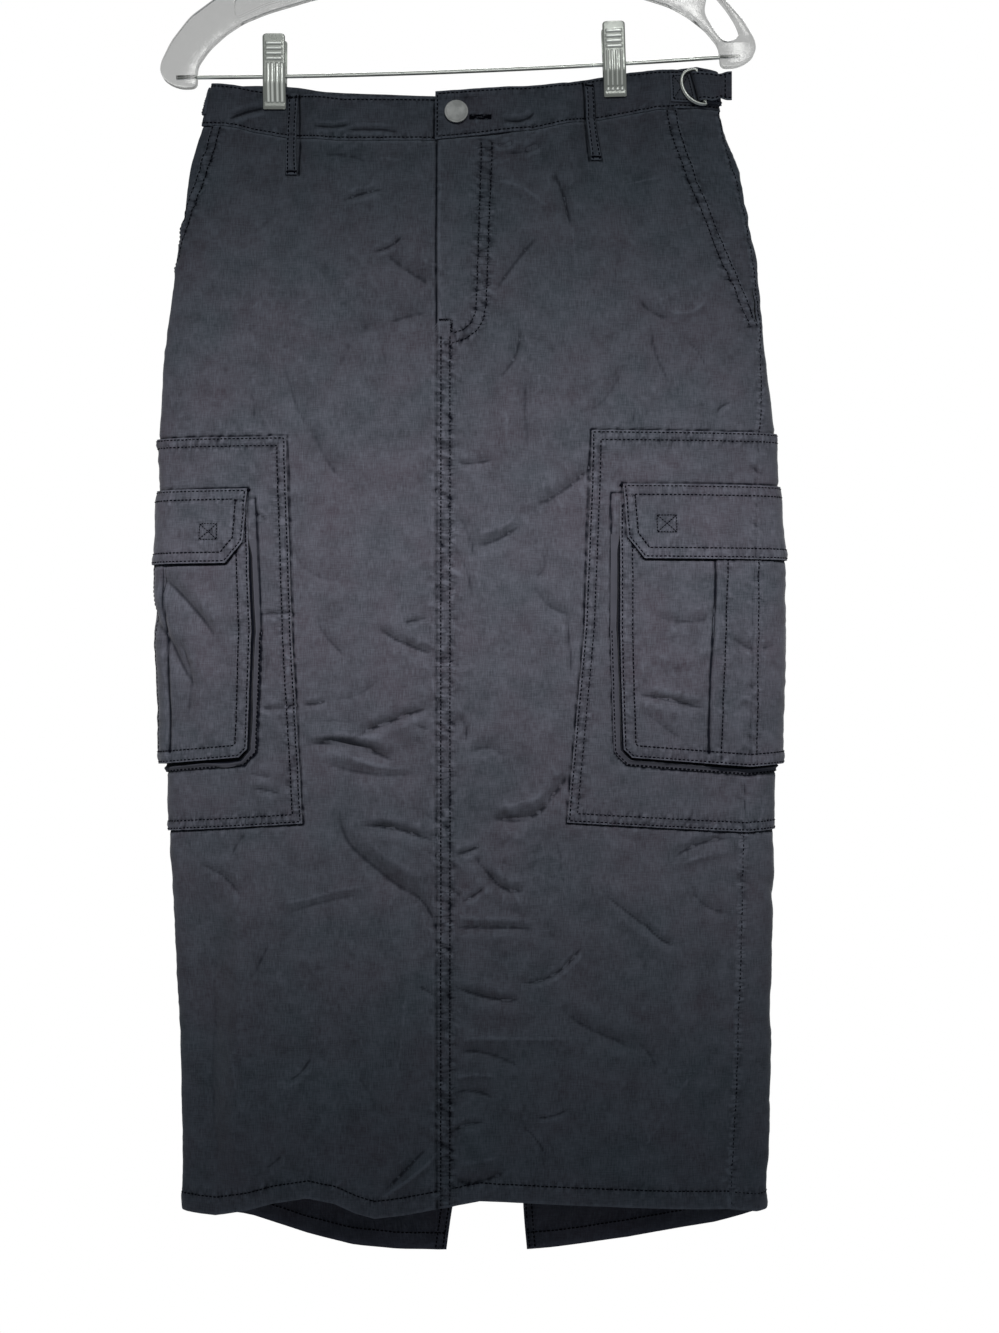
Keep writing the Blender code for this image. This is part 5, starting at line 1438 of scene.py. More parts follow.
def add_panels(cell, back_cell):
    for side_name, side in SIDES:
        sides = front_sides(side)
        width = max(side_length(sides[0]), side_length(sides[2]))
        zone = (0, 14, 1.1) if side > 0 else (width - 8, width, 1.3)
        shell(f"front_{side_name}_panel", sides, cell, zones_across=[zone], zones_up=[(10, 16, 1.2)],
              extra=front_rise(side))
        shell(f"back_{side_name}_panel", back_sides(side_name, side), back_cell, extra=back_rise(side))


def add_top_cloth(cell):
    for side_name, side in SIDES:
        shell(f"hip_facing_{side_name}", facing_sides(side), cell)
        shell(f"waistband_{side_name}", band_sides(side_name, side), cell * BAND_CELL_SHARE)
        shell(f"adjuster_tab_{side_name}", tab_sides(side_name, side), TAB_CELL)
    for loop in named_rows(LOOP_COLUMNS, LOOPS):
        shell(loop["name"], loop_sides(loop), LOOP_CELL)


def pleat_zones(side_name, side, width):
    """Where the pleat's two edges run, measured along the pocket front."""
    size, pleat = cargo_sizes(side_name), table(PLEAT_COLUMNS, PLEAT)
    zones = []
    for edge in ("front_edge", "back_edge"):
        runs = [s - size["pocket_top"] for s in pleat[edge]]
        low, high = min(runs) - PLEAT_ZONE, max(runs) + PLEAT_ZONE
        zones.append((low, high, PLEAT_CELL) if side > 0 else (width - high, width - low, PLEAT_CELL))
    return zones


def add_cargo(cell):
    all_round = dict.fromkeys(("left", "right", "bottom", "top"), FOLD_WIDTH)
    for side_name, side in SIDES:
        kinds = "patch", "pocket", "flap"
        patch, pocket, flap = (cargo_piece_sides(kind, side_name, side) for kind in kinds)
        shell(f"cargo_patch_{side_name}", patch, cell, folds=all_round)
        width = max(side_length(pocket[0]), side_length(pocket[2]))
        shell(f"pocket_front_{side_name}", pocket, cell * POCKET_CELL_SHARE, folds=POCKET_FOLDS,
              zones_across=pleat_zones(side_name, side, width))
        flap_folds = dict(all_round, top=FLAP_TOP_FOLD)
        shell(f"pocket_flap_{side_name}", flap, cell * FLAP_CELL_SHARE, folds=flap_folds)
        add_gusset(side_name, side)


# The bellows strip's section, from its seam on the patch round to its back: how far inwards from the
# pocket's edge, and the share of its height.
GUSSET_PROFILE = (
    (-6.0, 0.05), (-4.9, 0.2), (-3.9, 0.42), (-3.1, 0.55), (-2.3, 0.5), (-1.8, 0.3), (-1.3, 0.12),
    (0.2, 0.12), (1.4, 0.5), (2.0, 1.0), (3.0, 1.0), (2.4, 0.42), (0.8, 0.0), (-1.8, 0.0), (-2.5, 0.18),
    (-3.0, 0.33), (-3.6, 0.24), (-4.6, 0.06), (-6.0, 0.0),
)
GUSSET_STEP = 2.2
GUSSET_OVER_PATCH = 0.15
GUSSET_UNDER_POCKET = 0.1
# The fold that sticks out sways in and out, and fades at both ends.
GUSSET_SWAYING = (-5, -1)
GUSSET_SWAY = 0.4
GUSSET_SWAY_SIZE = 21
GUSSET_SPREAD = {"right": 1.0, "left": 0.7}
GUSSET_ENDS = (-3, 14)
# The gap under the pocket's edge is painted near-black as painted shade; the fold beside it is rubbed pale.
GUSSET_PAINTED_SHADE = (-2.4, 2.5)
GUSSET_RUBBED = (-3.5, -2.9)


def tube_faces(rings, sides, closed=False):
    """Faces between rings of points, one after another, in one loop or with both ends closed."""
    index = np.arange(rings * sides).reshape(rings, sides)
    turned = np.roll(index, -1, axis=1)
    if closed:
        faces = np.stack([index, turned, np.roll(turned, -1, axis=0), np.roll(index, -1, axis=0)], axis=2)
        return faces.reshape(-1, 4).tolist()
    faces = np.stack([index[:-1], turned[:-1], turned[1:], index[1:]], axis=2).reshape(-1, 4).tolist()
    return [*faces, index[0][::-1].tolist(), index[-1].tolist()]


def gusset_wear_and_shade(inward):
    """Painted shade in the gap under the pocket's edge, and rubbed pale on the fold beside it."""
    if GUSSET_PAINTED_SHADE[0] < inward < GUSSET_PAINTED_SHADE[1]:
        return -2.0
    return 0.3 if GUSSET_RUBBED[0] < inward < GUSSET_RUBBED[1] else 0.0


def gusset_line(size, side):
    """The pocket's edge, from the strip's front end under the pocket to its back end."""
    (corner, low, middle, top), sag = cargo_front("pocket", size)
    start_z = size["flap_top_z"] - GUSSET_TOP
    share = (start_z - top[1]) / (middle[1] - top[1])
    front = [(top[0] + share * (middle[0] - top[0]), start_z), middle, low, corner]
    return placed([*front, *sag, *((back_of(s), z) for s, z in reversed(front))], side)


def add_gusset(side_name, side):
    """The folded strip under three edges of a pocket front, sewn to the patch outside them."""
    size = cargo_sizes(side_name)
    line = gusset_line(size, side)
    path = along(line, np.linspace(0, 1, round(side_length(line) / GUSSET_STEP)))
    flat = path * (PATTERN_WIDTH, 1)
    ahead = np.gradient(flat, axis=0)
    ahead /= np.linalg.norm(ahead, axis=1, keepdims=True)
    inward = np.stack([-ahead[:, 1], ahead[:, 0]], axis=1) * side
    base = LAYERS[f"cargo_patch_{side_name}"][1] + GUSSET_OVER_PATCH
    top = LAYERS[f"pocket_front_{side_name}"][0] - GUSSET_UNDER_POCKET
    top = top + (POCKET_OUT_FULL - POCKET_OUT_TOP) * pocket_open(path[:, 1], size["flap_top_z"])
    reach = np.arange(len(path)) * GUSSET_STEP
    sway = 1 + GUSSET_SWAY * value_noise(reach / GUSSET_SWAY_SIZE, np.full(len(path), 3.5 + side), 41)
    sway = sway * GUSSET_SPREAD[side_name] * ease(reach, *GUSSET_ENDS) * ease(reach[-1] - reach, *GUSSET_ENDS)
    rings = []
    for distance, rise in GUSSET_PROFILE:
        swaying = GUSSET_SWAYING[0] < distance < GUSSET_SWAYING[1]
        place = flat + inward * (distance * (sway[:, None] if swaying else 1))
        q, z = place[:, 0] / PATTERN_WIDTH, place[:, 1]
        rings.append(on_form(q, z, base + (top - base) * rise + relief_at(q, z)))
    faces = tube_faces(len(path), len(GUSSET_PROFILE))
    if side < 0:
        faces = [face[::-1] for face in faces]
    made = add_mesh(f"look_pocket_gusset_{side_name}", np.stack(rings, axis=1).reshape(-1, 3), faces)
    wear = np.tile([gusset_wear_and_shade(inward) for inward, _ in GUSSET_PROFILE], len(path))
    made.data.attributes.new("wear", "FLOAT", "POINT").data.foreach_set("value", wear)
    finish_piece(made, "cloth", f"pocket_gusset_{side_name}")


# Stitching.
SEAM_SINK = 0.5
SEAM_SINK_HALF_WIDTH = 1.1
# A stitch's pitch, its length and its thread's radius; where it rises and dives; and how deep.
PLAIN_STITCH = (3.1, 2.6, 0.5)
CLOSE_STITCH = (2.05, 2.0, 0.36)
STITCH_STOPS = np.array([0, 0.22, 0.78, 1])
STITCH_DIVE = 0.25
STITCH_OVER_CLOTH = 0.04
PATH_STEP = 0.6
BAR_PATH_STEP = 0.25
BAR_STEP = 0.55
BAR_HALF_WIDTH = 1.0
# Each kind of line: how much the cloth puckers beside it, how far above the cloth it lies, and, where
# they apply, that it doesn't sink the cloth, lies inside, has close stitches or is a bartack's zigzag.
STITCHES = {
    "mouth": {"pucker": 0.4, "above": 0.3},
    "side": {"pucker": 0.4},
    "hem": {"pucker": 0.3, "above": 0.2},
    "inside": {"pucker": 0, "above": 0.3, "sinks": False, "inside": True},
    "vent": {"pucker": 0.2},
    "fell": {"pucker": 0.62, "above": STRIP_RISE},
    "back": {"pucker": 0.35, "above": 0.3},
    "fly": {"pucker": 0.5},
    "fly_bar": {"above": 0.1, "close": True, "bar": True},
    "band_seam": {"pucker": 0.22},
    "band_top": {"pucker": 0.18},
    "band_end": {"pucker": 0.15},
    "buttonhole": {"close": True, "bar": True},
    "patch": {"pucker": 0.3, "above": FOLD_RISE},
    "pocket": {"pucker": 0.2, "above": FOLD_RISE},
    "gusset": {"pucker": 0.2, "above": 0.75},
    "pleat": {"pucker": 0.15, "above": 0.05},
    "flap": {"pucker": 0.14, "above": FOLD_RISE},
    "box": {"above": 0.12, "close": True},
    "flap_bar": {"above": 0.3, "close": True, "bar": True},
    "patch_bar": {"above": 0.8, "close": True, "bar": True},
    "mouth_bar": {"above": 0.35, "close": True, "bar": True},
    "loop": {"pucker": 0, "sinks": False},
    "loop_bar": {"close": True, "bar": True},
    "tab": {"pucker": 0, "sinks": False, "close": True},
}
PLAIN_LINE = {"pucker": 0.1, "above": 0.0, "sinks": True, "inside": False, "close": False, "bar": False}
SIDE_STITCH = 1.8
SIDE_STITCH_ENDS = (1.6, 2)
CENTRE_GAP_Q = 0.0015
FELL_TOP = -388
BAND_INSET = 2.0
BAND_STITCH_ENDS = {"left": (0.01, -0.002), "right": (0.002, 0)}
BAND_END_STITCH = 2.2
BAND_END_LEVELS = (-244.2, -213.6)
FLY_INNER = (
    (30.5, -247.2), (29.1, -302.5), (27.2, -362), (26.3, -372), (23, -379.5), (17.5, -384), (11, -386),
)
FLY_OUTER = (
    (38.3, -247.2), (36.2, -302.5), (34, -366), (32, -377), (27.5, -384.5), (20, -390), (9, -393.5),
    (1, -394.7),
)
FLY_BAR = ((0.6, -376.4), (9.5, -376.4), (9.5, -385.5))
FELL_LINES = (2.1, 8.5)
MOUTH_INSETS = (1.4, 7.6)
VENT_INSETS = (2.6, 8.0)
PATCH_INSETS = (1.4, 6.6)
POCKET_INSETS = (1.4, 8.6)
FLAP_INSETS = (1.5, 7.6)
PLEAT_STITCH = 7.8
PLEAT_BACK_STITCH = 23
PLEAT_STITCH_TOP = -545
PLEAT_STITCH_BELOW = 4
PLEAT_SWAY = 1.2
GUSSET_STITCH = 5.3
# The box stitch on each flap: its middle's length and level, half its width and half its height.
BOX = {"left": (161.9, -521.2, 6.9, 6.0), "right": (163.5, -526.4, 6.3, 5.6)}
# Bartacks beside the flap's upper corner, from that corner.
FLAP_BAR = ((1.5, -8.5), (9, -8.5))
PATCH_BAR = ((-2.4, -1), (0.5, -1))
MOUTH_BAR_INSET = 1.5
MOUTH_BAR_LEVELS = (-371, -364)
LOOP_INSET = 1.4
LOOP_BAR_INSET = 2.2
TAB_INSET = 1.6
# The buttonhole's two ends, its level and half its width.
BUTTONHOLE = (22, 38, -230.5, 1.1)
# Grooves run this far outside the edges that press them in.
GROOVE_OUT = 0.7
GUSSET_GROOVE_OUT = 1.2
LOOP_GROOVE_OUT = 0.6
PLEAT_GROOVE_TOP = -530
SEAM_GROOVE_S = -0.9
FLY_GROOVE_S = -1.4
FLY_GROOVE_TOP = -247
BAND_GROOVE_S = -3.2
BAND_GROOVE_LEVELS = (-248, -205)


def inset(points, distance):
    """A closed anticlockwise outline moved inwards."""
    points = np.array(points, float)
    runs = np.roll(points, -1, axis=0) - points
    runs /= np.linalg.norm(runs, axis=1, keepdims=True)
    inward = np.stack([-runs[:, 1], runs[:, 0]], axis=1)
    before = np.roll(inward, 1, axis=0)
    share = 1 + (inward * before).sum(axis=1, keepdims=True)
    return (points + distance * (inward + before) / share).tolist()


def stitched(kind, node, line):
    """A line of stitches on a node, given by pattern points."""
    return {"node": node, "line": line, **PLAIN_LINE, **STITCHES[kind]}


def closed_line(points):
    return [*points, points[0]]


def crossed(corners):
    """A box stitch: round its corners and along both diagonals."""
    return closed_line(corners), (corners[0], corners[2]), (corners[1], corners[3])


def panel_stitches():
    seams = []
    for side_name, side in SIDES:
        rows = BANDS[side]
        front, back = f"front_{side_name}_panel", f"back_{side_name}_panel"
        for reach in MOUTH_INSETS:
            seams.append(stitched("mouth", front, mouth_line(side, rows, reach)))
        low, high = SIDE_STITCH_ENDS
        top = waist_level(side, rows, lambda z: seam_length(z, high))
        seam = seam_line(hem_at_seam(side, low), top, side, SIDE_STITCH)
        seams.append(stitched("side", back, seam))
        seam_q = seam[0][0]
        seams.append(stitched("hem", front, hem_line(side * CENTRE_GAP_Q, seam_q, HEM_WIDTH)))
        hem = hem_line(seam_q, VENT_Q[side_name], HEM_WIDTH)
        seams += [stitched("hem", back, hem), stitched("inside", back, hem)]
        for reach in VENT_INSETS:
            shift = side * reach / LONG_QUARTER
            low_q = VENT_Q[side_name] - shift
            line = [(low_q, hem_level(low_q) + 1), (side * 2 - shift, VENT_TOP)]
            seams += [stitched("vent", back, line), stitched("inside", back, line)]
    for reach in FELL_LINES:
        low = hem_level(q_of(reach, HEM_LEVEL)) + 1
        line = placed([(reach, z) for z in np.linspace(FELL_TOP, low, 12)])
        seams.append(stitched("fell", "front_left_panel", line))
        q = 2 - reach / LONG_QUARTER
        top = float(through(q, BAND_LEFT, BAND_COLUMNS, "seam")) - 1
        line = [(q, z) for z in np.linspace(VENT_TOP, top, 30)]
        seams.append(stitched("back", "back_left_panel", line))
    for kind, line in (("fly", FLY_INNER), ("fly", FLY_OUTER), ("fly_bar", FLY_BAR)):
        seams.append(stitched(kind, "front_left_panel", placed(line)))
    return seams


def band_stitches():
    seams = []
    for side_name, side in SIDES:
        node = f"waistband_{side_name}"
        start, end = (q + shift for q, shift in zip(band_ends(side_name), BAND_STITCH_ENDS[side_name]))
        seams.append(stitched("band_seam", node, band_seam(BANDS[side], start, end, SEAM_GAP + BAND_INSET)))
        line = across(BANDS[side], BAND_COLUMNS, "top", start, end, -BAND_INSET)
        seams.append(stitched("band_top", node, line))
    q = band_ends("left")[0] + BAND_END_STITCH / LONG_QUARTER
    seams.append(stitched("band_end", "waistband_left", [(q, z) for z in BAND_END_LEVELS]))
    start, end, level, half = BUTTONHOLE
    for shift in (-half, 0, half):
        line = placed([(s, level + shift) for s in (start, end)])
        seams.append(stitched("buttonhole", "waistband_left", line))
    return seams


def cargo_stitches():
    seams = []
    pleat = table(PLEAT_COLUMNS, PLEAT)

    def sew(kind, node, line):
        seams.append(stitched(kind, f"{node}_{side_name}", placed(line, side)))

    for side_name, side in SIDES:
        size = cargo_sizes(side_name)
        for reach in PATCH_INSETS:
            sew("patch", "cargo_patch", closed_line(inset(cargo_outline("patch", size), reach)))
        outline = cargo_outline("pocket", size)
        for reach in POCKET_INSETS:
            line = inset(outline, reach)
            sew("pocket", "pocket_front", [*line[6:], *line[:6]])
        line = inset(outline, -GUSSET_STITCH)
        sew("gusset", "cargo_patch", [*line[7:], *line[:5]])
        levels = PLEAT_STITCH_TOP, size["pocket_bottom_z"] - PLEAT_STITCH_BELOW
        for edge, shift in (("front_edge", PLEAT_STITCH), ("back_edge", -PLEAT_BACK_STITCH)):
            sew("pleat", "pocket_front", [(np.interp(z, pleat["z"], pleat[edge]) + shift, z) for z in levels])
        for reach in FLAP_INSETS:
            sew("flap", "pocket_flap", closed_line(inset(cargo_outline("flap", size), reach)))
        s, z, half_width, half_height = BOX[side_name]
        corners = [(s + a * half_width, z + b * half_height) for a, b in ((-1, -1), (1, -1), (1, 1), (-1, 1))]
        for line in crossed(corners):
            sew("box", "pocket_flap", line)
        edge, top = size["flap_top"], size["flap_top_z"]
        sew("flap_bar", "pocket_flap", [(edge + ahead, top + up) for ahead, up in FLAP_BAR])
        sew("patch_bar", "cargo_patch", [(edge + ahead, top + up) for ahead, up in PATCH_BAR])
        mouth = [(float(mouth_length(z, side)) - MOUTH_BAR_INSET, z) for z in MOUTH_BAR_LEVELS]
        seams.append(stitched("mouth_bar", f"front_{side_name}_panel", placed(mouth, side)))
    return seams


def trim_stitches():
    seams = []
    share = LOOP_INSET / (2 * LOOP_HALF_WIDTH)
    for loop in named_rows(LOOP_COLUMNS, LOOPS):
        low, _, top, _ = loop_sides(loop)
        for part in (share, 1 - share):
            line = [tuple(np.array(start) * (1 - part) + np.array(end) * part) for start, end in (low, top)]
            seams.append(stitched("loop", loop["name"], line))
        for line, lift in ((low, LOOP_BAR_INSET), (top, -LOOP_BAR_INSET)):
            seams.append(stitched("loop_bar", loop["name"], [(q, z + lift) for q, z in line]))
    for side_name, side in SIDES:
        for line in crossed(inset(tab_corners(side_name), TAB_INSET)):
            seams.append(stitched("tab", f"adjuster_tab_{side_name}", placed(line, side)))
    return seams


def groove_lines():
    """Where the cloth of each layer sinks: along the edges of the pieces sewn over it."""
    panel, band, patch, pocket = [], [], [], []
    pleat = table(PLEAT_COLUMNS, PLEAT)
    for side_name, side in SIDES:
        size = cargo_sizes(side_name)
        patch_edge, flap_edge, pocket_edge = (
            closed_line(placed(inset(cargo_outline(kind, size), -reach), side))
            for kind, reach in (
                ("patch", GROOVE_OUT), ("flap", GROOVE_OUT), ("pocket", GUSSET_STITCH + GUSSET_GROOVE_OUT),
            )
        )
        panel.append(patch_edge)
        patch += [flap_edge, pocket_edge]
        pocket.append(flap_edge)
        levels = np.linspace(PLEAT_GROOVE_TOP, size["pocket_bottom_z"] + 3, 14)
        sway = PLEAT_SWAY * value_noise(levels / 30, np.full(14, 2.5), 42)
        for edge, shift in (("front_edge", -1), ("back_edge", 1)):
            lengths = np.interp(levels, pleat["z"], pleat[edge]) + sway + shift
            pocket.append(placed(zip(lengths, levels), side))
    panel.append(placed([(SEAM_GROOVE_S, z) for z in np.linspace(FLY_END, HEM_LEVEL, 12)]))
    panel.append(placed([(FLY_GROOVE_S, z) for z in (FLY_GROOVE_TOP, FLY_END)]))
    for loop in named_rows(LOOP_COLUMNS, LOOPS):
        _, right, _, left = loop_sides(loop)
        for line, shift in ((right, LOOP_GROOVE_OUT), (left, -LOOP_GROOVE_OUT)):
            line = [(q + shift / LONG_QUARTER, z) for q, z in line]
            panel.append(line)
            band.append(line)
    band.append(placed([(BAND_GROOVE_S, z) for z in BAND_GROOVE_LEVELS]))
    return {"panel": panel, "band": band, "patch": patch, "pocket": pocket}


def stitch_lines():
    """Every line of stitches as pattern points on its node's outer face."""
    return panel_stitches() + band_stitches() + cargo_stitches() + trim_stitches()


def zigzag(line, half_width, step):
    """A pattern line swung from side to side."""
    flat = np.array(line, float) * (PATTERN_WIDTH, 1)
    reach = np.concatenate([[0], np.cumsum(np.linalg.norm(np.diff(flat, axis=0), axis=1))])
    spots = np.arange(0, reach[-1] + step / 2, step)
    path = np.stack([np.interp(spots, reach, flat[:, k]) for k in (0, 1)], axis=1)
    run = np.gradient(path, axis=0)
    run /= np.linalg.norm(run, axis=1, keepdims=True)
    swing = half_width * np.where(np.arange(len(path)) % 2, 1, -1)[:, None]
    return (path + np.stack([-run[:, 1], run[:, 0]], axis=1) * swing) / (PATTERN_WIDTH, 1)


def sewn_path(seam):
    """Close points along a seam in millimetres, and its outward directions."""
    line = np.array(seam["line"], float)
    if seam["bar"]:
        line = zigzag(line, BAR_HALF_WIDTH, BAR_STEP)
    length = side_length(line)
    step = BAR_PATH_STEP if seam["bar"] else PATH_STEP
    q, z = along(line, np.linspace(0, 1, max(3, round(length / step)))).T
    normals = look_up(FORM_NORMALS, wrapped(q), z)
    if seam["inside"]:
        points = on_form(q, z, LAYERS[seam["node"]][0] + relief_at(q, z) - seam["above"])
        normals = -normals
    else:
        points = surface(seam["node"], q, z, seam["above"] + STITCH_OVER_CLOTH)
    return points, normals


def beads(points, normals, close=False):
    """All stitches along a path: each a short bead of thread whose ends dive into the cloth."""
    reach = np.concatenate([[0], np.cumsum(np.linalg.norm(np.diff(points, axis=0), axis=1))])
    pitch, length, radius = CLOSE_STITCH if close else PLAIN_STITCH
    count = max(1, int(reach[-1] / pitch))
    pitch = reach[-1] / count
    start = (np.arange(count) + 0.5) * pitch - min(length, pitch) / 2
    stops = start[:, None] + min(length, pitch) * STITCH_STOPS[None]
    at_stop = np.stack([np.interp(stops, reach, points[:, k]) for k in range(3)], axis=-1)
    normal = np.stack([np.interp(stops, reach, normals[:, k]) for k in range(3)], axis=-1)
    run = at_stop[:, -1] - at_stop[:, 0]
    run /= np.maximum(np.linalg.norm(run, axis=1, keepdims=True), 1e-9)
    side = np.cross(run[:, None], normal)
    side /= np.maximum(np.linalg.norm(side, axis=2, keepdims=True), 1e-9)
    tips = at_stop[:, [0, 3]] - STITCH_DIVE * normal[:, [0, 3]]
    body, up, out = at_stop[:, 1:3], normal[:, 1:3], side[:, 1:3]
    ring = [body + up * radius, body + out * radius, body - up * 0.5 * radius, body - out * radius]
    ring = np.stack(ring, axis=2).reshape(count, 8, 3)
    made = np.concatenate([tips[:, :1], ring, tips[:, 1:]], axis=1)
    faces = [(0, 1 + j, 1 + (j + 1) % 4) for j in range(4)]
    faces += [(9, 5 + (j + 1) % 4, 5 + j) for j in range(4)]
    faces += [(1 + j, 5 + j, 5 + (j + 1) % 4, 1 + (j + 1) % 4) for j in range(4)]
    return made.reshape(-1, 3), faces, count


def add_thread(node, sewn):
    """One object of all these stitches, for the node they are sewn through."""
    points, faces, offset = [], [], 0
    for made, pattern, count in sewn:
        for k in range(count):
            faces += [[i + offset + 10 * k for i in face] for face in pattern]
        points.append(made)
        offset += len(made)
    thread = add_mesh(f"thread_{node}", np.concatenate(points), faces, smooth_angle=75)
    finish_piece(thread, "thread", slot="cloth")


def add_stitches():
    """One piece of thread for each sewn node."""
    by_node = {}
    for seam in stitch_lines():
        by_node.setdefault(seam["node"], []).append(seam)
    for node, seams in by_node.items():
        add_thread(node, [beads(*sewn_path(seam), seam["close"]) for seam in seams])


RELIEF, SEAMED = build_relief()
GROOVES = build_grooves()
CAVITIES = cavities(GROOVES)


# Hardware.
ZIP_TOOTH_PITCH = 2.1
ZIP_CHAIN_S = 10
# A tooth's length across the chain, its depth and its height.
ZIP_TOOTH = (1.9, 0.55, 0.5)
ZIP_STAGGER = 0.5
ZIP_CHAIN_ENDS = (4, 2)
ZIP_OVER_TAPE = 0.05
BOX_FACES = ((0, 1, 3, 2), (4, 6, 7, 5), (0, 4, 5, 1), (2, 3, 7, 6), (0, 2, 6, 4), (1, 5, 7, 3))
# The button's rings, as radius and height, from its back to the middle of its face.
BUTTON_PROFILE = (
    (0.3, 0.0), (4.4, 0.0), (4.6, 0.3), (4.6, 0.9), (7.9, 1.3), (8.4, 1.7), (8.5, 2.2), (8.3, 2.65),
    (7.8, 2.85), (7.3, 2.75), (6.9, 2.5), (6.2, 2.4), (3.0, 2.5), (0.3, 2.55),
)
BUTTON_SIDES = 56
BUTTON_OVER_BAND = 1.2


def turned_profile(name, profile, sides):
    """A round piece turned about its own Z, from its rings' (radius, height), back to front."""
    turn = np.linspace(0, 2 * math.pi, sides, endpoint=False)
    rings = [np.stack([r * np.cos(turn), r * np.sin(turn), np.full(sides, h)], axis=1) for r, h in profile]
    return add_mesh(name, np.concatenate(rings), tube_faces(len(profile), sides), smooth_angle=40)


def tube_mesh(path, radius, sides, closed=False):
    """Points and faces of a round wire along a path, in one loop or with flat ends."""
    path = np.asarray(path, float)
    if closed:
        ahead = np.roll(path, -1, axis=0) - np.roll(path, 1, axis=0)
    else:
        ahead = np.gradient(path, axis=0)
    tangent = ahead / np.linalg.norm(ahead, axis=1, keepdims=True)
    side = np.cross(tangent[0], tangent[len(path) // 3])
    if np.linalg.norm(side) < 1e-6:
        side = np.array([0.0, 1.0, 0.0])
    turn = np.linspace(0, 2 * math.pi, sides, endpoint=False)
    points = []
    for place, heading in zip(path, tangent):
        side = side - heading * side.dot(heading)
        side = side / np.linalg.norm(side)
        up = np.cross(heading, side)
        points.append(place + radius * (np.cos(turn)[:, None] * side + np.sin(turn)[:, None] * up))
    return np.concatenate(points), tube_faces(len(path), sides, closed)


def add_wire(node, path, radius, sides, place=None, closed=False):
    """The look of a metal wire, along a path in millimetres."""
    wire = add_mesh(f"look_{node}", *tube_mesh(path, radius, sides, closed))
    if place:
        wire.data.transform(place)
    outside_out(wire)
    finish_piece(wire, "bright_metal", node)


def place_on_form(obj, s, z, out):
    """Stands an object on the cloth, its own Z along the outward normal."""
    q, z = np.array([q_of(s, z)]), np.array([float(z)])
    outward = Vector(look_up(FORM_NORMALS, q, z)[0])
    across_cloth = Vector((-outward.y, outward.x, 0)).normalized()
    up = outward.cross(across_cloth)
    turn = Matrix((across_cloth, up, outward)).transposed().to_4x4()
    obj.matrix_world = Matrix.Translation(Vector(on_form(q, z, out)[0]) * MM) @ turn


def add_button():
    button = turned_profile("look_waist_button", BUTTON_PROFILE, BUTTON_SIDES)
    q, z = np.array([q_of(*BUTTON_PLACE)]), np.array([float(BUTTON_PLACE[1])])
    out = BUTTON_OVER_BAND + BAND_LIFT + SEAM_GAP + float(relief_at(q, z)[0])
    place_on_form(button, *BUTTON_PLACE, out)
    finish_piece(button, "matte_metal", "waist_button")


def add_zip():
    """The closed zip behind the fly: a tape and two rows of teeth that mesh."""
    top, low = ZIP_Z
    tape = joined(*(placed([(s, z) for s in ZIP_S]) for z in (low, top)))
    shell("fly_zip", tape, ZIP_CELL, finish="zip")
    length, depth, height = ZIP_TOOTH
    points, faces = [], []
    levels = np.arange(low + ZIP_CHAIN_ENDS[0], top - ZIP_CHAIN_ENDS[1], ZIP_TOOTH_PITCH / 2)
    for k, level in enumerate(levels):
        s = ZIP_CHAIN_S + (ZIP_STAGGER if k % 2 else -ZIP_STAGGER)
        faces += [[len(points) + i for i in face] for face in BOX_FACES]
        for ahead in (-1, 1):
            for up in (-1, 1):
                z = level + up * height / 2
                q = q_of(s + ahead * length / 2, z)
                for out in (ZIP_OVER_TAPE, ZIP_OVER_TAPE + depth):
                    points.append(surface("fly_zip", np.array([q]), np.array([z]), out)[0])
    finish_piece(add_mesh("look_zip_teeth", points, faces, smooth_angle=30), "zip")


# The strap's grid, and its rows along the waist, round the ring's bar and out to its tip.
STRAP_ACROSS = 13
STRAP_ALONG = 22
STRAP_ROUND = 16
STRAP_TAIL = 20
STRAP_SWELL = 0.22
STRAP_SWELL_ENDS = (0.55, 0.85)
STRAP_WAVE = 0.12
STRAP_STITCH_COLUMNS = (1, 11)
STRAP_TIP_STITCH = 6
STRAP_TURN_STITCH = 8


def band_place(side, s, out, rise, z_middle):
    """A point beside the waistband, rise above the adjuster's middle line."""
    z = z_middle + rise
    return on_form(q_of(side * s, z), z, out)


def add_rings(side_name, side):
    """Two D-rings: each a bowed side and the straight bar that the strap turns round."""
    z_middle = ADJUSTER_Z[side_name]
    for number, out in enumerate(RING_OUT, 1):
        path = []
        for angle in np.linspace(0, math.pi, 41):
            inward = RING_DEPTH * signed_power(math.sin(angle), RING_ROUND)
            rise = RING_BAR / 2 * math.cos(angle)
            path.append(band_place(side, RING_BAR_S - inward - RING_LEAN * rise, out, rise, z_middle))
        bar = np.linspace(path[-1], path[0], 12)[1:-1]
        add_wire(f"d_ring_{side_name}_{number}", [*path, *bar], RING_WIRE, 14, closed=True)


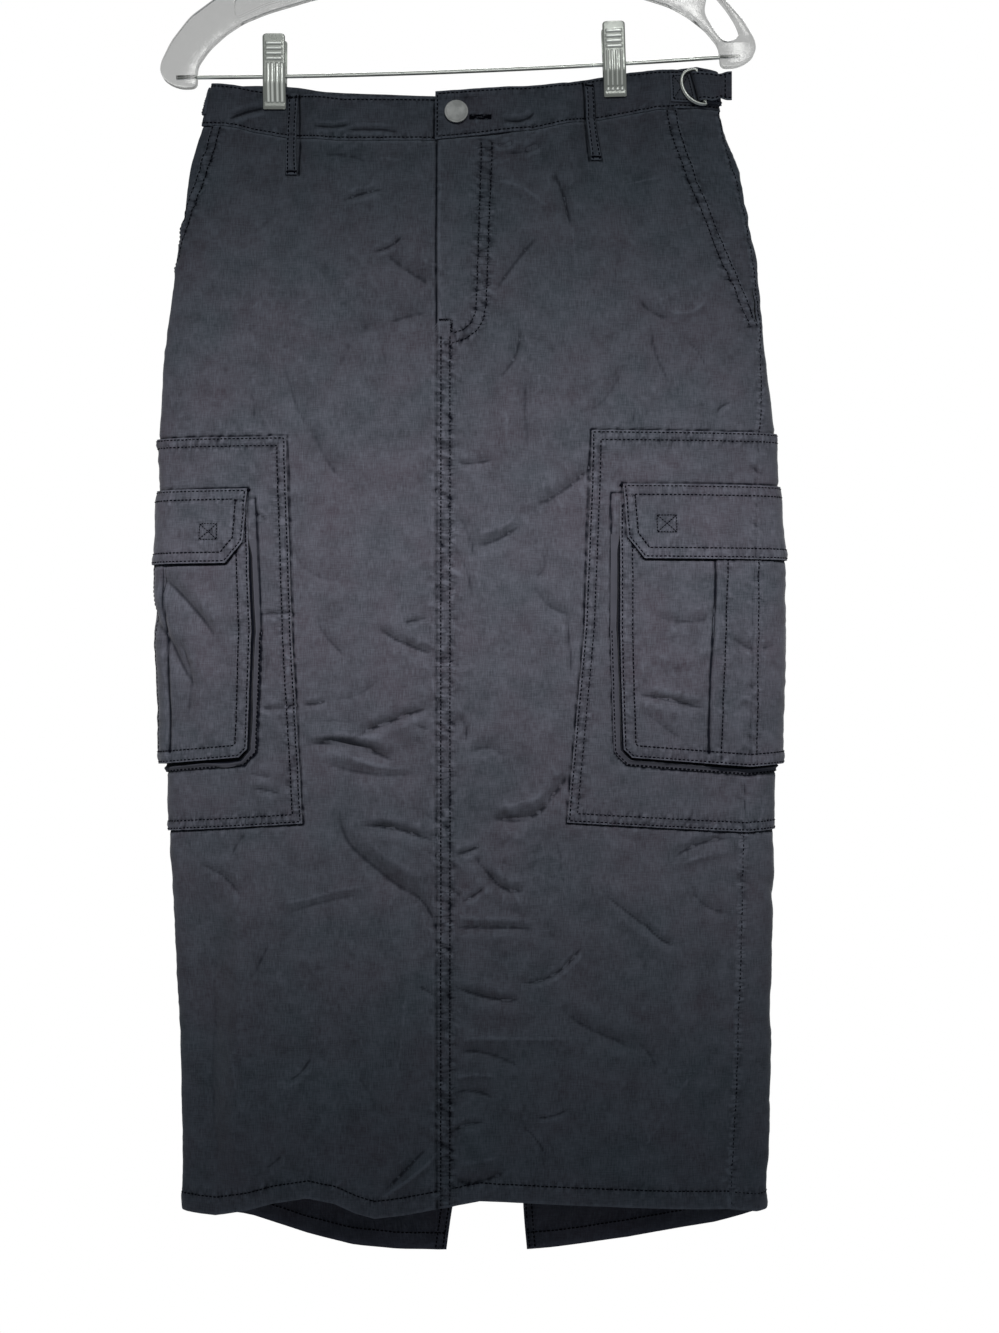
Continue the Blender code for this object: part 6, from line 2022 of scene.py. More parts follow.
def strap_rows(side_name, side, z_middle, half_thick, ridged):
    """Rows of points on one face of the strap: round the side, round the bars, and out as a tail."""
    widths = np.linspace(-1, 1, STRAP_ACROSS)
    half = ADJUSTER_HALF_HEIGHT
    first, last = (q_of(side * s, z_middle) for s in (STRAP_END_S[side_name], STRAP_TURN_S))

    def face(n, phase):
        """The strap's turned edges stand a little proud of its middle."""
        wave = STRAP_WAVE * value_noise(np.array(phase * 3.0), np.array(n * 2.0), 31)
        return float(STRAP_SWELL * ease(np.abs(n), *STRAP_SWELL_ENDS) + wave) if ridged else 0.0

    rows = []
    for k, q in enumerate(np.linspace(first, last, STRAP_ALONG)):
        s = abs(float(s_of(np.array([q]), np.array([z_middle]))[0]))
        lean = RING_LEAN * ease(s, *STRAP_LEAN_S) * half
        row = []
        for n in widths:
            shift = q_of(side * (s - lean * n), z_middle) - q_of(side * s, z_middle)
            row.append(on_form(q + shift, z_middle + half * n, STRAP_OUT + half_thick + face(n, k / 4)))
        rows.append(row)
    for step in range(1, STRAP_ROUND + 1):
        angle = math.pi * step / STRAP_ROUND
        inward = signed_power(math.sin(angle), STRAP_TURN_POWER)
        outward = signed_power(math.cos(angle), STRAP_TURN_POWER)
        s = STRAP_TURN_S - (STRAP_TURN_REACH - half_thick) * inward
        out = STRAP_OUT + STRAP_TURN - (STRAP_TURN - half_thick) * outward
        rows.append([band_place(side, s - RING_LEAN * half * n, out, half * n, z_middle) for n in widths])
    heading = math.radians(TAIL_HEADING[side_name])
    ahead = np.array((math.cos(heading), math.sin(heading), 0))
    root = rows[-1]
    middle = root[len(widths) // 2]
    for share in np.linspace(0.05, 1, STRAP_TAIL):
        lean = 1 - ease(share, 0, TAIL_STRAIGHT_BY)
        reach = half - TAIL_NECK * math.exp(-(((share - TAIL_NECK_AT) / TAIL_NECK_WIDTH) ** 2))
        row = []
        for start, n in zip(root, widths):
            place = start * lean + middle * (1 - lean) + ahead * TAIL_LENGTH * share
            place[2] = z_middle + n * reach
            place[1] -= face(n, share * 5) * 0.8 * float(ease(share, 0, 0.3))
            row.append(place)
        rows.append(row)
    return np.array(rows)


def add_strap(side_name, side):
    z_middle = ADJUSTER_Z[side_name]
    outer = strap_rows(side_name, side, z_middle, STRAP_CLOTH / 2, True)
    inner = strap_rows(side_name, side, z_middle, -STRAP_CLOTH / 2, False)
    rows, columns = outer.shape[:2]
    steps = np.linalg.norm(np.diff(outer[:, columns // 2], axis=0), axis=1)
    lengths = np.concatenate([[0], np.cumsum(steps)])
    s = np.repeat(lengths[:, None], columns, axis=1)
    z = np.repeat(np.linspace(-1, 1, columns)[None] * ADJUSTER_HALF_HEIGHT, rows, axis=0)
    wear = np.exp(-(ADJUSTER_HALF_HEIGHT - np.abs(z)) / WEAR_REACH)
    strap = closed_grid(f"look_adjuster_strap_{side_name}", outer, inner, s, z, wear)
    outside_out(strap)
    finish_piece(strap, "cloth", f"adjuster_strap_{side_name}")
    lines = [(inner[-STRAP_TIP_STITCH, 1:-1], outer[-STRAP_TIP_STITCH, 1:-1])]
    turn = STRAP_TAIL + STRAP_TURN_STITCH
    for k in STRAP_STITCH_COLUMNS:
        lines += [(outer[:-STRAP_TAIL, k], inner[:-STRAP_TAIL, k]), (inner[-turn:, k], outer[-turn:, k])]
    sewn = []
    for pair in lines:
        known = np.arange(len(pair[0]))
        spots = np.linspace(0, known[-1], 6 * len(known))
        line, under = (
            np.stack([np.interp(spots, known, path[:, k]) for k in range(3)], axis=1) for path in pair
        )
        outward = line - under
        outward /= np.linalg.norm(outward, axis=1, keepdims=True)
        sewn.append(beads(line + 0.05 * outward, outward))
    add_thread(f"adjuster_strap_{side_name}", sewn)


def outside_out(obj):
    """Turns all faces outwards."""
    bm = bmesh.new()
    bm.from_mesh(obj.data)
    bmesh.ops.recalc_face_normals(bm, faces=bm.faces[:])
    bm.to_mesh(obj.data)
    bm.free()


# The hanger, its rod, hook and clips.
HANGER_BEVEL = 1.3
RECESS_DEPTH = 2.2
SOCKET_MORE = 1
SOCKET_GAP = 0.25
PLATE_CELL = 0.5
PLATE_CORNER = 2.6
PLATE_LOW_CORNER = 0.8
PLATE_BEND_ROUND = 5
PLATE_EDGE = 0.35
PLATE_EDGE_WIDTH = 0.9
PLATE_BAR_INSET = 2.6
PLATE_DOT = 0.9
PRESSED_EDGE = 0.45
PLATE_BARS = (21.9, 18.4, 14.8, 11.2)
PLATE_BAR_HALF = 0.85
PLATE_BAR_RISE = 0.6
PLATE_RIBS = {
    "right": {"at": (-4.2, -1.3, 2.3, 5.7), "half": 0.8, "rise": 0.5, "ends": (-19.4, 7.6), "dots": None},
    "left": {"at": (-5.0, -1.7, 1.7, 5.0), "half": 0.5, "rise": 0.35, "ends": (-16.5, 8.2), "dots": -19.0},
}
EAR_SIDES = 28
COIL_TURNS = 5
COIL_WIRE = 0.8


def hanger_matrix():
    return Matrix.Rotation(HANGER_TILT, 4, "Y")


def filled_outline(name, outlines, half_thick, bevel):
    """A flat plate with holes in the XZ plane, its edges rounded, as a mesh object."""
    curve = bpy.data.curves.new(name, "CURVE")
    curve.dimensions = "2D"
    curve.fill_mode = "BOTH"
    curve.extrude = (half_thick - bevel) * MM
    curve.bevel_depth = bevel * MM
    curve.offset = -bevel * MM
    curve.bevel_resolution = 3 if bevel else 0
    for outline in outlines:
        spline = curve.splines.new("POLY")
        spline.points.add(len(outline) - 1)
        for point, (x, z) in zip(spline.points, outline):
            point.co = (x * MM, z * MM, 0, 1)
        spline.use_cyclic_u = True
    obj = bpy.data.objects.new(name, curve)
    bpy.context.scene.collection.objects.link(obj)
    bpy.context.view_layer.update()
    mesh = bpy.data.meshes.new_from_object(obj.evaluated_get(bpy.context.evaluated_depsgraph_get()))
    bpy.data.objects.remove(obj)
    bpy.data.curves.remove(curve)
    made = bpy.data.objects.new(name, mesh)
    bpy.context.scene.collection.objects.link(made)
    bm = bmesh.new()
    bm.from_mesh(mesh)
    bmesh.ops.rotate(bm, verts=bm.verts, matrix=Matrix.Rotation(math.pi / 2, 3, "X"))
    bmesh.ops.remove_doubles(bm, verts=bm.verts, dist=0.00001)
    bmesh.ops.recalc_face_normals(bm, faces=bm.faces[:])
    bm.to_mesh(mesh)
    bm.free()
    return made


def apply_cut(obj, tools, operation="DIFFERENCE"):
    """Cuts or joins with each tool, keeps the result in the mesh and removes the tools."""
    for tool in tools:
        step = obj.modifiers.new(tool.name, "BOOLEAN")
        step.operation = operation
        step.object = tool
        step.solver = "EXACT"
    bpy.context.view_layer.update()
    mesh = bpy.data.meshes.new_from_object(obj.evaluated_get(bpy.context.evaluated_depsgraph_get()))
    obj.modifiers.clear()
    old = obj.data
    obj.data = mesh
    bpy.data.meshes.remove(old)
    for tool in tools:
        bpy.data.objects.remove(tool)


def hanger_outline():
    right = [*HANGER_OUTER[1:], *HANGER_INNER]
    return [HANGER_OUTER[0], *right, *[(-x, z) for x, z in reversed(right[:-1])]]


def rounded(points, reach=4.8):
    """An outline with its bends rounded over this length of each run."""
    points = np.array(points, float)
    made = []
    for before, here, after in zip(np.roll(points, 1, axis=0), points, np.roll(points, -1, axis=0)):
        first, second = here - before, after - here
        cut = min(reach, 0.45 * np.linalg.norm(first), 0.45 * np.linalg.norm(second))
        start = here - first / np.linalg.norm(first) * cut
        end = here + second / np.linalg.norm(second) * cut
        t = np.linspace(0, 1, 6)[:, None]
        made.append((1 - t) ** 2 * start + 2 * t * (1 - t) * here + t**2 * end)
    return np.concatenate(made).tolist()


def add_hanger():
    outlines = [rounded(hanger_outline()), rounded(HANGER_SLOT)]
    body = filled_outline("look_hanger_body", outlines, HANGER_HALF_THICK, HANGER_BEVEL)
    tools = []
    for arm in (-1, 1):
        outline = rounded([(arm * x, z) for x, z in (*RECESS_OUTER, *RECESS_INNER)])
        for face in (-1, 1):
            tool = filled_outline(f"recess_{arm + 1}_{face + 1}", [outline], RECESS_DEPTH, 0)
            tool.data.transform(Matrix.Translation((0, face * HANGER_HALF_THICK * MM, 0)))
            tools.append(tool)
    path = rod_path(ROD_HALF_LENGTH + SOCKET_MORE)
    socket = add_mesh("socket", *tube_mesh(path, ROD_RADIUS + SOCKET_GAP, 20))
    outside_out(socket)
    apply_cut(body, [*tools, socket])
    body.data.transform(hanger_matrix())
    body.data.shade_smooth()
    body.data.set_sharp_from_angle(angle=math.radians(40))
    finish_piece(body, "clear_plastic", "hanger_body")
    add_wire("hanger_rod", rod_path(ROD_HALF_LENGTH), ROD_RADIUS, 24, hanger_matrix())
    add_wire("hanger_hook", hook_path(), HOOK_WIRE, 24, hanger_matrix())


def rod_height(x):
    """The rod's level in the hanger's frame, where the skirt's weight bends it."""
    return ROD_Z - ROD_SAG * max(0.0, 1 - (x / ROD_SPAN) ** 2)


def rod_path(half_length):
    return [(x, 0, rod_height(x)) for x in np.linspace(-half_length, half_length, 61)]


def hook_path():
    """A straight shank, a bow to one side, and the round hook over the rail."""
    radius, centre_z = HOOK_INNER_RADIUS + HOOK_WIRE, -HOOK_INNER_RADIUS
    start = math.radians(HOOK_START_ANGLE)
    joint = (radius * math.cos(start), radius * math.sin(start) + centre_z)
    path = [(0, 0, z) for z in np.linspace(HOOK_SHANK_END, HOOK_SHANK_TOP - 5, 5)]
    for share in np.linspace(0, 0.94, 12):
        bow = (share + float(ease(share, 0, 1))) / 2
        level = HOOK_SHANK_TOP + (joint[1] - HOOK_SHANK_TOP) * share
        path.append((HOOK_BOW_X + (joint[0] - HOOK_BOW_X) * bow, 0, level))
    for angle in np.radians(np.linspace(HOOK_START_ANGLE, HOOK_TIP_ANGLE, 60)):
        path.append((radius * math.cos(angle), 0, radius * math.sin(angle) + centre_z))
    return path


def rod_place(x):
    """The point on the tilted rod at this world x."""
    own_x = x
    for _ in range(4):
        place = hanger_matrix() @ Vector((own_x, 0, rod_height(own_x)))
        own_x += x - place.x
    return place


def plate_rise(x, z, ribs):
    """How far a plate's pressed bars, ribs and dots stand out of it."""
    rise = np.zeros_like(x)
    for bar in PLATE_BARS:
        across_plate = press(x, CLIP_WIDTH / 2 - PLATE_BAR_INSET)
        rise = np.maximum(rise, PLATE_BAR_RISE * press(z - bar, PLATE_BAR_HALF) * across_plate)
    low, high = ribs["ends"]
    along_rib = press(z - (low + high) / 2, (high - low) / 2)
    for rib in ribs["at"]:
        rise = np.maximum(rise, ribs["rise"] * press(x - rib, ribs["half"]) * along_rib)
        if ribs["dots"]:
            rise = np.maximum(rise, PLATE_BAR_RISE * press(np.hypot(x - rib, z - ribs["dots"]), PLATE_DOT))
    return rise


def add_plate(node, face, place, ribs):
    """One jaw of a clip: a bent plate with pressed bars and ribs, and two ears that ride on the rod."""
    levels = np.linspace(PLATE[0][0], PLATE[-1][0], round((PLATE[0][0] - PLATE[-1][0]) / PLATE_CELL))
    profile = sorted(PLATE)
    forward = np.interp(levels, [z for z, _ in profile], [f for _, f in profile])
    kernel = np.ones(PLATE_BEND_ROUND) / PLATE_BEND_ROUND
    forward = np.convolve(np.pad(forward, PLATE_BEND_ROUND // 2, mode="edge"), kernel, mode="valid")
    half = CLIP_WIDTH / 2
    narrow = np.zeros_like(levels)
    for distance, corner in ((levels[0] - levels, PLATE_CORNER), (levels - levels[-1], PLATE_LOW_CORNER)):
        gap = np.clip(corner - distance, 0, corner)
        narrow = np.maximum(narrow, corner - np.sqrt(np.maximum(corner**2 - gap**2, 0)))
    reach = half - narrow[:, None]
    x = np.linspace(-1, 1, round(CLIP_WIDTH / PLATE_CELL) + 1)[None] * reach
    z = np.repeat(levels[:, None], x.shape[1], axis=1)
    rise = plate_rise(x, z, ribs)
    edge = PLATE_EDGE * (1 - ease(reach - np.abs(x), 0, PLATE_EDGE_WIDTH))
    out = forward[:, None] + CLIP_THICK / 2 + rise - edge
    inner = np.broadcast_to(forward[:, None] - CLIP_THICK / 2, x.shape)
    outside, inside = (np.stack([x, -face * depth, z], axis=2) for depth in (out, inner))
    # Painted highlight on the pressed bars and ribs, painted shade on the flat plate between them.
    painted_highlight = np.clip(4 * rise - 1, -1, 1)
    plate = closed_grid(f"look_{node}", outside[::-1], inside[::-1], x[::-1], z[::-1], painted_highlight[::-1])
    outside_out(plate)
    for ear_side in (-1, 1):
        ear = add_mesh("ear", *ear_mesh(face, ear_side, EAR_INSET["front" if face > 0 else "back"]))
        outside_out(ear)
        apply_cut(plate, [ear], "UNION")
    plate.data.transform(place)
    plate.data.shade_smooth()
    plate.data.set_sharp_from_angle(angle=math.radians(38))
    finish_piece(plate, "pressed", node, slot="bright_metal")


def press(distance, half):
    """1 within half of the middle, 0 beyond, with pressed edges."""
    return 1 - ease(np.abs(distance), half - PRESSED_EDGE, half + PRESSED_EDGE)


def ear_mesh(face, ear_side, inset_x):
    """A flat lug in the YZ plane: round behind the rod, square up to the plate, with the rod's hole."""
    x_outer = ear_side * (CLIP_WIDTH / 2 - inset_x)
    x_inner = x_outer - ear_side * CLIP_THICK
    rim, hole = [], []
    for step in range(EAR_SIDES):
        angle = 2 * math.pi * step / EAR_SIDES
        y, z = math.cos(angle), math.sin(angle)
        if y > 0:
            reach = min(EAR_REACH / y, EAR_HALF_HEIGHT / max(abs(z), MM))
        else:
            reach = EAR_RADIUS + (EAR_HALF_HEIGHT - EAR_RADIUS) * abs(z)
        rim.append((-face * reach * y, reach * z))
        hole.append((-face * EAR_HOLE * y, EAR_HOLE * z))
    points = [(x, y, z) for x in (x_outer, x_inner) for y, z in (*rim, *hole)]
    faces = []
    for i in range(EAR_SIDES):
        j = (i + 1) % EAR_SIDES
        rims = (i, j), (2 * EAR_SIDES + i, 2 * EAR_SIDES + j)
        holes = (EAR_SIDES + i, EAR_SIDES + j), (3 * EAR_SIDES + i, 3 * EAR_SIDES + j)
        for first, second in (*zip(rims, holes), rims, holes):
            faces.append([*first, *reversed(second)])
    return points, faces


def add_clip(side_name):
    lean = Matrix.Rotation(CLIP_LEAN[side_name], 4, "Y")
    place = Matrix.Translation(rod_place(CLIP_X[side_name]) * MM) @ lean
    for end, face in (("front", 1), ("back", -1)):
        add_plate(f"clip_{side_name}_{end}", face, place, PLATE_RIBS[side_name])
    turn = np.linspace(0, 2 * math.pi * COIL_TURNS, COIL_TURNS * 24)
    reach, half = SPRING_RADIUS - COIL_WIRE, SPRING_LENGTH / 2 - COIL_WIRE
    path = np.stack([np.linspace(-half, half, len(turn)), reach * np.cos(turn), reach * np.sin(turn)], axis=1)
    add_wire(f"clip_{side_name}_spring", path, COIL_WIRE, 10, place)


# Materials.
CLOTH_COOL = (0.0275, 0.0325, 0.0375)
CLOTH_WARM = (0.0378, 0.0312, 0.0378)
CLOTH_PALE = (0.075, 0.077, 0.09)
# The near-black of painted shade, for valleys, grooves, the gusset's gap and pucker rungs.
CLOTH_PAINTED_SHADE = (0.003, 0.0035, 0.006)
THREAD_COLOUR = (0.002, 0.002, 0.0035)
ZIP_COLOUR = (0.012, 0.013, 0.016)
SATIN = (0.36, 0.37, 0.37)
NICKEL = (0.56, 0.585, 0.56)
# Lit and shaded copies of the clips' nickel: painted shade for the flat plate, painted highlight for its
# pressed bars and ribs.
NICKEL_PAINTED_SHADE = (0.27, 0.285, 0.27)
NICKEL_PAINTED_HIGHLIGHT = (0.85, 0.88, 0.85)
TWILL_PITCH = 0.75
# Scales of the noises, each in cells to a metre.
WORN_SCALE = 420.0
RUNG_RUN = 60
RUNG_PITCH = 175
SMUDGE_SCALE = 160.0
BRUSH_SCALE = (300, 300, 2600)
GROUPS = {}


class Graph:
    """A short way to write down a node tree."""

    def __init__(self, tree):
        self.tree = tree

    def add(self, kind, settings=None, **inputs):
        node = self.tree.nodes.new(kind)
        for name, value in (settings or {}).items():
            setattr(node, name, value)
        for name, value in inputs.items():
            self.put(node.inputs[name.replace("_", " ")], value)
        return node

    def put(self, socket, value):
        if isinstance(value, bpy.types.NodeSocket):
            self.tree.links.new(value, socket)
        else:
            socket.default_value = value

    def maths(self, operation, first, second=0.0, third=0.0):
        node = self.add("ShaderNodeMath", {"operation": operation})
        for socket, value in zip(node.inputs, (first, second, third)):
            self.put(socket, value)
        return node.outputs[0]

    def noise(self, vector, scale, detail=2.0, roughness=0.5):
        made = self.add("ShaderNodeTexNoise", Vector=vector, Scale=scale, Detail=detail, Roughness=roughness)
        return made.outputs["Fac"]

    def ramp(self, value, low, high, to_low=0.0, to_high=1.0):
        node = self.add("ShaderNodeMapRange", {"interpolation_type": "SMOOTHSTEP"}, Value=value)
        for socket, number in zip(node.inputs[1:5], (low, high, to_low, to_high)):
            self.put(socket, number)
        return node.outputs[0]

    def mixed(self, factor, first, second):
        node = self.add("ShaderNodeMix", {"data_type": "RGBA", "clamp_factor": True})
        self.put(node.inputs["Factor"], factor)
        for name, value in (("A", first), ("B", second)):
            self.put(next(s for s in node.inputs if s.name == name and s.type == "RGBA"), value)
        return next(socket for socket in node.outputs if socket.type == "RGBA")

    def scaled(self, vector, scale, turn=0.0):
        node = self.add("ShaderNodeMapping", Vector=vector, Scale=scale, Rotation=(0, 0, turn))
        return node.outputs[0]


def group(name, inputs, outputs, fill):
    """A node group with these inputs, at their usual values, and the outputs that fill makes."""
    if name not in GROUPS:
        tree = bpy.data.node_groups.new(name, "ShaderNodeTree")
        for key, value in inputs.items():
            socket = tree.interface.new_socket(key, in_out="INPUT", socket_type="NodeSocketFloat")
            socket.default_value = value
        for output in outputs:
            tree.interface.new_socket(output, in_out="OUTPUT", socket_type="NodeSocketFloat")
        graph = Graph(tree)
        given = graph.add("NodeGroupInput").outputs
        end = graph.add("NodeGroupOutput")
        for output, value in zip(outputs, fill(graph, *(given[key] for key in inputs))):
            graph.put(end.inputs[output], value)
        GROUPS[name] = tree
    return GROUPS[name]


def fill_weave(graph):
    """Twill ribs, uneven yarns up the cloth, and slow patches of wash."""
    pattern = graph.add("ShaderNodeUVMap", {"uv_map": "pattern"}).outputs[0]
    settings = {"wave_type": "BANDS", "bands_direction": "DIAGONAL"}
    scale = 2 * math.pi / (10 * TWILL_PITCH * MM)
    ribs = graph.add("ShaderNodeTexWave", settings, Vector=pattern, Scale=scale, Distortion=0.6)
    yarn = graph.noise(graph.scaled(pattern, (1500, 130, 1)), 1.0, 2.0, 0.55)
    weft = graph.noise(graph.scaled(pattern, (140, 1200, 1)), 1.0, 1.0, 0.5)
    slub = graph.maths("MULTIPLY_ADD", weft, 0.35, graph.maths("MULTIPLY", yarn, 0.65))
    wash = graph.noise(pattern, 60.0, 6.0, 0.72)
    hue = graph.ramp(graph.noise(pattern, 17.0, 3.0, 0.6), 0.28, 0.72)
    return ribs.outputs["Fac"], slub, wash, hue


def fill_wear_and_shade(graph):
    """Where edges are rubbed pale and ridges are painted pale as a highlight, and where valleys, grooves, the
    gusset's gap and the rungs beside seams get painted shade.
    """
    edge = graph.add("ShaderNodeAttribute", {"attribute_name": "wear"}).outputs["Fac"]
    pattern = graph.add("ShaderNodeUVMap", {"uv_map": "pattern"}).outputs[0]
    broken = graph.ramp(graph.noise(pattern, WORN_SCALE, 3.0, 0.7), 0.3, 0.7, 0.3, 1.0)
    worn_and_highlit = graph.maths("MULTIPLY", graph.ramp(edge, 0.1, 1.0), broken)
    seamed = graph.add("ShaderNodeAttribute", {"attribute_name": "seamed"}).outputs["Fac"]
    # Rungs: thin lines across the cloth beside seams, painted darker as the shade of the pucker valleys, and
    # also sunk by the bump.
    rung = 0.0
    for way, scale in ((1, (RUNG_RUN, RUNG_PITCH, 1)), (-1, (RUNG_PITCH, RUNG_RUN, 1))):
        swing = graph.maths("SUBTRACT", graph.noise(graph.scaled(pattern, scale), 1.0, 1.0, 0.5), 0.5)
        line = graph.ramp(graph.maths("ABSOLUTE", swing), 0.01, 0.08, 1.0, 0.0)
        beside = graph.maths("MAXIMUM", graph.maths("MULTIPLY", seamed, way), 0.0)
        rung = graph.maths("MULTIPLY_ADD", line, beside, rung)
    # Painted shade: the rungs, and wherever the attribute is below 0, in valleys, grooves and the gusset's
    # gap.
    painted_shade = graph.maths("MULTIPLY_ADD", rung, 0.58, graph.ramp(edge, -0.1, -1.5))
    return worn_and_highlit, painted_shade, rung


def fill_marks(graph, clear, marked, least, most):
    """Fine smudges for surfaces without a pattern, as a roughness from least to most, and brushing."""
    place = graph.add("ShaderNodeTexCoord").outputs["Object"]
    smudge = graph.noise(place, SMUDGE_SCALE, 4.0, 0.6)
    brushed = graph.noise(graph.scaled(place, BRUSH_SCALE), 1.0, 2.0)
    return graph.ramp(smudge, clear, marked, least, most), smudge, brushed


def new_material(name, **inputs):
    material = bpy.data.materials.new(name)
    material.use_nodes = True
    graph = Graph(material.node_tree)
    shader = material.node_tree.nodes["Principled BSDF"]
    for key, value in inputs.items():
        graph.put(shader.inputs[key.replace("_", " ")], value)
    return material, graph, shader


def grouped(graph, name, outputs, fill, **inputs):
    """The outputs of a node group that is placed with these values."""
    node = graph.add("ShaderNodeGroup", {"node_tree": group(name, inputs, outputs, fill)}, **inputs)
    return [node.outputs[output] for output in outputs]


def marks(graph, least, most, clear=0.3, marked=0.7):
    """Roughness, smudges and brushing of a finish that is nowhere smoother than least."""
    values = {"Clear": clear, "Marked": marked, "Least": least, "Most": most}
    return grouped(graph, "skirt_marks", ("Roughness", "Smudge", "Brushed"), fill_marks, **values)


def cloth_material():
    settings = bpy.context.scene.skirt_cloth
    material, graph, shader = new_material("washed_twill", Roughness=0.72)
    shader.inputs["Specular IOR Level"].default_value = 0.08
    shader.inputs["Sheen Weight"].default_value = settings.sheen
    shader.inputs["Sheen Roughness"].default_value = 0.45
    ribs, slub, wash, hue = grouped(graph, "skirt_weave", ("Ribs", "Slub", "Wash", "Hue"), fill_weave)
    worn_and_highlit, painted_shade, rung = grouped(graph, "skirt_wear_and_shade", ("Worn and highlit", "Painted shade", "Rung"), fill_wear_and_shade)
    shade = graph.maths("MULTIPLY_ADD", graph.maths("SUBTRACT", slub, 0.5), 2.0, 0.42)
    shade = graph.maths("MULTIPLY_ADD", graph.maths("SUBTRACT", wash, 0.5), 1.4, shade)
    shade = graph.maths("MULTIPLY_ADD", graph.maths("SUBTRACT", ribs, 0.5), 0.16, shade)
    # Rubbed edges and the painted highlight on ridges make the cloth paler.
    shade = graph.maths("MULTIPLY_ADD", worn_and_highlit, settings.wear, shade)
    cloth_colours = CLOTH_COOL, CLOTH_WARM, CLOTH_PALE, CLOTH_PAINTED_SHADE
    cool, warm, pale, dark = ((*(c * settings.depth for c in colour), 1) for colour in cloth_colours)
    washed = graph.mixed(shade, graph.mixed(hue, cool, warm), pale)
    # Painted shade: valleys, grooves, the gusset's gap and pucker rungs are mixed towards the near-black.
    graph.put(shader.inputs["Base Color"], graph.mixed(painted_shade, washed, dark))
    height = graph.maths("MULTIPLY_ADD", slub, 1.6, graph.maths("MULTIPLY", ribs, 0.5))
    height = graph.maths("MULTIPLY_ADD", rung, -3.0, height)
    bump = graph.add("ShaderNodeBump", Height=height, Strength=0.32, Distance=0.00028)
    graph.put(shader.inputs["Normal"], bump.outputs[0])
    return material


def thread_material():
    material, graph, shader = new_material("dark_thread", Base_Color=(*THREAD_COLOUR, 1))
    shader.inputs["Specular IOR Level"].default_value = 0.02
    graph.put(shader.inputs["Roughness"], marks(graph, 0.5, 0.75)[0])
    return material


def zip_material():
    material, graph, shader = new_material("zip_tape", Base_Color=(*ZIP_COLOUR, 1))
    graph.put(shader.inputs["Roughness"], marks(graph, 0.45, 0.7)[0])
    return material


def fill_painted_highlight(graph):
    """Painted highlight on the raised ribs, and painted shade on the sunk faces beside them."""
    edge = graph.add("ShaderNodeAttribute", {"attribute_name": "wear"}).outputs["Fac"]
    return (graph.ramp(edge, -1.0, 1.0),)


def metal_material(name, colour, roughness, brush, painted_shade_colour=None):
    """Brushed metal; where a painted shade colour is given, the sunk faces between its raised ribs take it as
    painted shade, and the ribs keep the main colour as a painted highlight.
    """
    material, graph, shader = new_material(name, Base_Color=(*colour, 1), Metallic=1.0)
    if painted_shade_colour:
        (painted_highlight,) = grouped(graph, "skirt_painted_highlight", ("Painted highlight",), fill_painted_highlight)
        graph.put(shader.inputs["Base Color"], graph.mixed(painted_highlight, (*painted_shade_colour, 1), (*colour, 1)))
    rough, _, brushed = marks(graph, roughness * 0.8, roughness * 1.25)
    graph.put(shader.inputs["Roughness"], rough)
    bump = graph.add("ShaderNodeBump", Height=brushed, Strength=brush, Distance=0.00005)
    graph.put(shader.inputs["Normal"], bump.outputs[0])
    return material


def plastic_material():
    settings = bpy.context.scene.skirt_holder
    material, graph, shader = new_material("clear_hanger", Transmission_Weight=1.0, IOR=1.49)
    tint = settings.plastic_tint
    shader.inputs["Base Color"].default_value = (tint, tint * 1.01, tint, 1)
    rough, smudge, _ = marks(graph, 0.05, 0.2, clear=0.35, marked=0.75)
    graph.put(shader.inputs["Roughness"], rough)
    bump = graph.add("ShaderNodeBump", Height=smudge, Strength=0.35, Distance=0.0004)
    graph.put(shader.inputs["Normal"], bump.outputs[0])
    return material


def kept(name, make, *values):
    """Makes the material at its first use."""

    def get():
        if name not in FINISHES:
            FINISHES[name] = make(*values)
        return FINISHES[name]

    return get


FINISHES = {}
MATERIALS = {
    "cloth": kept("cloth", cloth_material),
    "thread": kept("thread", thread_material),
    "zip": kept("zip", zip_material),
    "matte_metal": kept("matte_metal", metal_material, "satin_button", SATIN, 0.6, 0.1),
    "bright_metal": kept("bright_metal", metal_material, "nickel", NICKEL, 0.33, 0.03),
    "pressed": kept("pressed", metal_material, "pressed_nickel", NICKEL_PAINTED_HIGHLIGHT, 0.33, 0.03, NICKEL_PAINTED_SHADE),
    "clear_plastic": kept("clear_plastic", plastic_material),
}


# The studio.
CAMERA_PLACE = (0.037, -1.8, -0.6226)
CAMERA_LENS = 67.2
FLOOR_Z = -1.5
FLOOR_RADIUS = 1.25
FLOOR_SIDES = 96
STRIP_PLACE = (-0.05, -1.35, 0.3)
STRIP_SIZE = (2.0, 0.1)
BROAD_PLACE = (0.12, -1.35, 0.3)
INNER_TARGET = (0.02, 0, -0.585)
INNER_SPREAD = 20
INNER_COLOUR = (1, 0.87, 0.92)
BROAD_TARGET = (0.095, 0, -0.59)
BROAD_SPREAD = 36
BROAD_COLOUR = (0.83, 1, 0.99)
SURROUND_COLOUR = (0.6, 0.73, 1.0, 1)
TOP_PLACE = (0.2, -1.5, 0.17)
TOP_TARGET = (0.02, 0, -0.1)
TOP_SIZE = (0.9, 0.45)
TOP_SPREAD = 18
TOP_COLOUR = (1, 1, 0.98)
BACK_PLACE = (0.3, 2.0, 1.05)
BACK_TARGET = (0, 0, -0.6)
BACK_SIZE = (2.2, 0.7)
BACK_SPREAD = 80
FLOOR_COLOUR = (0.82, 0.82, 0.82, 1)
FLOOR_SEEN = (0.5, 0.5, 0.5, 1)
MIRRORED_COLOUR = (0.98, 1.0, 0.98, 1)
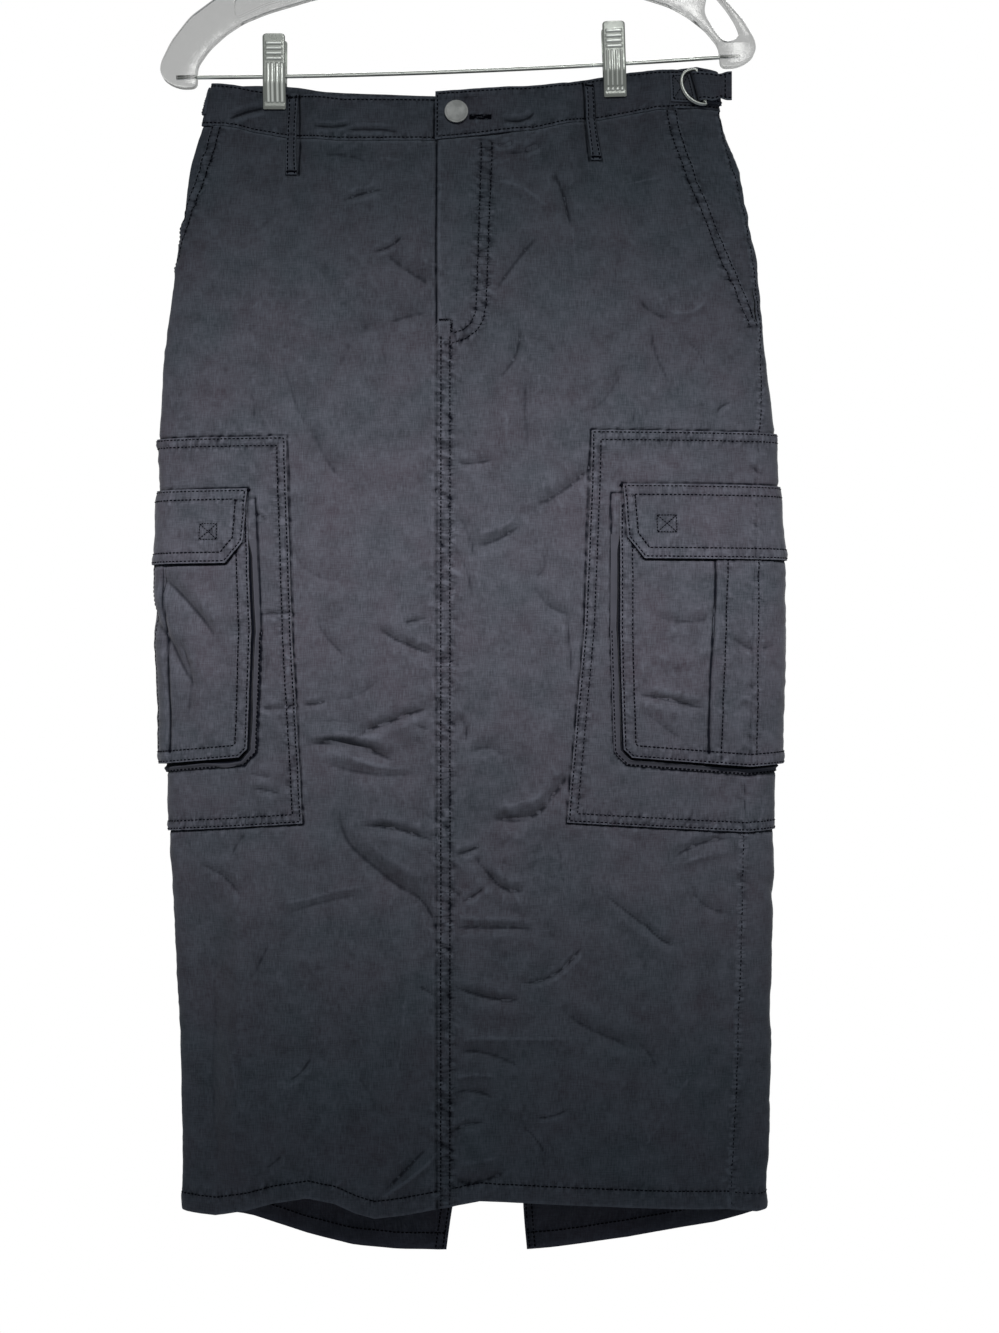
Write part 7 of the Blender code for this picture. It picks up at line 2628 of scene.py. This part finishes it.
MIRRORED = 0.45


def aimed(obj, place, target):
    obj.location = place
    obj.rotation_euler = (Vector(target) - Vector(place)).to_track_quat("-Z", "Y").to_euler()


def add_light(name, kind, place, target, energy, **settings):
    data = bpy.data.lights.new(name, kind)
    data.energy = energy
    for key, value in settings.items():
        setattr(data, key, value)
    light = bpy.data.objects.new(name, data)
    light.visible_glossy = name in ("top", "back")
    light.visible_transmission = False
    bpy.context.scene.collection.objects.link(light)
    aimed(light, place, target)


def add_floor():
    turn = np.linspace(0, 2 * math.pi, FLOOR_SIDES, endpoint=False)
    x, y = FLOOR_RADIUS * np.cos(turn), FLOOR_RADIUS * np.sin(turn)
    points = np.stack([x, y, np.full(FLOOR_SIDES, FLOOR_Z)], axis=1)
    floor = add_mesh("floor", points / MM, [list(range(FLOOR_SIDES))])
    material, graph, shader = new_material("pale_floor", Base_Color=FLOOR_COLOUR)
    graph.put(shader.inputs["Roughness"], marks(graph, 0.7, 0.9)[0])
    path = graph.add("ShaderNodeLightPath").outputs
    shader.inputs["Emission Color"].default_value = FLOOR_SEEN
    graph.put(shader.inputs["Emission Strength"], path["Is Camera Ray"])
    floor.data.materials.append(material)


def add_surround(settings):
    """The surround looks white and mirrors grey, but lights the piece only softly."""
    world = bpy.data.worlds.new("studio")
    world.use_nodes = True
    graph = Graph(world.node_tree)
    seen = world.node_tree.nodes["Background"]
    seen.inputs["Color"].default_value = (1, 1, 1, 1)
    fill = graph.add("ShaderNodeBackground", Color=SURROUND_COLOUR, Strength=settings.surround)
    mirrored = graph.add("ShaderNodeBackground", Color=MIRRORED_COLOUR, Strength=MIRRORED)
    path = graph.add("ShaderNodeLightPath").outputs
    dim = graph.add("ShaderNodeMixShader")
    for socket, value in zip(dim.inputs, (path["Is Glossy Ray"], fill.outputs[0], mirrored.outputs[0])):
        graph.put(socket, value)
    mix = graph.add("ShaderNodeMixShader")
    graph.put(mix.inputs[0], graph.maths("MAXIMUM", path["Is Camera Ray"], path["Is Transmission Ray"]))
    graph.put(mix.inputs[1], dim.outputs[0])
    graph.put(mix.inputs[2], seen.outputs[0])
    graph.put(world.node_tree.nodes["World Output"].inputs["Surface"], mix.outputs[0])
    bpy.context.scene.world = world


def add_studio():
    scene = bpy.context.scene
    settings = scene.skirt_stage
    scene.view_settings.view_transform = "Standard"
    add_surround(settings)
    add_floor()
    for name, place, target, size, spread, colour, energy in (
        ("inner", STRIP_PLACE, INNER_TARGET, STRIP_SIZE, INNER_SPREAD, INNER_COLOUR, settings.inner),
        ("broad", BROAD_PLACE, BROAD_TARGET, STRIP_SIZE, BROAD_SPREAD, BROAD_COLOUR, settings.broad),
        ("top", TOP_PLACE, TOP_TARGET, TOP_SIZE, TOP_SPREAD, TOP_COLOUR, settings.top),
        ("back", BACK_PLACE, BACK_TARGET, BACK_SIZE, BACK_SPREAD, TOP_COLOUR, settings.back),
    ):
        add_light(name, "AREA", place, target, energy, shape="RECTANGLE", size=size[0], size_y=size[1],
                  spread=math.radians(spread), color=colour)
    camera_data = bpy.data.cameras.new("camera")
    camera_data.sensor_width = 36
    camera_data.sensor_fit = "AUTO"
    camera_data.lens = CAMERA_LENS
    camera_data.clip_start = 0.05
    camera = bpy.data.objects.new("camera", camera_data)
    scene.collection.objects.link(camera)
    camera.location = CAMERA_PLACE
    camera.rotation_euler = (math.pi / 2, 0, 0)
    scene.camera = camera


# The add-on.
def setting(name, description, default, **units):
    return bpy.props.FloatProperty(name=name, description=description, default=default, **units)


class SkirtClothSettings(bpy.types.PropertyGroup):
    """How finely the cloth is built and how it looks"""

    cell: setting("Cell", "Grid step of the front cloth", 0.0016, unit="LENGTH", subtype="DISTANCE")
    back_cell: setting("Back cell", "Grid step of the back panels", 0.0028, unit="LENGTH", subtype="DISTANCE")
    depth: setting("Shade", "Brightness of the dye", 1.0, subtype="FACTOR")
    sheen: setting("Sheen", "Soft pale rim of the brushed cloth", 0.12, subtype="FACTOR")
    # How pale the rubbed edges and the painted highlight on ridges are.
    wear: setting("Wear and painted highlight", "How pale the rubbed edges are", 0.9, subtype="FACTOR")


class SkirtHolderSettings(bpy.types.PropertyGroup):
    """The clear hanger"""

    plastic_tint: setting("Tint", "Share of light that the plastic passes", 0.42, subtype="FACTOR")


class SkirtStageSettings(bpy.types.PropertyGroup):
    """The studio's light"""

    surround: setting("Surround", "Brightness of the white surround", 0.16, subtype="FACTOR")
    inner: setting("Inner", "Power of the narrow strip on the middle", 2.25, unit="POWER")
    broad: setting("Broad", "Power of the broad strip", 2.7, unit="POWER")
    back: setting("Back", "Power of the softbox behind the piece", 14.0, unit="POWER")
    top: setting("Top", "Power of the softbox for the clips and the hanger", 0.17, unit="POWER")


def millimetres(length):
    return length / MM


class SKIRT_OT_cloth(bpy.types.Operator):
    """Builds the panels, waistband, facings, belt loops and adjuster tabs"""

    bl_idname = "skirt.add_cloth"
    bl_label = "Add cloth"

    def execute(self, context):
        settings = context.scene.skirt_cloth
        add_panels(millimetres(settings.cell), millimetres(settings.back_cell))
        add_top_cloth(millimetres(settings.cell))
        return {"FINISHED"}


class SKIRT_OT_cargo(bpy.types.Operator):
    """Builds the cargo patches, pockets, bellows strips and flaps"""

    bl_idname = "skirt.add_cargo"
    bl_label = "Add cargo pockets"

    def execute(self, context):
        add_cargo(millimetres(context.scene.skirt_cloth.cell))
        return {"FINISHED"}


class SKIRT_OT_adjusters(bpy.types.Operator):
    """Builds the adjuster straps and D-rings"""

    bl_idname = "skirt.add_adjusters"
    bl_label = "Add side adjusters"

    def execute(self, context):
        for side_name, side in SIDES:
            add_rings(side_name, side)
            add_strap(side_name, side)
        return {"FINISHED"}


class SKIRT_OT_fastenings(bpy.types.Operator):
    """Builds the waist button and the zip behind the fly"""

    bl_idname = "skirt.add_fastenings"
    bl_label = "Add button and zip"

    def execute(self, context):
        add_button()
        add_zip()
        return {"FINISHED"}


class SKIRT_OT_stitches(bpy.types.Operator):
    """Sews every line of stitches"""

    bl_idname = "skirt.add_stitches"
    bl_label = "Add stitching"

    def execute(self, context):
        add_stitches()
        return {"FINISHED"}


class SKIRT_OT_hanger(bpy.types.Operator):
    """Builds the hanger's body, rod and hook"""

    bl_idname = "skirt.add_hanger"
    bl_label = "Add hanger"

    def execute(self, context):
        add_hanger()
        return {"FINISHED"}


class SKIRT_OT_clips(bpy.types.Operator):
    """Builds both clips with their springs"""

    bl_idname = "skirt.add_clips"
    bl_label = "Add clips"

    def execute(self, context):
        for side_name in CLIP_X:
            add_clip(side_name)
        return {"FINISHED"}


class SKIRT_OT_stage(bpy.types.Operator):
    """Builds the floor, lights and camera"""

    bl_idname = "skirt.add_stage"
    bl_label = "Add studio"

    def execute(self, context):
        add_studio()
        return {"FINISHED"}


OPERATORS = (
    SKIRT_OT_cloth, SKIRT_OT_cargo, SKIRT_OT_adjusters, SKIRT_OT_fastenings, SKIRT_OT_stitches,
    SKIRT_OT_hanger, SKIRT_OT_clips, SKIRT_OT_stage,
)
SETTINGS = (
    ("skirt_cloth", SkirtClothSettings),
    ("skirt_holder", SkirtHolderSettings),
    ("skirt_stage", SkirtStageSettings),
)


class SKIRT_PT_panel(bpy.types.Panel):
    """The skirt's settings and steps"""

    bl_label = "Cargo skirt"
    bl_idname = "SKIRT_PT_panel"
    bl_space_type = "VIEW_3D"
    bl_region_type = "UI"
    bl_category = "Skirt"

    def draw(self, context):
        for name, kind in SETTINGS:
            box = self.layout.box()
            for setting in kind.__annotations__:
                box.prop(getattr(context.scene, name), setting)
        for operator in OPERATORS:
            self.layout.operator(operator.bl_idname)


def register():
    for kind in (*(kind for _, kind in SETTINGS), *OPERATORS, SKIRT_PT_panel):
        bpy.utils.register_class(kind)
    for name, kind in SETTINGS:
        setattr(bpy.types.Scene, name, bpy.props.PointerProperty(type=kind))


def unregister():
    for name, _ in SETTINGS:
        delattr(bpy.types.Scene, name)
    for kind in (SKIRT_PT_panel, *reversed(OPERATORS), *(kind for _, kind in reversed(SETTINGS))):
        bpy.utils.unregister_class(kind)


def main():
    register()
    for step in ("cloth", "cargo", "adjusters", "fastenings", "stitches", "hanger", "clips", "stage"):
        getattr(bpy.ops.skirt, f"add_{step}")()


if __name__ == "__main__":
    main()
